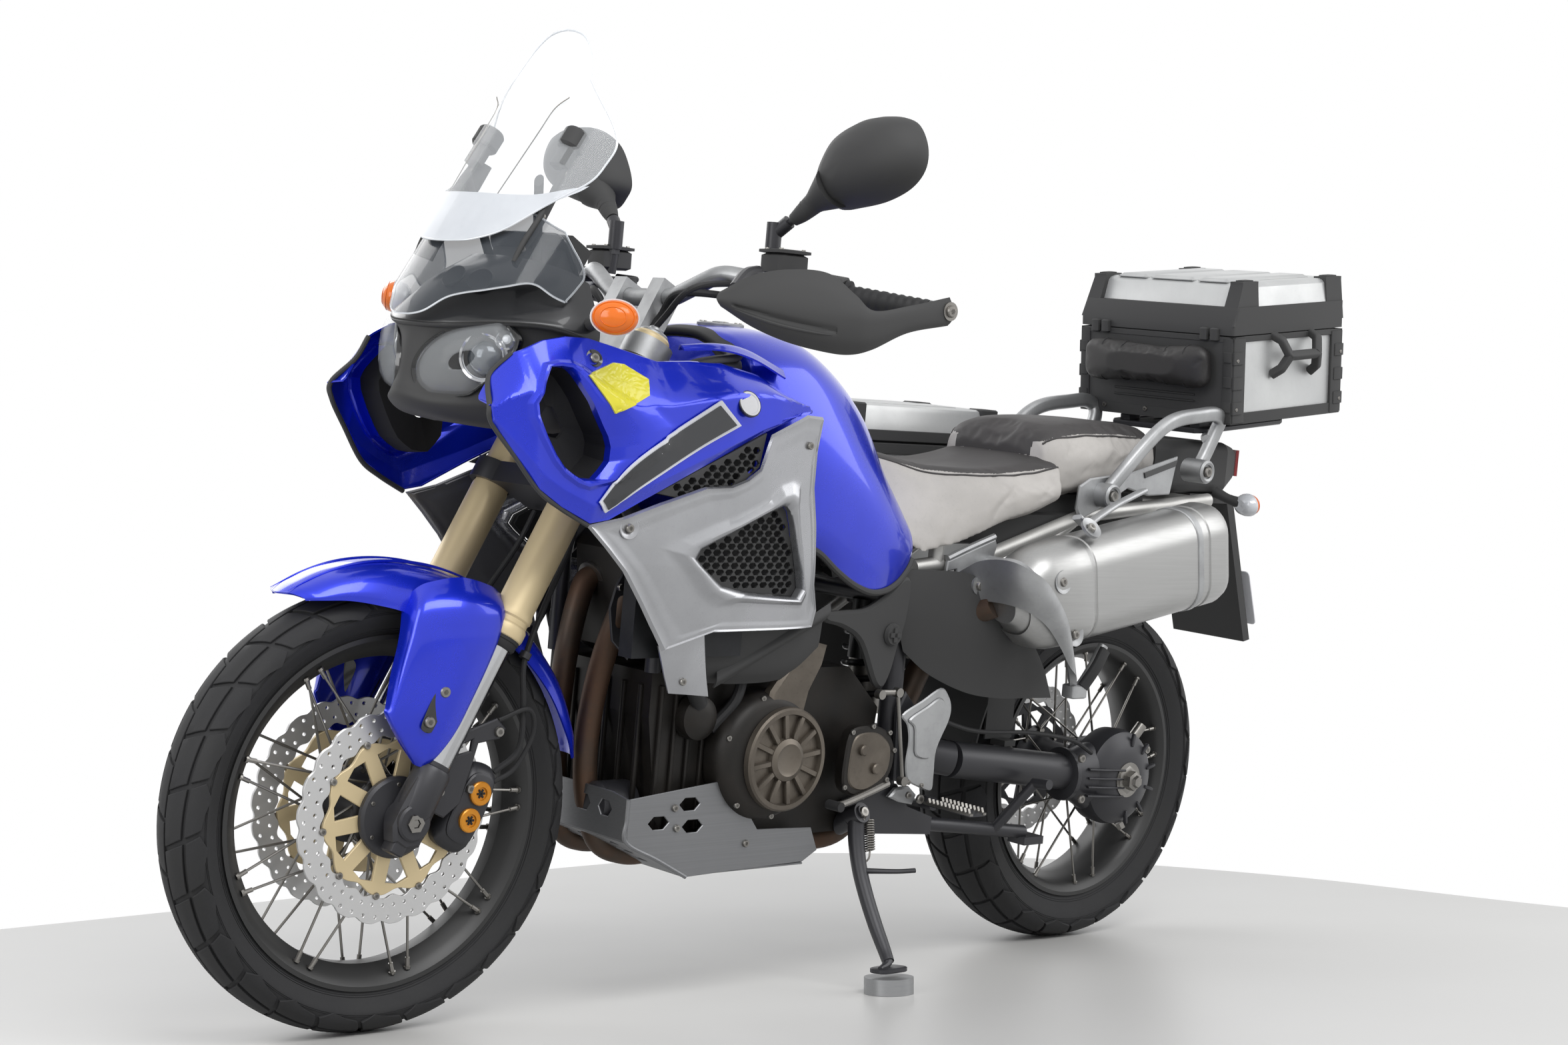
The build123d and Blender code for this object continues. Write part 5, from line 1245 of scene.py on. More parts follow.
def handguards():
    """The two handguards: a dished blade with a pressed groove before the grip, and a strut from the bar."""
    rows = [
        [(1214, 326, 1119), (1184, 362, 1146), (1148, 402, 1158), (1110, 442, 1156), (1080, 470, 1128),
         (1052, 481, 1108), (985, 484, 1120), (906, 482, 1138)],
        [(1219, 328, 1114), (1196, 366, 1128), (1164, 406, 1134), (1124, 448, 1130), (1088, 476, 1112),
         (1054, 485, 1102), (986, 487, 1112), (902, 484, 1128)],
        [(1221, 329, 1109), (1202, 368, 1106), (1172, 409, 1102), (1132, 452, 1096), (1092, 479, 1092),
         (1055, 487, 1090), (986, 488, 1102), (900, 485, 1116)],
        [(1219, 330, 1104), (1196, 367, 1088), (1164, 408, 1074), (1126, 450, 1066), (1090, 477, 1064),
         (1054, 486, 1068), (986, 487, 1090), (900, 484, 1104)],
        [(1213, 330, 1098), (1180, 364, 1072), (1146, 402, 1054), (1112, 442, 1044), (1084, 468, 1042),
         (1050, 480, 1052), (986, 483, 1080), (904, 480, 1096)],
    ]
    skin = smooth_grid(rows, 40, 90)
    share = np.linspace(0, 1, 40)[:, None]
    place = np.linspace(0, 1, 90)[None]
    groove = np.exp(-((share - 0.6 - 0.12 * place) / 0.035) ** 2) * (place > 0.08) * (place < 0.5)
    skin[..., 0] -= groove * 5
    blade = shell(skin, -4.5)
    rib = pipe(skin[28, 8:48:5], (0.5, 2.2, 2.6, 2.2, 0.5), 40, 8)
    screw = bolt((906, 486, 1117), (0, 1, 0), 9)
    washer = lathe([(8, 0), (14, 0), (14, 3), (8, 3)], 24, loop=True).shift(906, 484, 1117)
    arm = pipe([(1070, 236, 1158), (1120, 268, 1150), (1180, 316, 1128)], (9, 9, 7), 16, 10)
    parts = [(blade + rib, "black_plastic"), (screw + washer, "steel"), (arm, "black_metal")]
    piece("handguard_blades", both_sides(parts), STEERED, "steering", ["handguards"])


# ---- side scoops and panels --------------------------------------------------------------------
def run(points, per):
    """Evenly divided straight runs between the corners of a loop, the same number on each run."""
    points = np.asarray(points, float)
    share = np.arange(per)[None, :, None] / per
    steps = (np.roll(points, -1, 0) - points)[:, None] * share
    return (points[:, None] + steps).reshape(-1, points.shape[1])


SCOOP_OUTLINE = [(1402, 1044), (1440, 1036), (1482, 1016), (1512, 980), (1533, 942), (1528, 917),
    (1494, 876), (1452, 826), (1413, 802), (1361, 779), (1326, 785), (1248, 823), (1168, 860), (1088, 896),
    (1012, 928), (947, 954), (921, 956), (930, 973), (1015, 1008), (1101, 1022), (1162, 1022), (1230, 1018),
    (1310, 1034), (1360, 1044)]
SCOOP_HOLE = [(1407, 998), (1422, 1000), (1438, 999), (1453, 976), (1467, 949), (1464, 932), (1450, 905),
              (1434, 880), (1421, 864), (1406, 854), (1391, 846), (1375, 844), (1360, 844), (1348, 856),
              (1340, 866), (1337, 870), (1336, 891), (1342, 906), (1352, 920), (1362, 935), (1371, 949),
              (1380, 962), (1390, 978), (1398, 990)]
SCOOP_TOP = np.array([(921, 957), (932, 973), (1015, 1008), (1101, 1022), (1230, 1018), (1310, 1034),
    (1402, 1044), (1440, 1036), (1482, 1016), (1512, 980), (1534, 942)], float)
SCOOP_LOW = np.array([(921, 955), (1035, 918), (1248, 823), (1361, 779), (1413, 802), (1452, 826),
    (1528, 917), (1534, 941)], float)


def scoop_depth(flat):
    """How far out the scoop's skin stands: a long bow, a crease under the shoulder and a tucked foot."""
    x, z = flat[..., 0], flat[..., 1]
    high = np.interp(x, SCOOP_TOP[:, 0], SCOOP_TOP[:, 1])
    low = np.interp(x, SCOOP_LOW[:, 0], SCOOP_LOW[:, 1])
    share = (z - low) / np.maximum(high - low, 12)
    bow = np.interp(x, (920, 1000, 1100, 1250, 1380, 1470, 1534), (218, 229, 238, 243, 241, 232, 206))
    shoulder = 44 * np.clip((share - 0.66) / 0.34, 0, 1.1) ** 1.15
    foot = 8 * np.clip((0.1 - share) / 0.1, 0, 1)
    return bow - shoulder - foot


def on_skin(flat, depth, proud=0.0):
    """Flat points in X and Z set out to a skin's depth."""
    return np.stack([flat[..., 0], depth(flat) + proud, flat[..., 1]], -1)


def skin_depth(skin):
    """A way to read how far out a skin stands: the weighted mean of the four nearest of its points."""
    points = skin.points[:len(skin.points) // 2]

    def depth(flat):
        """The skin's depth at flat points in X and Z."""
        rows = flat.reshape(-1, 2)
        gap = np.linalg.norm(rows[:, None] - points[None, :, ::2], axis=2)
        near = np.argsort(gap, axis=1)[:, :4]
        weight = 1 / (np.take_along_axis(gap, near, 1) + 0.5)
        return ((points[near, 1] * weight).sum(1) / weight.sum(1)).reshape(flat.shape[:-1])

    return depth


def inside(flat, outline):
    """True where flat points lie inside an outline, by counting the sides that they pass under."""
    edge = np.asarray(outline, float)
    ahead = np.roll(edge, -1, 0)
    x, z = flat[..., 0, None], flat[..., 1, None]
    spans = (edge[:, 0] > x) != (ahead[:, 0] > x)
    rise = np.where(edge[:, 0] == ahead[:, 0], 1, ahead[:, 0] - edge[:, 0])
    cross = edge[:, 1] + (x - edge[:, 0]) / rise * (ahead[:, 1] - edge[:, 1])
    return (spans & (z < cross)).sum(-1) % 2 == 1


def comb(outline, depth, proud, width=19.0, height=13.0, wall=2.6):
    """A grille: a curved plate with six-sided holes in staggered rows."""
    edge = np.asarray(outline, float)
    low, high = edge.min(0), edge.max(0)
    holes = []
    for row, z in enumerate(np.arange(low[1], high[1], height * 0.76)):
        for x in np.arange(low[0] + (row % 2) * width * 0.5, high[0], width):
            cell = np.array(hexagon(x, z, width - wall, height - wall))
            if inside(cell, outline).all():
                holes.append(cell)
    mesh = plate([outline] + holes, 5, 0.5)
    points = on_skin(mesh.points[:, :2], depth, 0.0)
    points[:, 1] += proud + mesh.points[:, 2]
    return Shape(points, mesh.quads, mesh.tris)


def decal(outline, depth, proud, rows=8):
    """A thin patch that follows a skin: loops of its outline drawn in to its middle, with a small wall."""
    edge = run(outline, 12)
    middle = edge.mean(0)
    loops = [on_skin(edge, depth, proud - 4)]
    loops += [on_skin(middle + (edge - middle) * k, depth, proud) for k in np.linspace(1, 0.02, rows)]
    return closed(loops)


def scoops():
    """The blue side scoops: a creased skin round a deep intake, its inside near-black as painted shade, with
    a patch, a band and a disc.
    """
    outer = run(SCOOP_OUTLINE, 8)
    hole = run(SCOOP_HOLE, 8)
    loops = [on_skin(hole, scoop_depth, -20), on_skin(hole, scoop_depth, -7)]
    for share, proud in ((0.03, -1.5), (0.07, 2.5), (0.14, 5.0), (0.2, 5.0), (0.27, 1.0)):
        loops.append(on_skin(hole + (outer - hole) * share, scoop_depth, proud))
    for share in np.linspace(0.3, 0.985, 34):
        loops.append(on_skin(hole + (outer - hole) * share, scoop_depth))
    loops.append(on_skin(outer, scoop_depth, -3))
    skin = shell(np.stack(loops), -3, True)
    middle = hole.mean(0)
    # painted shade: the duct inside the intake is near-black
    duct = closed([on_skin(middle + (hole - middle) * k, scoop_depth, d) for k, d in
                   ((1.02, -14), (1.0, -30), (0.9, -60), (0.3, -70), (0.28, -74), (1.0, -66), (1.06, -30))],
                  True)
    lip = pipe(on_skin(np.array([(1484, 1014), (1512, 980), (1531, 942), (1526, 916), (1492, 874),
        (1450, 824), (1411, 800), (1362, 777)], float), scoop_depth, -4), 4.0, 60, 8)
    on_scoop = skin_depth(skin)
    patch = decal([(1384, 992), (1327, 1012), (1308, 1011), (1267, 992), (1274, 969), (1342, 940)], on_scoop,
        3.2, 16)
    low = smooth([(1342, 797), (1276, 838), (1176, 893), (1093, 932)], 40)
    top = smooth([(1357, 812), (1312, 864), (1240, 912), (1138, 968)], 40)

    def strip(a, b, proud, start=0, end=40):
        """A strip between two shares of the band's width."""
        rows = np.stack([low + (top - low) * k for k in np.linspace(a, b, 8)])[:, start:end]
        return shell(on_skin(rows, on_scoop, proud), -3.0)

    white = strip(0, 1, 2.4)
    dark = strip(0.1, 0.9, 4.2, 1, 39)
    disc_at = (1077, on_scoop(np.array([1077.0, 965.0])) + 2.5, 965)
    face = facing(disc_at, (0.05, 1, 0.42))
    disc = lathe([(0, -3), (19, -3), (19, 2.4), (16, 2.4), (15.4, 1.6), (0, 1.8)], 40, "z").at(face)
    ring = lathe([(19, -3), (21, -3), (21, 1.4), (20, 2.6), (19, 2.4)], 40, "z", True).at(face)
    screw_at = on_skin(np.array([1361.0, 1016.0]), on_scoop, 0.5)
    cup = lathe([(7, -1), (13, 0), (13.5, 1.2), (9, -0.2)], 28, "z",
        True).at(facing(screw_at, (0.1, 1, 0.5)))
    screws = bolt(screw_at, (0.1, 1, 0.5), 7.5)
    parts = [(skin, "blue_paint"), (duct, "inner_dark"), (lip, "black_plastic"), (patch, "patch_yellow"),
             (white, "band_white"), (dark, "band_dark"), (disc, "pale_tag"), (ring, "gloss_black"),
             (cup, "gloss_black"), (screws, "steel")]
    piece("scoop_skins", both_sides(parts), UPRIGHT, "chassis", ["side_scoops"], 28)


PANEL_OUTLINE = [(1150, 838), (1235, 812), (1300, 789), (1361, 776), (1325, 744), (1290, 710), (1251, 660),
    (1228, 629), (1197, 590), (1106, 617), (990, 618), (878, 619), (873, 646), (893, 689), (906, 785),
    (919, 843), (919, 901), (910, 951), (948, 953), (1024, 920), (1042, 868), (1068, 851), (1100, 840)]
PANEL_HOLE = [(1110, 760), (1130, 751), (1146, 744), (1154, 730), (1140, 718), (1126, 708), (1112, 698),
    (1098, 689), (1070, 683), (1041, 678), (985, 673), (933, 669), (924, 683), (934, 712), (944, 740),
    (954, 768), (960, 786), (967, 804), (975, 811), (983, 812), (1010, 802), (1040, 790), (1075, 775)]
UPPER_GRILLE = [(1240, 826), (1171, 858), (1030, 922), (1040, 870), (1066, 850), (1125, 826), (1174, 816)]


def panel_depth(flat):
    """How far out the silver panel stands: bowed along, leaning in below, its rear edge turned in."""
    x, z = flat[..., 0], flat[..., 1]
    bow = np.interp(x, (870, 905, 960, 1080, 1220, 1370), (216, 228, 236, 240, 238, 226))
    return bow - 22 * np.clip((720 - z) / 200, 0, 1) ** 1.3


def side_panels():
    """The silver side panels: a pressed skin with raised lips round its grilles, bolts and a low tab."""
    outer = run(PANEL_OUTLINE, 8)
    hole = run(PANEL_HOLE, 8)
    loops = [on_skin(hole, panel_depth, -13), on_skin(hole, panel_depth, -3)]
    for share, proud in ((0.03, 2), (0.07, 5), (0.12, 6), (0.17, 4.5), (0.24, 0)):
        loops.append(on_skin(hole + (outer - hole) * share, panel_depth, proud))
    for share in np.linspace(0.32, 0.92, 12):
        loops.append(on_skin(hole + (outer - hole) * share, panel_depth, -1.0 if share < 0.8 else 0.5))
    loops += [on_skin(hole + (outer - hole) * 0.97, panel_depth, 2.4), on_skin(outer, panel_depth, -2)]
    skin = shell(np.stack(loops), -3, True)
    tab = [
        [(1195, 214, 596), (1150, 216, 606), (1108, 216, 620)],
        [(1184, 212, 572), (1140, 214, 578), (1100, 213, 586)],
        [(1172, 208, 548), (1130, 210, 548), (1090, 209, 550)],
        [(1158, 204, 522), (1118, 206, 519), (1078, 205, 515)],
    ]
    tab = shell(smooth_grid(tab, 16, 12), -3)
    grilles = comb(PANEL_HOLE, panel_depth, -16) + comb(UPPER_GRILLE, panel_depth, -8)
    # painted shade: near-black sheets behind the grilles
    shade_backs = decal(PANEL_HOLE, panel_depth, -26) + decal(UPPER_GRILLE, panel_depth, -18)
    dish_at = on_skin(np.array([1287.0, 774.0]), panel_depth, 0.4)
    dish = lathe([(6, -2), (10, 0), (16, 1), (17, 0.4), (17, -2)], 32, "z",
        True).at(facing(dish_at, (0.1, 1, 0.1)))
    screws = total(bolt(on_skin(np.array(at, float), panel_depth, 0.8), (0.05, 1, 0), r)
                   for at, r in (((1287, 774), 7), ((938, 906), 6), ((1287, 774), 3)))
    screws = screws + bolt((1136, 209, 540), (0.05, 1, 0), 6)
    parts = [(skin + tab + dish, "panel_silver"), (grilles, "black_plastic"), (shade_backs, "inner_dark"),
             (screws, "steel")]
    piece("panel_skins", both_sides(parts), UPRIGHT, "chassis", ["side_panels"], 30)


# ---- tank --------------------------------------------------------------------------------------
def stationed(stations, profiles):
    """Rows of control points: each station's X with its own (sideways, height) pairs."""
    return [[(x, y, z) for y, z in row] for x, row in zip(stations, profiles)]


CAP_X = 936


def tank():
    """The fuel tank: broad shoulders, pulled-in knees, a black edge along its foot and its filler cap."""
    stations = (1046, 1012, 990, 930, 860, 790, 720, 665, 630, 612)
    profile = [
        [(0, 1000), (16, 1000), (30, 994), (40, 984), (44, 970), (45, 950), (45, 930), (45, 915), (44, 905)],
        [(0, 1058), (50, 1057), (95, 1048), (135, 1020), (152, 982), (160, 930), (164, 884), (164, 845),
         (160, 820)],
        [(0, 1073), (56, 1072), (108, 1063), (152, 1032), (174, 984), (185, 918), (191, 850), (191, 800),
         (184, 778)],
        [(0, 1077), (58, 1076), (112, 1066), (158, 1031), (182, 976), (194, 905), (198, 836), (197, 782),
         (189, 758)],
        [(0, 1067), (56, 1066), (110, 1055), (156, 1018), (181, 960), (194, 890), (200, 822), (199, 768),
         (190, 738)],
        [(0, 1039), (52, 1037), (100, 1025), (146, 988), (172, 934), (188, 872), (196, 806), (196, 742),
         (188, 694)],
        [(0, 993), (46, 991), (86, 980), (126, 945), (154, 896), (177, 844), (189, 785), (191, 722),
         (184, 672)],
        [(0, 946), (38, 944), (70, 932), (100, 902), (130, 860), (160, 818), (178, 768), (182, 722),
         (176, 684)],
        [(0, 906), (30, 904), (56, 893), (80, 868), (106, 840), (140, 804), (162, 768), (170, 734),
         (167, 708)],
        [(0, 880), (24, 878), (46, 868), (66, 848), (92, 826), (126, 796), (150, 768), (159, 744),
         (158, 726)],
    ]
    skin = smooth_grid(across(stationed(stations, profile)), 90, 97)
    edge = skin[:, -1]
    trim = pipe(edge[4::6] + (0, -1, -2), 5.5, 80, 8)
    cap = lathe([(0, -4), (38, -4), (38, 2), (36, 4), (30, 4), (29, 3), (0, 3.4)], 48, "z")
    cap = cap.shift(CAP_X, 0, 1078)
    cap_bolts = total(bolt((CAP_X + 33 * math.cos(a), 33 * math.sin(a), 1082), (0, 0, 1), 2.6)
                      for a in angles(6))
    latch = block((CAP_X - 10, -10, 1080), (CAP_X + 10, 10, 1084), 3)
    arch = smooth([(1168, 182, 1004), (1140, 182, 1018), (1098, 178, 1026), (1044, 158, 1032),
        (1016, 112, 1042), (1008, 50, 1062), (1006, 0, 1066), (1008, -50, 1062), (1016, -112, 1042),
        (1044, -158, 1032), (1098, -178, 1026), (1140, -182, 1018), (1168, -182, 1004)], 80)
    surround = sweep(arch, rounded(12, 26, 5))
    inner = pipe(arch + (-2, 0, -16), 12, 80, 10)
    fin = [
        [(1180, 196, 1036), (1110, 200, 1040), (1040, 196, 1030), (960, 186, 1004)],
        [(1178, 186, 1042), (1110, 188, 1048), (1040, 180, 1042), (955, 172, 1016)],
        [(1172, 176, 1036), (1106, 177, 1043), (1036, 168, 1040), (952, 162, 1012)],
    ]
    shoulder = shell(smooth_grid(fin, 16, 40), -3)
    piece("tank_skin", [(shell(skin, -3), "blue_paint"), (shoulder.both(), "blue_paint"),
                        (trim.both() + surround + inner, "black_plastic"), (cap + latch, "cast_silver"),
                        (cap_bolts, "steel")], UPRIGHT, "chassis", ["fuel_tank"], 40)


# ---- padded pieces -----------------------------------------------------------------------------
def evaluated(made):
    """The object's mesh with its modifiers worked out."""
    graph = bpy.context.evaluated_depsgraph_get()
    return bpy.data.meshes.new_from_object(made.evaluated_get(graph))


def swap_mesh(made, mesh):
    """The object takes a new mesh and drops its modifiers."""
    old = made.data
    made.modifiers.clear()
    made.data = mesh
    bpy.data.meshes.remove(old)


CLOTH_FRAMES = 20


def inflate(shape, place, voxel, pressure, most):
    """A closed shape swollen as a filled cover: remeshed, blown up by cloth under pressure, no
    point moving further than a set way, and smoothed once."""
    mesh = bpy.data.meshes.new("pad")
    mesh.from_pydata(carry(shape.points, place).tolist(), [], shape.quads.tolist() + shape.tris.tolist())
    made = bpy.data.objects.new("pad", mesh)
    bpy.context.scene.collection.objects.link(made)
    remesh = made.modifiers.new("remesh", "REMESH")
    remesh.mode = "VOXEL"
    remesh.voxel_size = voxel * MM
    remesh.use_smooth_shade = True
    swap_mesh(made, evaluated(made))
    rest = read_points(made.data)
    cloth = made.modifiers.new("cloth", "CLOTH")
    cloth.settings.use_pressure = True
    cloth.settings.uniform_pressure_force = pressure
    cloth.settings.effector_weights.gravity = 0
    cloth.point_cache.frame_start = 1
    cloth.point_cache.frame_end = CLOTH_FRAMES
    for number in range(1, CLOTH_FRAMES + 1):
        bpy.context.scene.frame_set(number)
    swollen = evaluated(made)
    moved = read_points(swollen) - rest
    way = np.linalg.norm(moved, axis=1, keepdims=True)
    moved *= np.minimum(1, most * MM / np.maximum(way, 1e-9))
    swollen.vertices.foreach_set("co", (rest + moved).ravel())
    swap_mesh(made, swollen)
    bpy.context.scene.frame_set(1)
    subdivide = made.modifiers.new("subdivide", "SUBSURF")
    subdivide.levels = subdivide.render_levels = 1
    swap_mesh(made, evaluated(made))
    points = carry(read_points(made.data), np.linalg.inv(place))
    quads = np.empty(len(made.data.loops), int)
    made.data.loops.foreach_get("vertex_index", quads)
    bpy.data.meshes.remove(made.data)
    return Shape(points, quads.reshape(-1, 4))


def nearest(shape, line, lift):
    """The points of a line set onto a shape's nearest points, a little way out from its middle."""
    line = np.asarray(line, float)
    gap = np.linalg.norm(shape.points[None] - line[:, None], axis=2)
    near = np.argsort(gap, axis=1)[:, :6]
    snapped = shape.points[near].mean(1)
    smoothed = snapped.copy()
    smoothed[1:-1] = (snapped[:-2] + snapped[1:-1] * 2 + snapped[2:]) / 4
    middle = shape.points.mean(0)
    return smoothed + unit(smoothed - middle) * lift


def split(shape, inside):
    """A shape's faces parted by a test on their middles."""
    middles = shape.points[shape.quads].mean(1)
    chosen = inside(middles)
    return Shape(shape.points, shape.quads[chosen]), Shape(shape.points, shape.quads[~chosen])


def compact(shape):
    """The shape without the points that no face uses."""
    used = np.unique(np.concatenate([shape.quads.ravel(), shape.tris.ravel()]))
    index = np.zeros(len(shape.points), int)
    index[used] = np.arange(len(used))
    return Shape(shape.points[used], index[shape.quads], index[shape.tris])


def seat(name, stations, profile, seam_y, seam_z, node):
    """A saddle: a swollen body, dark above its seam and pale below it, with a welt along the seam."""
    body = closed(smooth_grid(across(stationed(stations, profile)), 40, 41))
    pad = inflate(body, UPRIGHT, 5.0, 4.0, length("seat_swell"))
    seam = np.column_stack([stations, seam_y, seam_z])
    ahead, wide_at, high_at = seam[np.argsort(seam[:, 0])].T

    def above(middles):
        """True above the seam."""
        high = np.interp(middles[:, 0], ahead, high_at)
        wide = np.interp(middles[:, 0], ahead, wide_at)
        away = abs(middles[:, 1])
        crown = (middles[:, 2] > high - 26) & (away < wide * 0.8)
        return (middles[:, 2] > high - 2) & (away < wide + 30) | crown

    top, sides = split(pad, above)
    line = nearest(pad, smooth(seam, 60), 0.6)
    welt = pipe(line, 1.9, 120, 8)
    made = piece(name, [(compact(top), "seat_vinyl"), (compact(sides), "side_vinyl"),
        (welt.both(), "seat_vinyl")], UPRIGHT, "chassis", [node], 60)


def seats():
    """The rider's and the passenger's saddles."""
    seat("rider_saddle", (238, 300, 380, 460, 530, 585, 628, 648), [
        [(0, 902), (70, 902), (134, 892), (150, 868), (152, 832), (100, 822), (0, 822)],
        [(0, 884), (70, 883), (134, 876), (152, 842), (153, 806), (100, 800), (0, 800)],
        [(0, 868), (66, 868), (126, 866), (150, 826), (153, 782), (100, 790), (0, 790)],
        [(0, 864), (60, 864), (112, 864), (144, 812), (153, 752), (100, 786), (0, 786)],
        [(0, 868), (50, 868), (94, 866), (134, 804), (151, 734), (92, 790), (0, 790)],
        [(0, 880), (38, 880), (74, 876), (120, 808), (148, 728), (80, 800), (0, 800)],
        [(0, 892), (26, 891), (52, 886), (100, 822), (138, 752), (64, 812), (0, 812)],
        [(0, 896), (18, 895), (36, 889), (78, 836), (112, 790), (44, 830), (0, 830)],
    ], (140, 138, 132, 118, 100, 78, 56, 38), (886, 876, 868, 866, 868, 878, 886, 888), "rider_seat")
    seat("passenger_saddle", (262, 236, 160, 60, -30, -78), [
        [(0, 934), (60, 932), (106, 918), (120, 884), (120, 836), (70, 826), (0, 826)],
        [(0, 948), (64, 947), (114, 934), (130, 892), (130, 836), (80, 830), (0, 830)],
        [(0, 956), (66, 955), (118, 944), (135, 900), (136, 846), (90, 840), (0, 840)],
        [(0, 958), (66, 957), (116, 946), (132, 906), (134, 858), (90, 848), (0, 848)],
        [(0, 955), (60, 954), (104, 944), (118, 910), (120, 870), (80, 862), (0, 862)],
        [(0, 946), (46, 945), (82, 936), (92, 912), (94, 880), (60, 874), (0, 874)],
    ], (112, 120, 124, 122, 108, 86), (924, 934, 944, 946, 942, 934), "passenger_seat")


def back_pad():
    """The leather roll on the top box: a swollen roll with sewn seams and a welt at each end."""
    outline = rounded(84, 34, 15, 6)[:, ::-1]
    places = (-146, -142, -132, -110, -60, 0, 60, 110, 132, 142, 146)
    sizes = (0.5, 0.72, 0.9, 0.99, 1, 1, 1, 0.99, 0.9, 0.72, 0.5)
    rings = [standing(outline * k + (22, 106), y) for y, k in zip(places, sizes)]
    pad = inflate(closed(rings), TOP_BOX, 4.0, 5.0, 9)
    seams = []
    for y in (-96, -48, 52, 98):
        ring = standing(outline * (1.2, 1.15) + (22, 106), y)
        line = nearest(pad, smooth(ring, 64, True), 0.2)
        seams.append(pipe(line, 1.3, 96, 6, True))
    made = piece("back_roll", [(pad, "pad_leather"), (total(seams), "rubber")], TOP_BOX, "chassis",
                 ["backrest_pad"], 60)


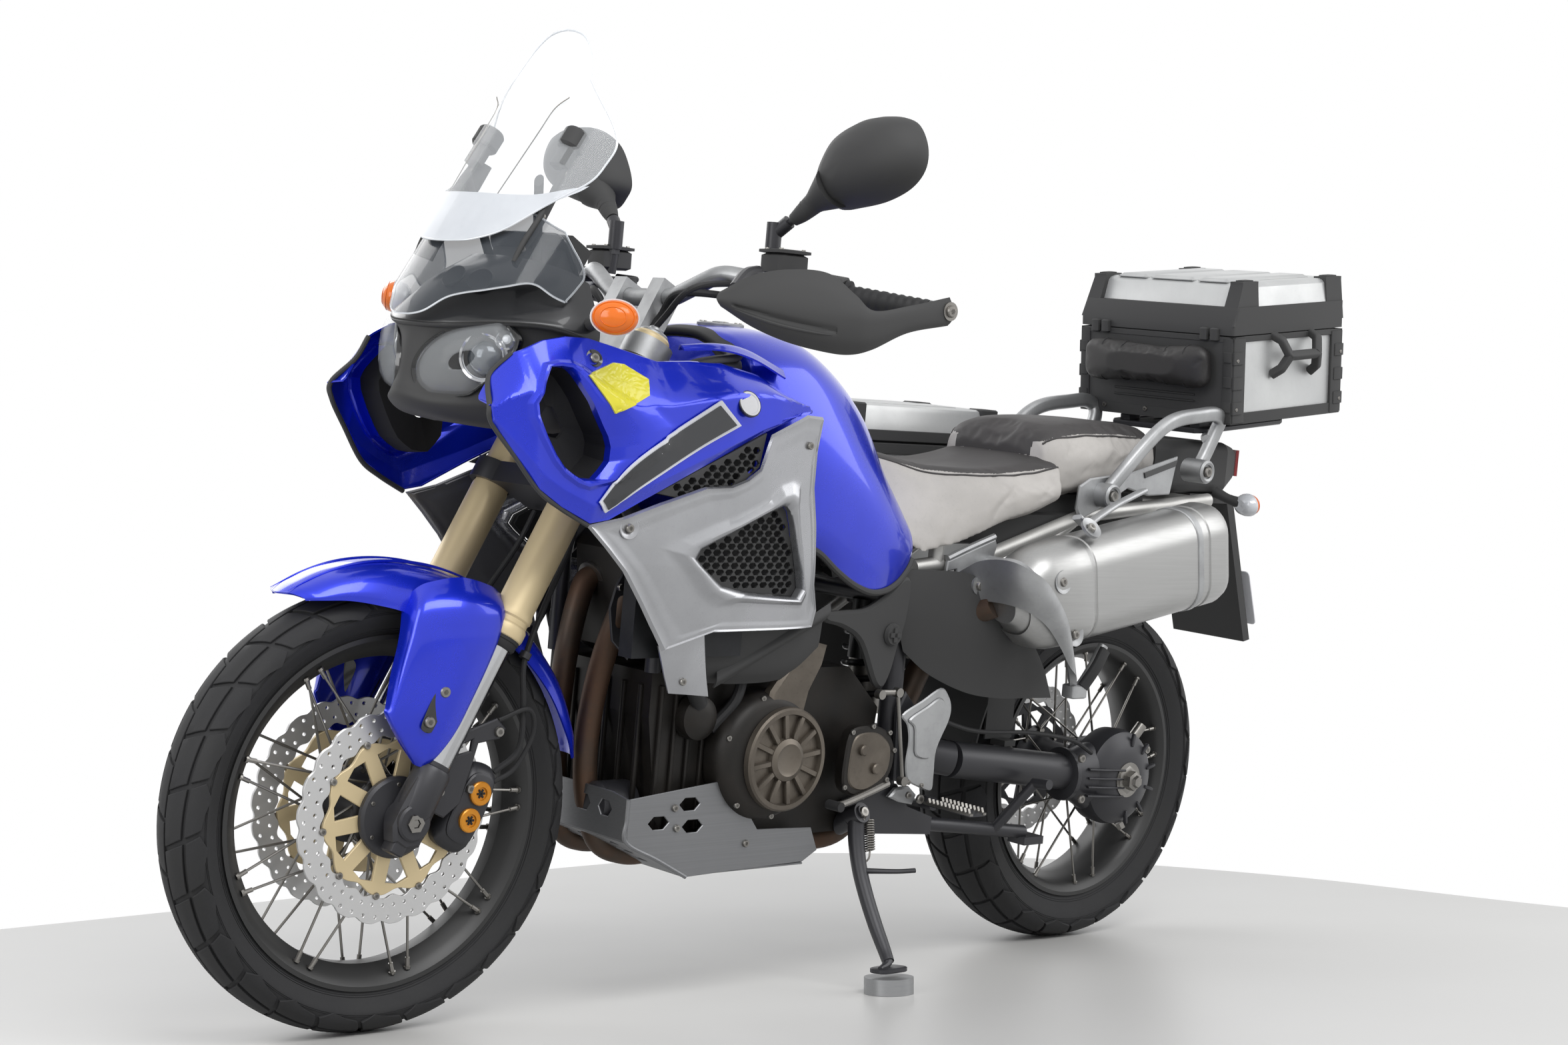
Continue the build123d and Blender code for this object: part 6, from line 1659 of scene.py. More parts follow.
# ---- engine and exhaust ------------------------------------------------------------------------
def engine():
    """Engine covers with ribs and screws, cooling fins, the water pump, hoses and the frame's gussets."""
    housing = lathe([(0, 118), (99, 118), (104, 124), (105, 150), (100, 168), (92, 176), (84, 179),
        (0, 179)], 72)
    disc = lathe([(0, 176), (81, 176), (84, 180), (83, 189), (80, 192), (73, 192), (71, 183), (36, 183),
        (34, 191), (26, 195), (20, 192), (0, 192)], 72)
    ribs = []
    for angle in range(8, 368, 30):
        ribs.append(block((34, 180, -4.5), (73, 191, 4.5), 2).turn("y", angle))
    cover = (housing.shift(x=905, z=408), "engine_black"), (total([disc] + ribs).shift(x=884, z=405),
        "engine_grey")
    rim_bolts = total(bolt((905 + 97 * math.cos(a), 171, 408 + 97 * math.sin(a)), (0.1, 1, 0), 5)
                      for a in np.radians((20, 75, 120, 165, 215, 262, 310)))
    arm = side_plate([[(846, 450), (922, 470), (916, 512), (880, 556), (838, 592), (800, 584), (808, 552),
                       (832, 510)]], 164, 24, 6)
    gear = side_plate([smooth([(736, 444), (690, 450), (655, 440), (634, 409), (644, 362), (700, 334),
        (744, 350), (748, 398)], 40, True)], 172, 22, 3)
    gear_face = side_plate([smooth([(728, 434), (690, 440), (662, 430), (645, 408), (653, 368), (700, 345),
        (735, 358), (738, 398)], 40, True)], 182, 6, 2)
    gear_bolts = total(bolt((x, 183, z), (0, 1, 0), 4.5) for x, z in ((736, 442), (690, 450), (650, 438),
        (636, 408), (648, 360), (700, 334), (744, 352)))
    bosses = total(lathe([(0, 180), (9, 180), (9, 190), (7, 192), (0, 192)], 20).shift(x=x, z=z)
                   for x, z in ((712, 412), (680, 380)))
    block_ribs = total(block((x, 122, 290), (x + 7, 131, 520), 2) for x in (1010, 1040, 1070, 1100))
    front_ribs = total(block((1122, y, 300), (1130, y + 7, 520), 2) for y in (-100, -60, -20, 20, 60, 100))
    fins = total(block((928, -98, z), (1096, 98, z + 5), 1.5) for z in range(585, 700, 19))
    head = block((922, -99, 716), (1098, 99, 728), 2)
    pump = lathe([(0, 124), (34, 124), (36, 130), (34, 150), (22, 158), (10, 160), (0, 160)],
        40).shift(x=1040, z=470)
    filter_can = lathe([(0, 1108), (33, 1108), (34, 1114), (34, 1170), (30, 1176), (0, 1178)], 40,
        "x").shift(y=70, z=330)
    hose = pipe([(1046, 152, 492), (1080, 160, 540), (1096, 150, 600), (1060, 128, 660)], 13, 40, 12)
    hose_low = pipe([(1010, 140, 450), (968, 150, 500), (960, 146, 560), (985, 128, 620)], 9, 40, 10)
    shade = side_plate([[(1206, 676), (1182, 714), (1150, 716), (1146, 600), (1172, 560), (1206, 590),
        (1216, 640)], rounded(20, 50, 9) + (1192, 634), rounded(16, 26, 7) + (1174, 592),
        rounded(14, 24, 6) + (1172, 686)], 118, 5, 1.2)
    shade_bolts = total(bolt((x, 122, z), (0, 1, 0), 6) for x, z in ((1200, 672), (1158, 706), (1162, 578)))
    under = [
        [(1100, 190, 622), (1000, 196, 622), (900, 196, 622), (830, 186, 634)],
        [(1090, 176, 560), (1000, 184, 556), (900, 186, 560), (826, 178, 590)],
        [(1070, 160, 530), (990, 168, 526), (896, 172, 532), (824, 168, 560)],
    ]
    under = shell(smooth_grid(under, 16, 24), -3)
    bar_strip = shell(smooth_grid([
        [(1040, 178, 548), (960, 190, 590), (880, 196, 630), (822, 192, 656)],
        [(1044, 184, 534), (964, 196, 576), (884, 202, 616), (826, 198, 640)],
        [(1042, 176, 522), (966, 188, 564), (886, 194, 604), (828, 190, 628)]], 10, 30), -3)
    cover_line = smooth([(816, 636), (770, 640), (722, 644), (676, 668), (640, 694), (622, 680), (628, 620),
        (641, 581), (652, 540), (668, 512), (690, 520), (729, 587), (770, 612), (812, 622)], 70, True)
    frame_cover = side_plate([cover_line], 170, 16, 5)
    knob = lathe([(0, 176), (18, 176), (19, 180), (16, 186), (0, 186)], 24).shift(x=662, z=600)
    cross = block((658, 184, 588), (666, 189, 612), 1) + block((650, 184, 596), (674, 189, 604), 1)
    parts = [*cover, (arm + gear_face + bosses, "engine_grey"),
             (gear + block_ribs + front_ribs + fins + head + pump, "engine_black"),
             (rim_bolts + gear_bolts + shade_bolts, "steel"), (filter_can, "black_metal"),
             (hose + hose_low + hose.mirror(), "rubber"), (shade.both(), "black_metal"),
             (under.both() + bar_strip + frame_cover.both() + knob + cross, "black_plastic")]
    clutch = lathe([(0, -196), (60, -196), (68, -192), (100, -176), (106, -166), (106, -120), (0, -120)], 64)
    clutch_ribs = total(block((30, -199, -2.5), (84, -186, 2.5), 1).turn("y", a)
        for a in np.arange(0, 360, 45))
    parts += [((clutch + clutch_ribs).shift(x=860, z=410), "engine_black")]
    piece("engine_details", parts, UPRIGHT, "chassis", ["engine_covers"])


CAN_END = 546


def exhaust():
    """The header pipes, the link to the silencer and the silencer with its shroud, flange and end cap."""
    pipes = []
    for side in (1, -1):
        pipes.append(pipe([(1098, side * 58, 664), (1126, side * 56, 652), (1156, side * 46, 560),
                           (1170, side * 38, 450), (1166, side * 38, 350), (1140, side * 44, 268),
                           (1090, side * 50, 243), (1030, side * 52, 242)], length("header_radius"), 70, 20))
    flanges = total(lathe([(19, -5), (31, -5), (31, 5), (19, 5)], 28, "z", True).at(
        facing((1106, side * 57, 660), (0.9, 0, -0.35))) for side in (1, -1))
    link = pipe([(1030, -52, 242), (960, 0, 242), (800, 30, 242), (660, 66, 246), (606, 80, 300),
        (566, 88, 380), (530, 94, 470), (500, 108, 550), (472, 150, 616), (452, 206, 650)],
        length("header_radius") + 2, 90, 20)
    join = pipe([(1030, 52, 242), (985, 30, 242), (950, 6, 242)], 20, 20, 20)
    piece("exhaust_pipes", [(total(pipes) + link + join, "headers"), (flanges, "steel")], UPRIGHT, "chassis",
          ["exhaust_headers"])
    start = np.array([452.0, 226.0, 652.0])
    ahead = unit((-0.984, 0, 0.178))
    up = unit((0.178, 0, 0.984))

    def ring(at, width, height):
        """A rounded section of the silencer, so far along it."""
        flat = rounded(width, height, 0.44 * min(width, height), 8)
        return start + ahead * at + flat[:, :1] * (0, 1, 0) + flat[:, 1:] * up

    can = closed([ring(*row) for row in ((0, 58, 58), (12, 68, 72), (34, 92, 122), (56, 108, 158),
        (80, 114, 172), (120, 117, 177), (168, 118, 180), (170, 116, 178), (173, 116, 178), (175, 119, 182),
        (300, 120, 184), (474, 120, 184), (476, 117, 181), (480, 117, 181), (482, 121, 185), (522, 121, 185),
        (536, 114, 176), (544, 98, 154), (CAN_END, 60, 100))])
    shroud = closed([ring(*row) for row in (
        (22, 86, 106), (24, 90, 110), (52, 112, 162), (80, 120, 178), (120, 123, 183), (158, 125, 186),
        (161, 123, 184), (161, 116, 177), (80, 112, 170), (30, 84, 106))], True)
    outlet = lathe([(22, -4), (27, -4), (27, 8), (22, 8)], 32, "z", True).at(
        facing(start + ahead * CAN_END + up * 20, ahead))
    # painted shade: a near-black disc set inside the outlet
    outlet_shade = lathe([(0, -2), (22, -2), (22, 2), (0, 2)], 32,
        "z").at(facing(start + ahead * (CAN_END + 1) + up * 20, ahead))
    flange = sweep(smooth([(300, 240, 806), (274, 240, 794), (236, 232, 806), (180, 222, 826),
        (120, 214, 844), (92, 210, 852)], 30), rounded(20, 9, 4))
    cups, screws = [], []
    for x, y, z in ((372, 284, 700), (326, 283, 610), (286, 262, 790)):
        out = (0.0, 1.0, 0.12) if z < 750 else (0.0, 0.75, 0.65)
        cups.append(lathe([(9, -2), (14, 1), (20, 2), (20, -4), (9, -4)], 32, "z",
            True).at(facing((x, y, z), out)))
        screws.append(bolt((x, y, z), out, 8))
    band = closed([ring(*row) for row in ((446, 121, 185), (448, 124, 188), (460, 124, 188),
                                          (462, 121, 185))], False)
    piece("silencer", [(can + shroud, "muffler_metal"), (flange + total(cups) + band, "cast_silver"),
                       (total(screws), "steel"), (outlet, "black_metal"), (outlet_shade, "inner_dark")],
          UPRIGHT, "chassis", ["muffler"], 30)


def skid():
    """The bent aluminium plate under the engine, with six-sided slots in its sides, nose and foot."""
    side = side_plate([[(1178, 352), (979, 372), (951, 345), (906, 289), (787, 284), (769, 246), (800, 229),
        (943, 226), (1049, 223), (1176, 286)], hexagon(1054, 338, 42, 20), hexagon(1115, 312, 42, 20),
        hexagon(1045, 303, 42, 20)], 157, 3.5, 0.9)
    front = plate([[(-158, 286), (158, 286), (158, 352), (120, 358), (-120, 358), (-158, 352)]] +
                  [hexagon(y, 330, 32, 24) for y in (-104, -52, 52, 104)], 3.5, 0.9)
    front = front.at(placing((1177, 0, 0), (0, 1, 0), (0, 0, 1), (1, 0, 0)))
    slant = math.hypot(127, 63)
    slope = plate([[(-157, 0), (157, 0), (157, slant), (-157, slant)]] +
                  [hexagon(y, s, 40, 16) for y in (-90, -30, 30, 90) for s in (44, 78, 112)], 3.5, 0.9)
    slope = slope.at(placing((1049, 0, 223), (0, 1, 0), (127 / slant, 0, 63 / slant),
        (63 / slant, 0, -127 / slant)))
    foot = plate([[(-157, 798), (157, 798), (157, 1050), (-157, 1050)]] +
                 [hexagon(y, x, 40, 16) for y in (-80, 0, 80) for x in (850, 930, 1000)], 3.5, 0.9)
    foot = foot.at(placing((0, 0, 226), (0, 1, 0), (1, 0, 0), (0, 0, -1)))
    rims = pipe(np.array([(1178, 157, 352), (1178, 157, 320), (1176, 157, 286), (1112, 157, 255),
        (1049, 157, 223)], float), 3.4, 30, 8)
    fixings = total(bolt((x, 159, z), (0, 1, 0), 6) for x, z in ((1085, 334), (1078, 302), (930, 268)))
    piece("under_guard", [(side.both() + front + slope + foot + rims.both(), "guard_metal"),
                          (fixings.both(), "steel")], UPRIGHT, "chassis", ["skid_plate"])


# ---- pegs, stands and the rear drive -----------------------------------------------------------
def pegs():
    """The rider's serrated pegs with hangers, heel plates, gear lever and rods; the passenger's folded
    pegs on their curved castings."""
    heel = side_plate([smooth([(620, 466), (575, 488), (532, 508), (512, 494), (503, 474), (507, 450),
        (530, 404), (531, 362), (534, 334), (566, 342), (594, 356), (602, 384), (599, 420), (606, 448)], 56,
        True)], 178, 5, 2)
    heel_face = side_plate([smooth([(606, 458), (566, 478), (536, 492), (522, 478), (528, 446), (544, 410),
                                    (552, 390), (582, 396), (588, 420), (592, 444)], 40, True)], 182, 5, 2.2)
    hanger = side_plate([[(606, 322), (590, 336), (560, 338), (540, 322), (548, 306), (580, 312)]], 148, 12,
        3)
    frame_arm = side_plate([[(560, 340), (600, 350), (606, 470), (590, 500), (560, 470), (540, 400)]], 150,
        12, 3)
    peg = block((512, 168, 309), (550, 286, 317), 3)
    teeth = []
    for x in (513, 545):
        for y in np.arange(186, 284, 9.0):
            teeth.append(Shape([(x, y, 315), (x + 5, y, 315), (x + 5, y + 8, 315), (x, y + 8, 315),
                (x, y + 4, 324), (x + 5, y + 4, 324)], [(0, 3, 2, 1), (0, 1, 5, 4), (3, 4, 5, 2)],
                [(0, 4, 3), (1, 2, 5)]))
    tooth_rail = block((512, 180, 312), (519, 288, 317), 1) + block((544, 180, 312), (551, 288, 317), 1)
    pivot = rod((531, 160, 312), (531, 186, 312), 11, 20)
    lever = pipe([(640, 178, 352), (700, 186, 338), (760, 192, 326), (790, 196, 330)], (7, 6, 6, 6), 24, 10)
    toe = rod((790, 196, 330), (790, 226, 330), 8, 16)
    rod_up = rod((643, 186, 505), (613, 186, 356), 3.2, 8) + rod((684, 180, 505), (640, 186, 505), 5, 10)
    joints = total(lathe([(0, 180), (8, 180), (8, 192), (0, 192)], 16).shift(x=x, z=z)
                   for x, z in ((643, 505), (613, 356), (684, 503)))
    screws = total(bolt((x, 181, z), (0, 1, 0), r) for x, z, r in ((592, 352, 4), (560, 345, 4),
        (562, 322, 8), (590, 330, 6)))
    piece("rider_pegs", [((heel + heel_face + hanger).both(), "cast_silver"),
        (frame_arm.both(), "black_metal"), ((peg + pivot).both(), "black_metal"),
        ((total(teeth) + tooth_rail).both(), "steel"), (lever + rod_up + joints, "steel"), (toe, "rubber"),
        (screws.both(), "steel")], UPRIGHT, "chassis", ["footpegs"])
    arch = [[(476, 150, 700), (474, 196, 726), (478, 262, 736), (462, 292, 722), (420, 298, 684),
        (376, 292, 636), (330, 270, 580), (280, 236, 530)], [(474, 154, 676), (468, 200, 694),
        (468, 262, 700), (450, 292, 688), (408, 298, 654), (364, 290, 608), (316, 266, 556),
        (268, 232, 512)], [(470, 150, 652), (458, 196, 660), (452, 250, 662), (434, 278, 652),
        (392, 284, 622), (348, 278, 582), (300, 258, 534), (258, 228, 498)],]
    arm = shell(smooth_grid(arch, 14, 60), 12)
    ear_spots = ((474, 682), (412, 712))
    ears = total(rod((x, 146, z), (x, 190, z), 16, 24) for x, z in ear_spots)
    ear_screws = total(bolt((x, y, z), (0, 1, 0), 9) for x, y, z in ((474, 191, 682), (412, 191, 712),
        (264, 244, 506)))
    lug = side_plate([[(516, 700), (514, 718), (400, 756), (394, 745), (400, 728), (388, 716), (396, 696),
        (420, 700), (452, 708), (466, 700), (470, 672), (486, 672), (492, 704)]], 147, 8, 2)
    weld = pipe([(512, 146, 722), (456, 146, 742), (400, 146, 760)], 6, 16, 8)
    fold = pipe([(250, 238, 506), (230, 244, 542), (206, 248, 584)], (9, 8, 9), 20, 12)
    fold_pad = sweep(smooth([(248, 246, 512), (228, 254, 546), (210, 256, 578)], 14), rounded(24, 11, 4))
    yoke = block((238, 222, 492), (276, 250, 516), 4)
    shield = shell(smooth_grid([
        [(640, 150, 704), (560, 160, 704), (490, 184, 700), (440, 200, 672), (380, 192, 634),
         (300, 172, 576)],
        [(632, 152, 640), (560, 166, 622), (486, 190, 606), (420, 200, 590), (340, 184, 566),
         (262, 168, 530)],
        [(600, 148, 566), (546, 160, 528), (470, 176, 498), (390, 180, 486), (306, 170, 482),
         (226, 158, 478)],
    ], 24, 40), -4)
    piece("passenger_peg_castings", [((arm + ears + lug + weld + yoke).both(), "cast_silver"),
                                     (ear_screws.both(), "steel"), (fold.both(), "cast_silver"),
                                     (fold_pad.both(), "rubber"), (shield.both(), "black_plastic")],
          UPRIGHT, "chassis", ["passenger_pegs"])


def side_stand():
    """The side stand: an eye about its bolt, a bowed leg, a flat foot, a tang and a coiled spring."""
    leg = pipe([(690, 163, 300), (694, 172, 262), (700, 190, 220), (704, 214, 180), (708, 246, 136),
        (714, 276, 104), (720, 294, 88)], (14, 14, 13, 12.5, 12, 11, 10), 50, 16)
    eye = rod((690, 150, 294), (690, 176, 306), 17, 24)
    toe = pipe([(716, 290, 92), (728, 297, 84), (748, 304, 82)], (9, 7, 4), 14, 10)
    foot_at = facing((722, 298, 77), (0, -0.13, 1))
    foot = closed([level(rounded(62, 40, 14) * k, z)
                   for k, z in ((0.94, -4), (1.0, -2.5), (1.0, 2.5), (0.9, 4))]).at(foot_at)
    tang = pipe([(700, 196, 214), (684, 214, 216), (656, 236, 218), (628, 248, 220)], (5, 4.5, 4, 4), 24, 8)
    turns = np.linspace(0, 2 * np.pi * 13, 260)
    top, low = np.array([670, 174, 292.0]), np.array([678, 190, 244.0])
    share = np.linspace(0, 1, 260)[:, None]
    coil = top + (low - top) * share + 7.5 * np.cos(turns)[:, None] * (1, 0, 0) + \
        7.5 * np.sin(turns)[:, None] * unit((0, 1, 0.35))
    spring = sweep(coil, circle(1.5, 6))
    hooks = pipe([(690, 182, 296), (676, 174, 298), (670, 174, 293)], 1.8, 12, 6) + \
        pipe([(678, 190, 245), (684, 194, 232), (698, 192, 222)], 1.8, 12, 6)
    screw = bolt((690, 178, 307), (0, 1, 0.4), 9)
    piece("side_stand_leg", [(leg + eye + toe + foot + tang, "black_metal"), (spring + hooks, "steel"),
                             (screw, "steel")], UPRIGHT, "side_stand", ["side_stand"])


def rear_drive():
    """Ribs, bolts, the axle nut and filler plugs on the final drive, a shock spring and a brake caliper."""
    shell_part = lathe([(30, 92), (78, 92), (86, 100), (88, 126), (84, 146), (70, 158), (40, 166),
        (30, 166)], 64, loop=True).shift(z=REAR_AXLE_HEIGHT)
    neck = closed([
        np.column_stack([np.full(32, x), 118 + w * np.cos(a), z + h * np.sin(a)])
        for a in (angles(32),)
        for x, w, h, z in ((30, 40, 66, 322), (70, 40, 60, 324), (104, 38, 46, 328), (122, 36, 40, 330),
                  (124, 44, 48, 330), (134, 44, 48, 331), (136, 34, 36, 331))])
    ribs = total(sweep(smooth([(100, 156, z + 4), (60, 162, z + 2), (12, 166, z)], 10), rounded(4, 10, 1.8))
                 for z in (292, 308, 324, 340))
    cover_ribs = total(block((60, 156, -3), (84, 163, 3), 2).turn("y", a).shift(z=REAR_AXLE_HEIGHT)
                       for a in np.arange(100, 261, 32))
    nut = lathe([(0, 160), (30, 160), (30, 166), (22, 170), (18, 170), (18, 184), (12, 186), (10, 192),
        (0, 192)], 6)
    collar = lathe([(16, 164), (32, 164), (32, 168), (16, 168)], 40, loop=True)
    bolts = total(bolt(at, (0, 1, 0), 8) for at in ((129, 160, 366), (120, 160, 292), (-62, 152, 372)))
    plugs = rod((-52, 128, 392), (-68, 132, 414), 10, 16) + rod((-20, 140, 236), (-24, 144, 226), 8, 6)
    turns = np.linspace(0, 2 * np.pi * 7, 200)
    spring = np.stack([530 + 41 * np.cos(turns), 41 * np.sin(turns), np.linspace(470, 660, 200)], -1)
    coil = sweep(spring, circle(5.5, 8))
    can = pipe([(590, 40, 640), (590, 40, 590), (590, 40, 540)], 22, 12, 20)
    caliper = side_plate([smooth([(108, 380), (150, 392), (168, 360), (150, 318), (112, 322), (100, 350)],
        30, True)], -84, 44, 8)
    hose = pipe([(150, -96, 390), (220, -110, 420), (340, -118, 430), (460, -118, 430), (560, -110, 470)], 4,
        50, 8)
    wire = pipe([(90, 150, 372), (150, 152, 398), (260, 150, 416), (400, 146, 424), (500, 140, 450)], 4, 50,
        8)
    piece("rear_drive_details", [(shell_part + neck + ribs + cover_ribs, "black_metal"),
        (nut.shift(z=REAR_AXLE_HEIGHT) + collar.shift(z=REAR_AXLE_HEIGHT) + bolts + plugs, "steel"),
        (coil + can, "spring_black"), (caliper, "black_metal"), (hose + wire, "rubber")], UPRIGHT, "chassis",
        ["final_drive"])


# ---- rack, boxes and tail ----------------------------------------------------------------------
def rack():
    """The grab rails with ringed bosses, the rack plate, its slots and the silver side plates."""
    rail = smooth([(140, 160, 836), (112, 163, 866), (54, 166, 922), (4, 167, 962), (-40, 166, 980),
                   (-100, 164, 989), (-150, 162, 994), (-174, 158, 984), (-172, 152, 962), (-150, 150, 918),
                   (-132, 150, 892)], 70)
    inner_rail = rail * (1, -1, 1) + np.array([0, 13, 0])
    boss_spots = ((134, 838), (-126, 888))
    bosses = total(rod((x, 132, z), (x, 176, z), 22, 32) for x, z in boss_spots)
    boss_ring = lathe([(12, 174), (20, 174), (21, 178), (17, 181), (13, 179)], 32, loop=True)
    rings = total(boss_ring.shift(x=x, z=z) for x, z in boss_spots)
    screws = total(bolt((x, 177, z), (0, 1, 0), 10) for x, z in boss_spots)
    side = side_plate([[(192, 852), (165, 866), (50, 880), (-74, 912), (-60, 842), (0, 838), (61, 850),
        (134, 812), (182, 792), (196, 812)]], 146, 8, 2.5)
    strip = side_plate([[(22, 880), (18, 870), (-66, 894), (-70, 906)]], 151, 3, 0.8)
    deck = plate([[(-262, -104), (-262, 104), (-244, 114), (-20, 114), (0, 98), (0, -98), (-20, -114),
                   (-244, -114)]] + [rounded(150, 18, 8) + (-134, y) for y in (-80, -40, 0, 40, 80)], 10, 2)
    onto_box = np.linalg.inv(UPRIGHT) @ TOP_BOX
    deck = deck.shift(z=-16).at(onto_box)
    feet = total(block((x - 16, y - 12, -14), (x + 16, y + 12, 0), 3) for x in (-230, -34)
        for y in (-84, 84))
    feet = feet.at(onto_box)
    stays = total(pipe([(-150, side * 150, 946), (-176, side * 128, 948), (-206, side * 104, 948)], 9, 16,
        12) for side in (1, -1))
    rails = sweep(rail, rounded(20, 27, 8)) + sweep(inner_rail, rounded(20, 27, 8))
    piece("grab_rails", [(rails + (bosses + rings + side).both() + stays, "cast_silver"),
        (screws.both(), "steel"), (strip.both(), "gloss_black"), (deck + feet, "black_metal")], UPRIGHT,
        "chassis", ["luggage_rack"])


def tail():
    """The tail lamp's lens and its ribs, the tray under the saddles, and the blank plate with its reflector
    and light.
    """
    lens = shell(smooth_grid([[(-370, y, z) if abs(y) > 50 else (-380, y, z) for y in (-55, -30, 0, 30, 55)]
                              for z in (874, 890, 908, 924)], 20, 30), 6)
    ribs = total(block((-384, -50, z), (-380, 50, z + 2), 0.6) for z in (884, 894, 904, 914))
    piece("tail_lamp_lens", [(lens, "red_lens"), (ribs, "red_lens")], UPRIGHT, "chassis")
    piece("under_seat_tray", [(block((-60, -116, 742), (505, 116, 800), 8) + block((-50, -100, 780),
        (262, 100, 836), 8), "black_plastic")], UPRIGHT, "chassis")
    blank = plate([rounded(170, 110, 8)], 2.4, 0.8).at(
        placing((-428, 0, 640), (0, 1, 0), (0.35, 0, 0.94), (-0.94, 0, 0.35)))
    light = block((-398, -26, 742), (-376, 26, 762), 5)
    reflector = plate([rounded(70, 34, 8)], 5, 1.5).at(
        placing((-408, 0, 716), (0, 1, 0), (0.35, 0, 0.94), (-0.94, 0, 0.35)))
    piece("plate_blank", [(blank, "band_white"), (light, "black_plastic"), (reflector, "red_lens")], UPRIGHT,
          "chassis")


def bars_round(low, high, wall, soft):
    """Four bars round a rectangle, which leave its middle open: the walls or the rim of a hollow box."""
    (west, south, foot), (east, north, head) = low, high
    return block(low, (east, south + wall, head), soft) + block((west, north - wall, foot), high, soft) + \
        block(low, (west + wall, north, head), soft) + block((east - wall, south, foot), high, soft)


def notched_post(x, y, low, high, out_x, out_y):
    """A moulded corner post: a black angle strip with small notched pads along both of its edges."""
    strip = block((min(x, x - out_x * 34), y - 3, low), (max(x, x - out_x * 34), y + 3, high), 2)
    cross = block((x - 3, min(y, y - out_y * 22), low), (x + 3, max(y, y - out_y * 22), high), 2)
    pads = total(block((x - out_x * 12 - 14, y + out_y * 2 - 3, z), (x - out_x * 12 + 14, y + out_y * 2 + 3,
        z + 24), 2) for z in np.arange(low + 16, high - 30, 46))
    edge = total(block((x + out_x * 2 - 3, y - out_y * 10 - 9, z), (x + out_x * 2 + 3, y - out_y * 10 + 9,
        z + 20), 2) for z in np.arange(low + 20, high - 30, 46))
    return strip + cross + pads + edge


def top_box():
    """The top box: pale side panels in a black moulded frame, handles, and the ribbed lid on its hinges."""
    long, half, seam, tall = TOP_BOX_LENGTH, TOP_BOX_HALF, TOP_BOX_SEAM, TOP_BOX_HEIGHT
    core = bars_round((5 - long, 4 - half, 3), (-5, half - 4, seam - 3), 4, 1)
    front = block((-6, 6 - half, 4), (-1, half - 6, seam - 4), 1)
    recess = total(pipe([(-0.5, -96, z), (0.4, 0, z), (-0.5, 96, z)], 2.2, 12, 6) for z in (40, 52))
    feet = block((-long, -half, 0), (0, half, 24), 4)
    belt = bars_round((-long, -half, seam - 12), (0, half, seam - 1), 9, 2) + \
        bars_round((12 - long, 12 - half, seam - 14), (-12, half - 12, seam + 2), 3, 0.8)
    posts = total(notched_post(x, side * (half - 1), 4, seam - 4, way, side)
                  for x, way in ((-2, 1), (2 - long, -1)) for side in (1, -1))
    handles = []
    for side in (1, -1):
        line = [(-122, half - 4, 162), (-126, half + 16, 152), (-138, half + 26, 124),
            (-222, half + 26, 124), (-234, half + 16, 152), (-238, half - 4, 162)]
        low = [(-120, half - 2, 88), (-126, half + 16, 100), (-138, half + 26, 124)]
        bars_of = [run_path(line, 8), run_path(low, 8), run_path([(-360 - x, y, z) for x, y, z in low], 8)]
        handles += [sweep(path * (1, side, 1), rounded(14, 17, 4)) for path in bars_of]
    screws = total(bolt((-1, y, 16), (1, 0, 0), 5) for y in (-120, -20, 70)) + \
        total(bolt((x, side * (half + 3), z), (0, side, 0), 3.5) for x in (-10, 10 - long) for z in (30, 120)
              for side in (1, -1))
    piece("top_box_shell", [(core, "box_silver"), (front + feet + belt + posts + recess + total(handles),
                                                  "black_plastic"), (screws, "steel")],
          TOP_BOX, "chassis", ["top_box_body"])
    lip = closed([level(rounded(long - front - 2 * wall, 2 * (half - wall), 5, 4) -
                                   ((long + front) / 2, 0), z)
                  for z, front, wall in ((seam + 17, 0, 6), (seam + 1, 0, 6), (seam + 1, 0, 0),
                                         (seam + 18, 0, 0), (seam + 52, 13, 0))])
    deck = closed([level(rounded(long - front - 6, wide, 10) - ((long + front + 6) / 2, 0), z)
                   for z, front, wide in ((seam + 48, 18, 358), (tall - 10, 32, 346), (tall - 5, 38, 336),
                                          (tall - 2, 50, 322))])
    ribs = []
    for y, wide in ((-96, 26), (0, 42), (96, 26)):
        rows = np.array([[(x, y - wide - 7, tall - 3), (x, y - wide, tall + rise - 3),
            (x, y + wide, tall + rise - 3), (x, y + wide + 7, tall - 3)] for x, rise in ((-44, 0), (-52, 5),
            (52 - long, 5), (44 - long, 0))], float)
        ribs.append(shell(rows, -2))
    corners = []
    for x, way, inset in ((0, 1, 30), (-long, -1, 4)):
        for side in (1, -1):
            reach = 46 + max(inset, 6)
            foot = np.array([(x, side * half), (x - way * reach, side * half),
                (x - way * reach, side * (half - 34)), (x, side * (half - 34))])
            top = foot - np.array([(way * inset, side * 5), (0, side * 5), (0, 0), (way * inset, 0)])
            rings = [level(run(foot, 4), seam + 18), level(run(top, 4), tall - 6),
                level(run(top, 4), tall + 1)]
            (west, south), (east, north) = top.min(0), top.max(0)
            pad = block((west + 8, south + 5, tall), (east - 8, north - 5, tall + 4), 3)
            corners.append(closed(rings) + pad)
    hinges = total(block((-4, y - 9, seam - 10), (9, y + 9, seam + 14), 4) for y in (-142, -118, 118, 142))
    piece("top_box_cover", [(deck + total(ribs), "box_silver"), (lip + total(corners) + hinges,
        "black_plastic")], TOP_BOX, "top_box_lid", ["top_box_lid"])


def run_path(points, per):
    """Evenly divided straight runs along an open line."""
    points = np.asarray(points, float)
    share = np.linspace(0, len(points) - 1, per * (len(points) - 1) + 1)
    return np.stack([np.interp(share, np.arange(len(points)), points[:, k]) for k in range(3)], 1)


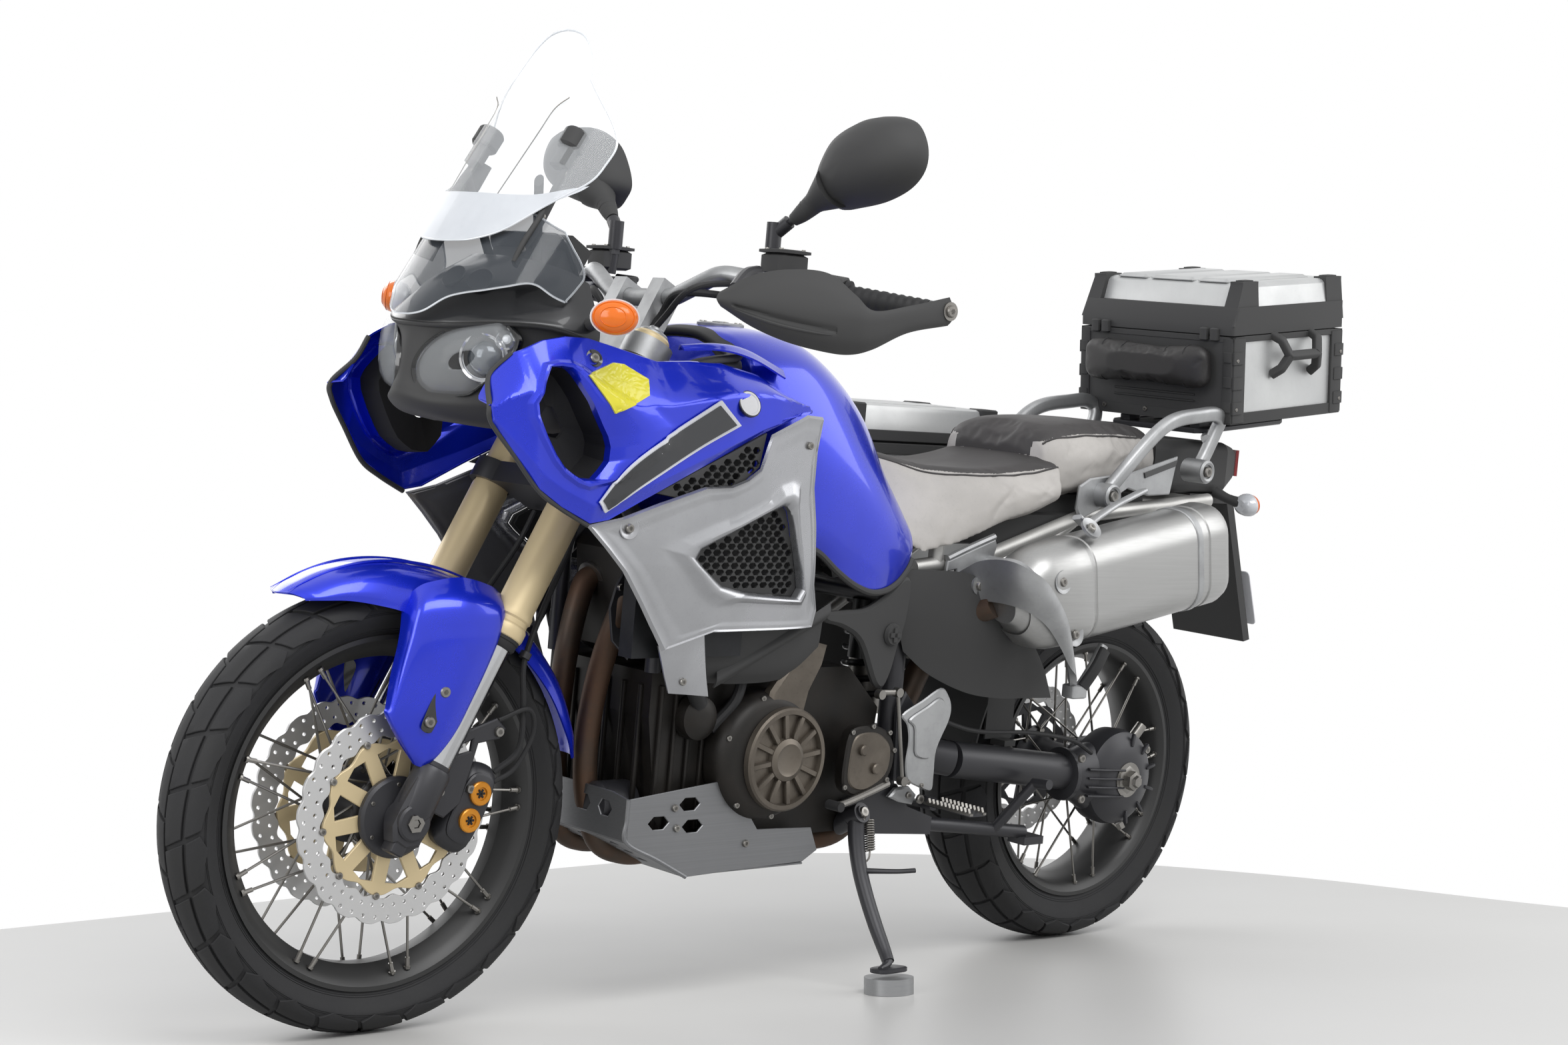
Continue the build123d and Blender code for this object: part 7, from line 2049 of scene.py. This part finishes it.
def side_case():
    """The right side case: pale aluminium in black corner mouldings, its lid with a rib and corners."""
    core = bars_round((4, -443, 604), (396, -236, 886), 4, 1)
    posts = total(block((x, y, 600), (x + 34, y + 30, 888), 4) for x in (0, 366) for y in (-447, -262))
    bands = block((0, -447, 600), (400, -232, 622), 4) + bars_round((0, -447, 868), (400, -232, 888), 9, 2)
    bands = bands + bars_round((12, -435, 866), (388, -244, 893), 3, 0.8)
    catches = total(block((x, -452, 846), (x + 40, -444, 882), 3) for x in (60, 300))
    piece("side_case_shell", [(core, "box_silver"), (posts + bands + catches, "black_plastic")], UPRIGHT,
        "chassis", ["side_case_body"])
    lip = bars_round((0, -447, 892), (400, -232, 912), 8, 2)
    deck = closed([level(rounded(396 - k, 211 - k, 12) + (200, -339.5), z)
                   for k, z in ((0, 908), (6, 946), (14, 955), (30, 958))])
    corners = total(block((x, y, 910), (x + 46, y + 40, 960), 5) for x in (0, 354) for y in (-447, -272))
    ribs = total(block((70, y, 955), (330, y + 26, 960), 4) for y in (-400, -352, -304))
    piece("side_case_cover", [(deck + ribs, "box_silver"), (lip + corners, "black_plastic")], UPRIGHT,
          "side_case_lid", ["side_case_lid"])


def cockpit():
    """The clocks behind the screen: a glossy face, a dial with plain ticks and a small display."""
    face = plate([rounded(190, 96, 26, 8)], 5, 1.5)
    dial = lathe([(36, -1), (41, 2), (41, 5), (36, 6)], 48, "z", True).shift(-38, 0)
    ticks = total(block((-1, 27, 2.2), (1, 34, 3.4), 0.4).turn("z", a)
        for a in range(-130, 131, 20)).shift(-38, 0)
    window = plate([rounded(74, 56, 6)], 2, 0.6).shift(48, 0, 3)
    seat_at = placing((1318, 0, 1150), (0, -1, 0), (0.5, 0, 0.87), (-0.87, 0, 0.5))
    piece("clock_faces", [(face.at(seat_at), "gloss_black"), (dial.at(seat_at), "steel"),
                          (ticks.at(seat_at), "band_white"), (window.at(seat_at), "lamp_core")],
          UPRIGHT, "chassis")


CAD_FINISHES = {
    "handlebar": "cast_silver", "lower_fork_clamp": "black_metal", "upper_fork_clamp": "cast_silver",
    "main_frame": "black_metal", "subframe": "frame_silver", "crankcase": "engine_black",
    "cylinders": "engine_black", "radiator": "radiator", "swingarm": "black_metal", "shock_absorber": "steel",
    "centre_stand": "black_metal", "stand_puck": "brushed", "rear_mudguards": "black_plastic",
    "tail_unit": "black_plastic", "cockpit": "black_plastic",
}


def carried_over():
    """Procedural finishes on every node of the frame that keeps its own shape."""
    for node, paint in CAD_FINISHES.items():
        made = frame["nodes"][node]
        made.data.materials.clear()
        made.data.materials.append(ink(paint))


# ---- stage -------------------------------------------------------------------------------------
def plain_material(name, tone):
    """The floor's pale, faintly mottled surface."""
    graph = Graph(name)
    mottle = graph.noise(1.4, 4)
    base = graph.mix(mottle, colour(tone), tuple(c * 0.97 for c in colour(tone)))
    material = graph.finish(Base_Color=base, Roughness=mottle * 0.14 + 0.3,
                            Normal=graph.bump(graph.noise(60.0, 3), 0.1, 0.2))
    return material


def white_world():
    """A soft grey light all round, which shows as white to the camera, in reflections and through glass."""
    world = bpy.data.worlds.new("studio")
    world.use_nodes = True
    tree = world.node_tree
    tree.nodes.clear()
    path = tree.nodes.new("ShaderNodeLightPath")
    rays = ("Is Camera Ray", "Is Glossy Ray", "Is Transmission Ray")
    share = path.outputs[rays[0]]
    for ray in rays[1:]:
        add = tree.nodes.new("ShaderNodeMath")
        add.operation = "MAXIMUM"
        tree.links.new(share, add.inputs[0])
        tree.links.new(path.outputs[ray], add.inputs[1])
        share = add.outputs[0]
    lit = tree.nodes.new("ShaderNodeBackground")
    lit.inputs["Color"].default_value = (0.93, 0.95, 1.0, 1.0)
    lit.inputs["Strength"].default_value = 0.62
    seen = tree.nodes.new("ShaderNodeBackground")
    seen.inputs["Color"].default_value = (1.0, 1.0, 1.0, 1.0)
    seen.inputs["Strength"].default_value = 1.0
    mix = tree.nodes.new("ShaderNodeMixShader")
    tree.links.new(share, mix.inputs[0])
    tree.links.new(lit.outputs[0], mix.inputs[1])
    tree.links.new(seen.outputs[0], mix.inputs[2])
    output = tree.nodes.new("ShaderNodeOutputWorld")
    tree.links.new(mix.outputs[0], output.inputs[0])
    bpy.context.scene.world = world


def softbox(name, at, target, size, power):
    """A rectangular lamp that looks at a point."""
    data = bpy.data.lights.new(name, "AREA")
    data.shape = "RECTANGLE"
    data.size, data.size_y = size
    data.energy = power
    lamp = bpy.data.objects.new(name, data)
    at, target = np.array(at, float), np.array(target, float)
    matrix = facing(at, at - target)
    lamp.matrix_world = [list(row) for row in matrix.T]
    bpy.context.scene.collection.objects.link(lamp)


def stage():
    """The floor, the world, the lamps and the camera at the parked machine's front left."""
    far = smooth([(2.4, -1.56), (1.2, -1.52), (0.2, -1.54), (-0.7, -1.62), (-1.3, -1.5), (-1.66, -1.0),
        (-1.78, -0.4), (-1.74, 0.2), (-1.7, 1.2), (-1.66, 2.4)], 60)
    reach = np.linspace(0, 1, 12)[:, None, None]
    rows = far + (np.array([9.0, 9.0]) + (far - far.mean(0)) * 5 - far) * reach
    floor = grid(np.concatenate([rows, np.zeros(rows.shape[:2] + (1,))], -1), False)
    mesh = bpy.data.meshes.new("floor")
    mesh.from_pydata(floor.points.tolist(), [], floor.quads.tolist())
    mesh.materials.append(plain_material("floor_grey", "c4c3c0"))
    ground = bpy.data.objects.new("floor", mesh)
    bpy.context.scene.collection.objects.link(ground)
    white_world()
    softbox("key", (1.2, 3.4, 4.2), (0, 0, 0.6), (3.6, 2.4), 150)
    softbox("front", (4.4, 0.4, 2.2), (0.5, 0, 0.6), (2.0, 2.6), 60)
    softbox("fill", (-3.2, 2.6, 2.4), (-0.3, 0, 0.6), (2.6, 2.6), 50)
    softbox("back", (0.0, -4.2, 3.2), (0, 0, 0.7), (3.6, 2.0), 60)
    camera = bpy.data.cameras.new("camera")
    camera.sensor_width = 36
    camera.lens = 61.41
    camera.clip_end = 60
    eye = bpy.data.objects.new("camera", camera)
    eye.location = (3.119, 3.174, 0.672)
    eye.rotation_euler = tuple(math.radians(a) for a in (91.091, 0, 136.586))
    bpy.context.scene.collection.objects.link(eye)
    bpy.context.scene.camera = eye
    bpy.context.scene.view_settings.view_transform = "Standard"


# ---- add-on ------------------------------------------------------------------------------------
class TourerSizes(bpy.types.PropertyGroup):
    """Sizes that an owner might change."""
    front_tread: bpy.props.FloatProperty(
        name="Front tread depth", description="Depth of the front tyre's grooves", default=0.004, min=0.001,
        max=0.008, unit="LENGTH")
    rear_tread: bpy.props.FloatProperty(
        name="Rear tread depth", description="Depth of the rear tyre's grooves", default=0.005, min=0.001,
        max=0.009, unit="LENGTH")
    screen_wall: bpy.props.FloatProperty(
        name="Screen thickness", description="Thickness of both windscreens", default=0.0034, min=0.002,
        max=0.005, unit="LENGTH")
    seat_swell: bpy.props.FloatProperty(
        name="Seat filling", description="How far the filling may push a saddle's cover out", default=0.006,
        min=0.0, max=0.012, unit="LENGTH")
    header_radius: bpy.props.FloatProperty(
        name="Header radius", description="Radius of the exhaust pipes at the cylinders", default=0.019,
        min=0.015, max=0.022, unit="LENGTH")


class TourerColours(bpy.types.PropertyGroup):
    """Colours that an owner might choose."""
    body_paint: bpy.props.FloatVectorProperty(name="Body paint",
        description="Lacquer of the tank, scoops and fender", subtype="COLOR", size=3, min=0, max=1,
        default=colour("0f2bd0"))
    side_panel: bpy.props.FloatVectorProperty(name="Side panels",
        description="Silver of the panels beside the tank", subtype="COLOR", size=3, min=0, max=1,
        default=colour("a9aaad"))
    fork_tube: bpy.props.FloatVectorProperty(name="Fork tubes",
        description="Anodised finish of the fork tubes and brake carriers", subtype="COLOR", size=3, min=0,
        max=1, default=colour("9b8b45"))
    seat_side: bpy.props.FloatVectorProperty(
        name="Seat sides", description="Vinyl of the saddles' sides", subtype="COLOR", size=3, min=0, max=1,
        default=colour("b4b0ab"))
    patch: bpy.props.FloatVectorProperty(
        name="Scoop patch", description="Plain patch on each scoop", subtype="COLOR", size=3, min=0, max=1,
        default=colour("d8cf22"))


class BuildWheels(bpy.types.Operator):
    """Builds both tyres with their tread, the rims, spokes, hubs and brake rings"""
    bl_idname = "tourer.wheels"
    bl_label = "Wheels"

    def execute(self, context):
        front_wheel()
        rear_wheel()
        return {"FINISHED"}


class BuildForkParts(bpy.types.Operator):
    """Builds the fork tubes, sliders and clamps"""
    bl_idname = "tourer.fork_parts"
    bl_label = "Fork"

    def execute(self, context):
        fork()
        fork_clamps()
        return {"FINISHED"}


class BuildFrontBrakes(bpy.types.Operator):
    """Builds the front calipers, brackets and hoses"""
    bl_idname = "tourer.front_brakes"
    bl_label = "Front brakes"

    def execute(self, context):
        brakes()
        return {"FINISHED"}


class BuildFender(bpy.types.Operator):
    """Builds the beaked front fender with its side cheeks"""
    bl_idname = "tourer.fender"
    bl_label = "Front fender"

    def execute(self, context):
        front_fender()
        return {"FINISHED"}


class BuildWindscreens(bpy.types.Operator):
    """Builds the tall clear screen, the smoked lower one and their arms"""
    bl_idname = "tourer.windscreens"
    bl_label = "Screens"

    def execute(self, context):
        screens()
        return {"FINISHED"}


class BuildNoseMask(bpy.types.Operator):
    """Builds the brow, the mask and the headlamps"""
    bl_idname = "tourer.nose_mask"
    bl_label = "Nose"

    def execute(self, context):
        nose()
        headlamps()
        return {"FINISHED"}


class BuildIndicators(bpy.types.Operator):
    """Builds the four turn signals"""
    bl_idname = "tourer.indicators"
    bl_label = "Turn signals"

    def execute(self, context):
        signals()
        return {"FINISHED"}


class BuildMirrorSet(bpy.types.Operator):
    """Builds the mirrors on their stems"""
    bl_idname = "tourer.mirror_set"
    bl_label = "Mirrors"

    def execute(self, context):
        mirrors()
        return {"FINISHED"}


class BuildControls(bpy.types.Operator):
    """Builds the grips, levers, housings, clocks and hand guards"""
    bl_idname = "tourer.controls"
    bl_label = "Bar and controls"

    def execute(self, context):
        bars()
        handguards()
        cockpit()
        return {"FINISHED"}


class BuildSideSkins(bpy.types.Operator):
    """Builds the blue scoops and the silver panels with their grilles"""
    bl_idname = "tourer.side_skins"
    bl_label = "Scoops and side panels"

    def execute(self, context):
        scoops()
        side_panels()
        return {"FINISHED"}


class BuildTankSkin(bpy.types.Operator):
    """Builds the tank, its trim and its filler cap"""
    bl_idname = "tourer.tank_skin"
    bl_label = "Fuel tank"

    def execute(self, context):
        tank()
        return {"FINISHED"}


class BuildSaddles(bpy.types.Operator):
    """Builds the padded saddles and the roll on the top box"""
    bl_idname = "tourer.saddles"
    bl_label = "Seats"

    def execute(self, context):
        seats()
        back_pad()
        return {"FINISHED"}


class BuildEngineParts(bpy.types.Operator):
    """Builds the covers, ribs, hoses and frame covers"""
    bl_idname = "tourer.engine_parts"
    bl_label = "Engine"

    def execute(self, context):
        engine()
        return {"FINISHED"}


class BuildExhaustParts(bpy.types.Operator):
    """Builds the header pipes and the silencer"""
    bl_idname = "tourer.exhaust_parts"
    bl_label = "Exhaust"

    def execute(self, context):
        exhaust()
        return {"FINISHED"}


class BuildUnderPlate(bpy.types.Operator):
    """Builds the slotted plate under the engine"""
    bl_idname = "tourer.under_plate"
    bl_label = "Under guard"

    def execute(self, context):
        skid()
        return {"FINISHED"}


class BuildFootPegs(bpy.types.Operator):
    """Builds both pairs of pegs with their castings and levers"""
    bl_idname = "tourer.foot_pegs"
    bl_label = "Foot pegs"

    def execute(self, context):
        pegs()
        return {"FINISHED"}


class BuildStand(bpy.types.Operator):
    """Builds the side stand with its spring"""
    bl_idname = "tourer.stand"
    bl_label = "Side stand"

    def execute(self, context):
        side_stand()
        return {"FINISHED"}


class BuildRearEnd(bpy.types.Operator):
    """Builds the final drive, the spring and the rear caliper"""
    bl_idname = "tourer.rear_end"
    bl_label = "Rear drive"

    def execute(self, context):
        rear_drive()
        return {"FINISHED"}


class BuildRackAndTail(bpy.types.Operator):
    """Builds the grab rails, the rack, the tail lamp and the blank plate"""
    bl_idname = "tourer.rack_and_tail"
    bl_label = "Rack and tail"

    def execute(self, context):
        rack()
        tail()
        return {"FINISHED"}


class BuildBoxes(bpy.types.Operator):
    """Builds the top box and the side case with their lids"""
    bl_idname = "tourer.boxes"
    bl_label = "Luggage boxes"

    def execute(self, context):
        top_box()
        side_case()
        return {"FINISHED"}


class BuildFrameFinishes(bpy.types.Operator):
    """Puts finishes on the nodes that keep their own shape"""
    bl_idname = "tourer.frame_finishes"
    bl_label = "Frame finishes"

    def execute(self, context):
        carried_over()
        return {"FINISHED"}


class BuildStudio(bpy.types.Operator):
    """Builds the floor, the light and the camera"""
    bl_idname = "tourer.studio"
    bl_label = "Stage"

    def execute(self, context):
        stage()
        return {"FINISHED"}


STEPS = (BuildWheels, BuildForkParts, BuildFrontBrakes, BuildFender, BuildWindscreens, BuildNoseMask,
         BuildIndicators, BuildMirrorSet, BuildControls, BuildSideSkins, BuildTankSkin, BuildSaddles,
         BuildEngineParts, BuildExhaustParts, BuildUnderPlate, BuildFootPegs, BuildStand, BuildRearEnd,
         BuildRackAndTail, BuildBoxes, BuildFrameFinishes, BuildStudio)


class TourerPanel(bpy.types.Panel):
    """The sidebar's list of sizes, colours and steps"""
    bl_label = "Adventure tourer"
    bl_idname = "VIEW3D_PT_tourer"
    bl_space_type = "VIEW_3D"
    bl_region_type = "UI"
    bl_category = "Tourer"

    def draw(self, context):
        """Lists the settings and a button for each step."""
        for settings in (context.scene.tourer_sizes, context.scene.tourer_colours):
            for name in type(settings).__annotations__:
                self.layout.prop(settings, name)
        for step in STEPS:
            self.layout.operator(step.bl_idname)


CLASSES = (TourerSizes, TourerColours) + STEPS + (TourerPanel,)


def register():
    """Registers the classes and hangs the settings on the scene."""
    for made in CLASSES:
        bpy.utils.register_class(made)
    bpy.types.Scene.tourer_sizes = bpy.props.PointerProperty(type=TourerSizes)
    bpy.types.Scene.tourer_colours = bpy.props.PointerProperty(type=TourerColours)


def unregister():
    """Takes the settings and the classes away again."""
    del bpy.types.Scene.tourer_colours
    del bpy.types.Scene.tourer_sizes
    for made in reversed(CLASSES):
        bpy.utils.unregister_class(made)


def main():
    """Runs every step in order."""
    register()
    for step in STEPS:
        group, name = step.bl_idname.split(".")
        getattr(getattr(bpy.ops, group), name)()


if __name__ == "__main__":
    main()
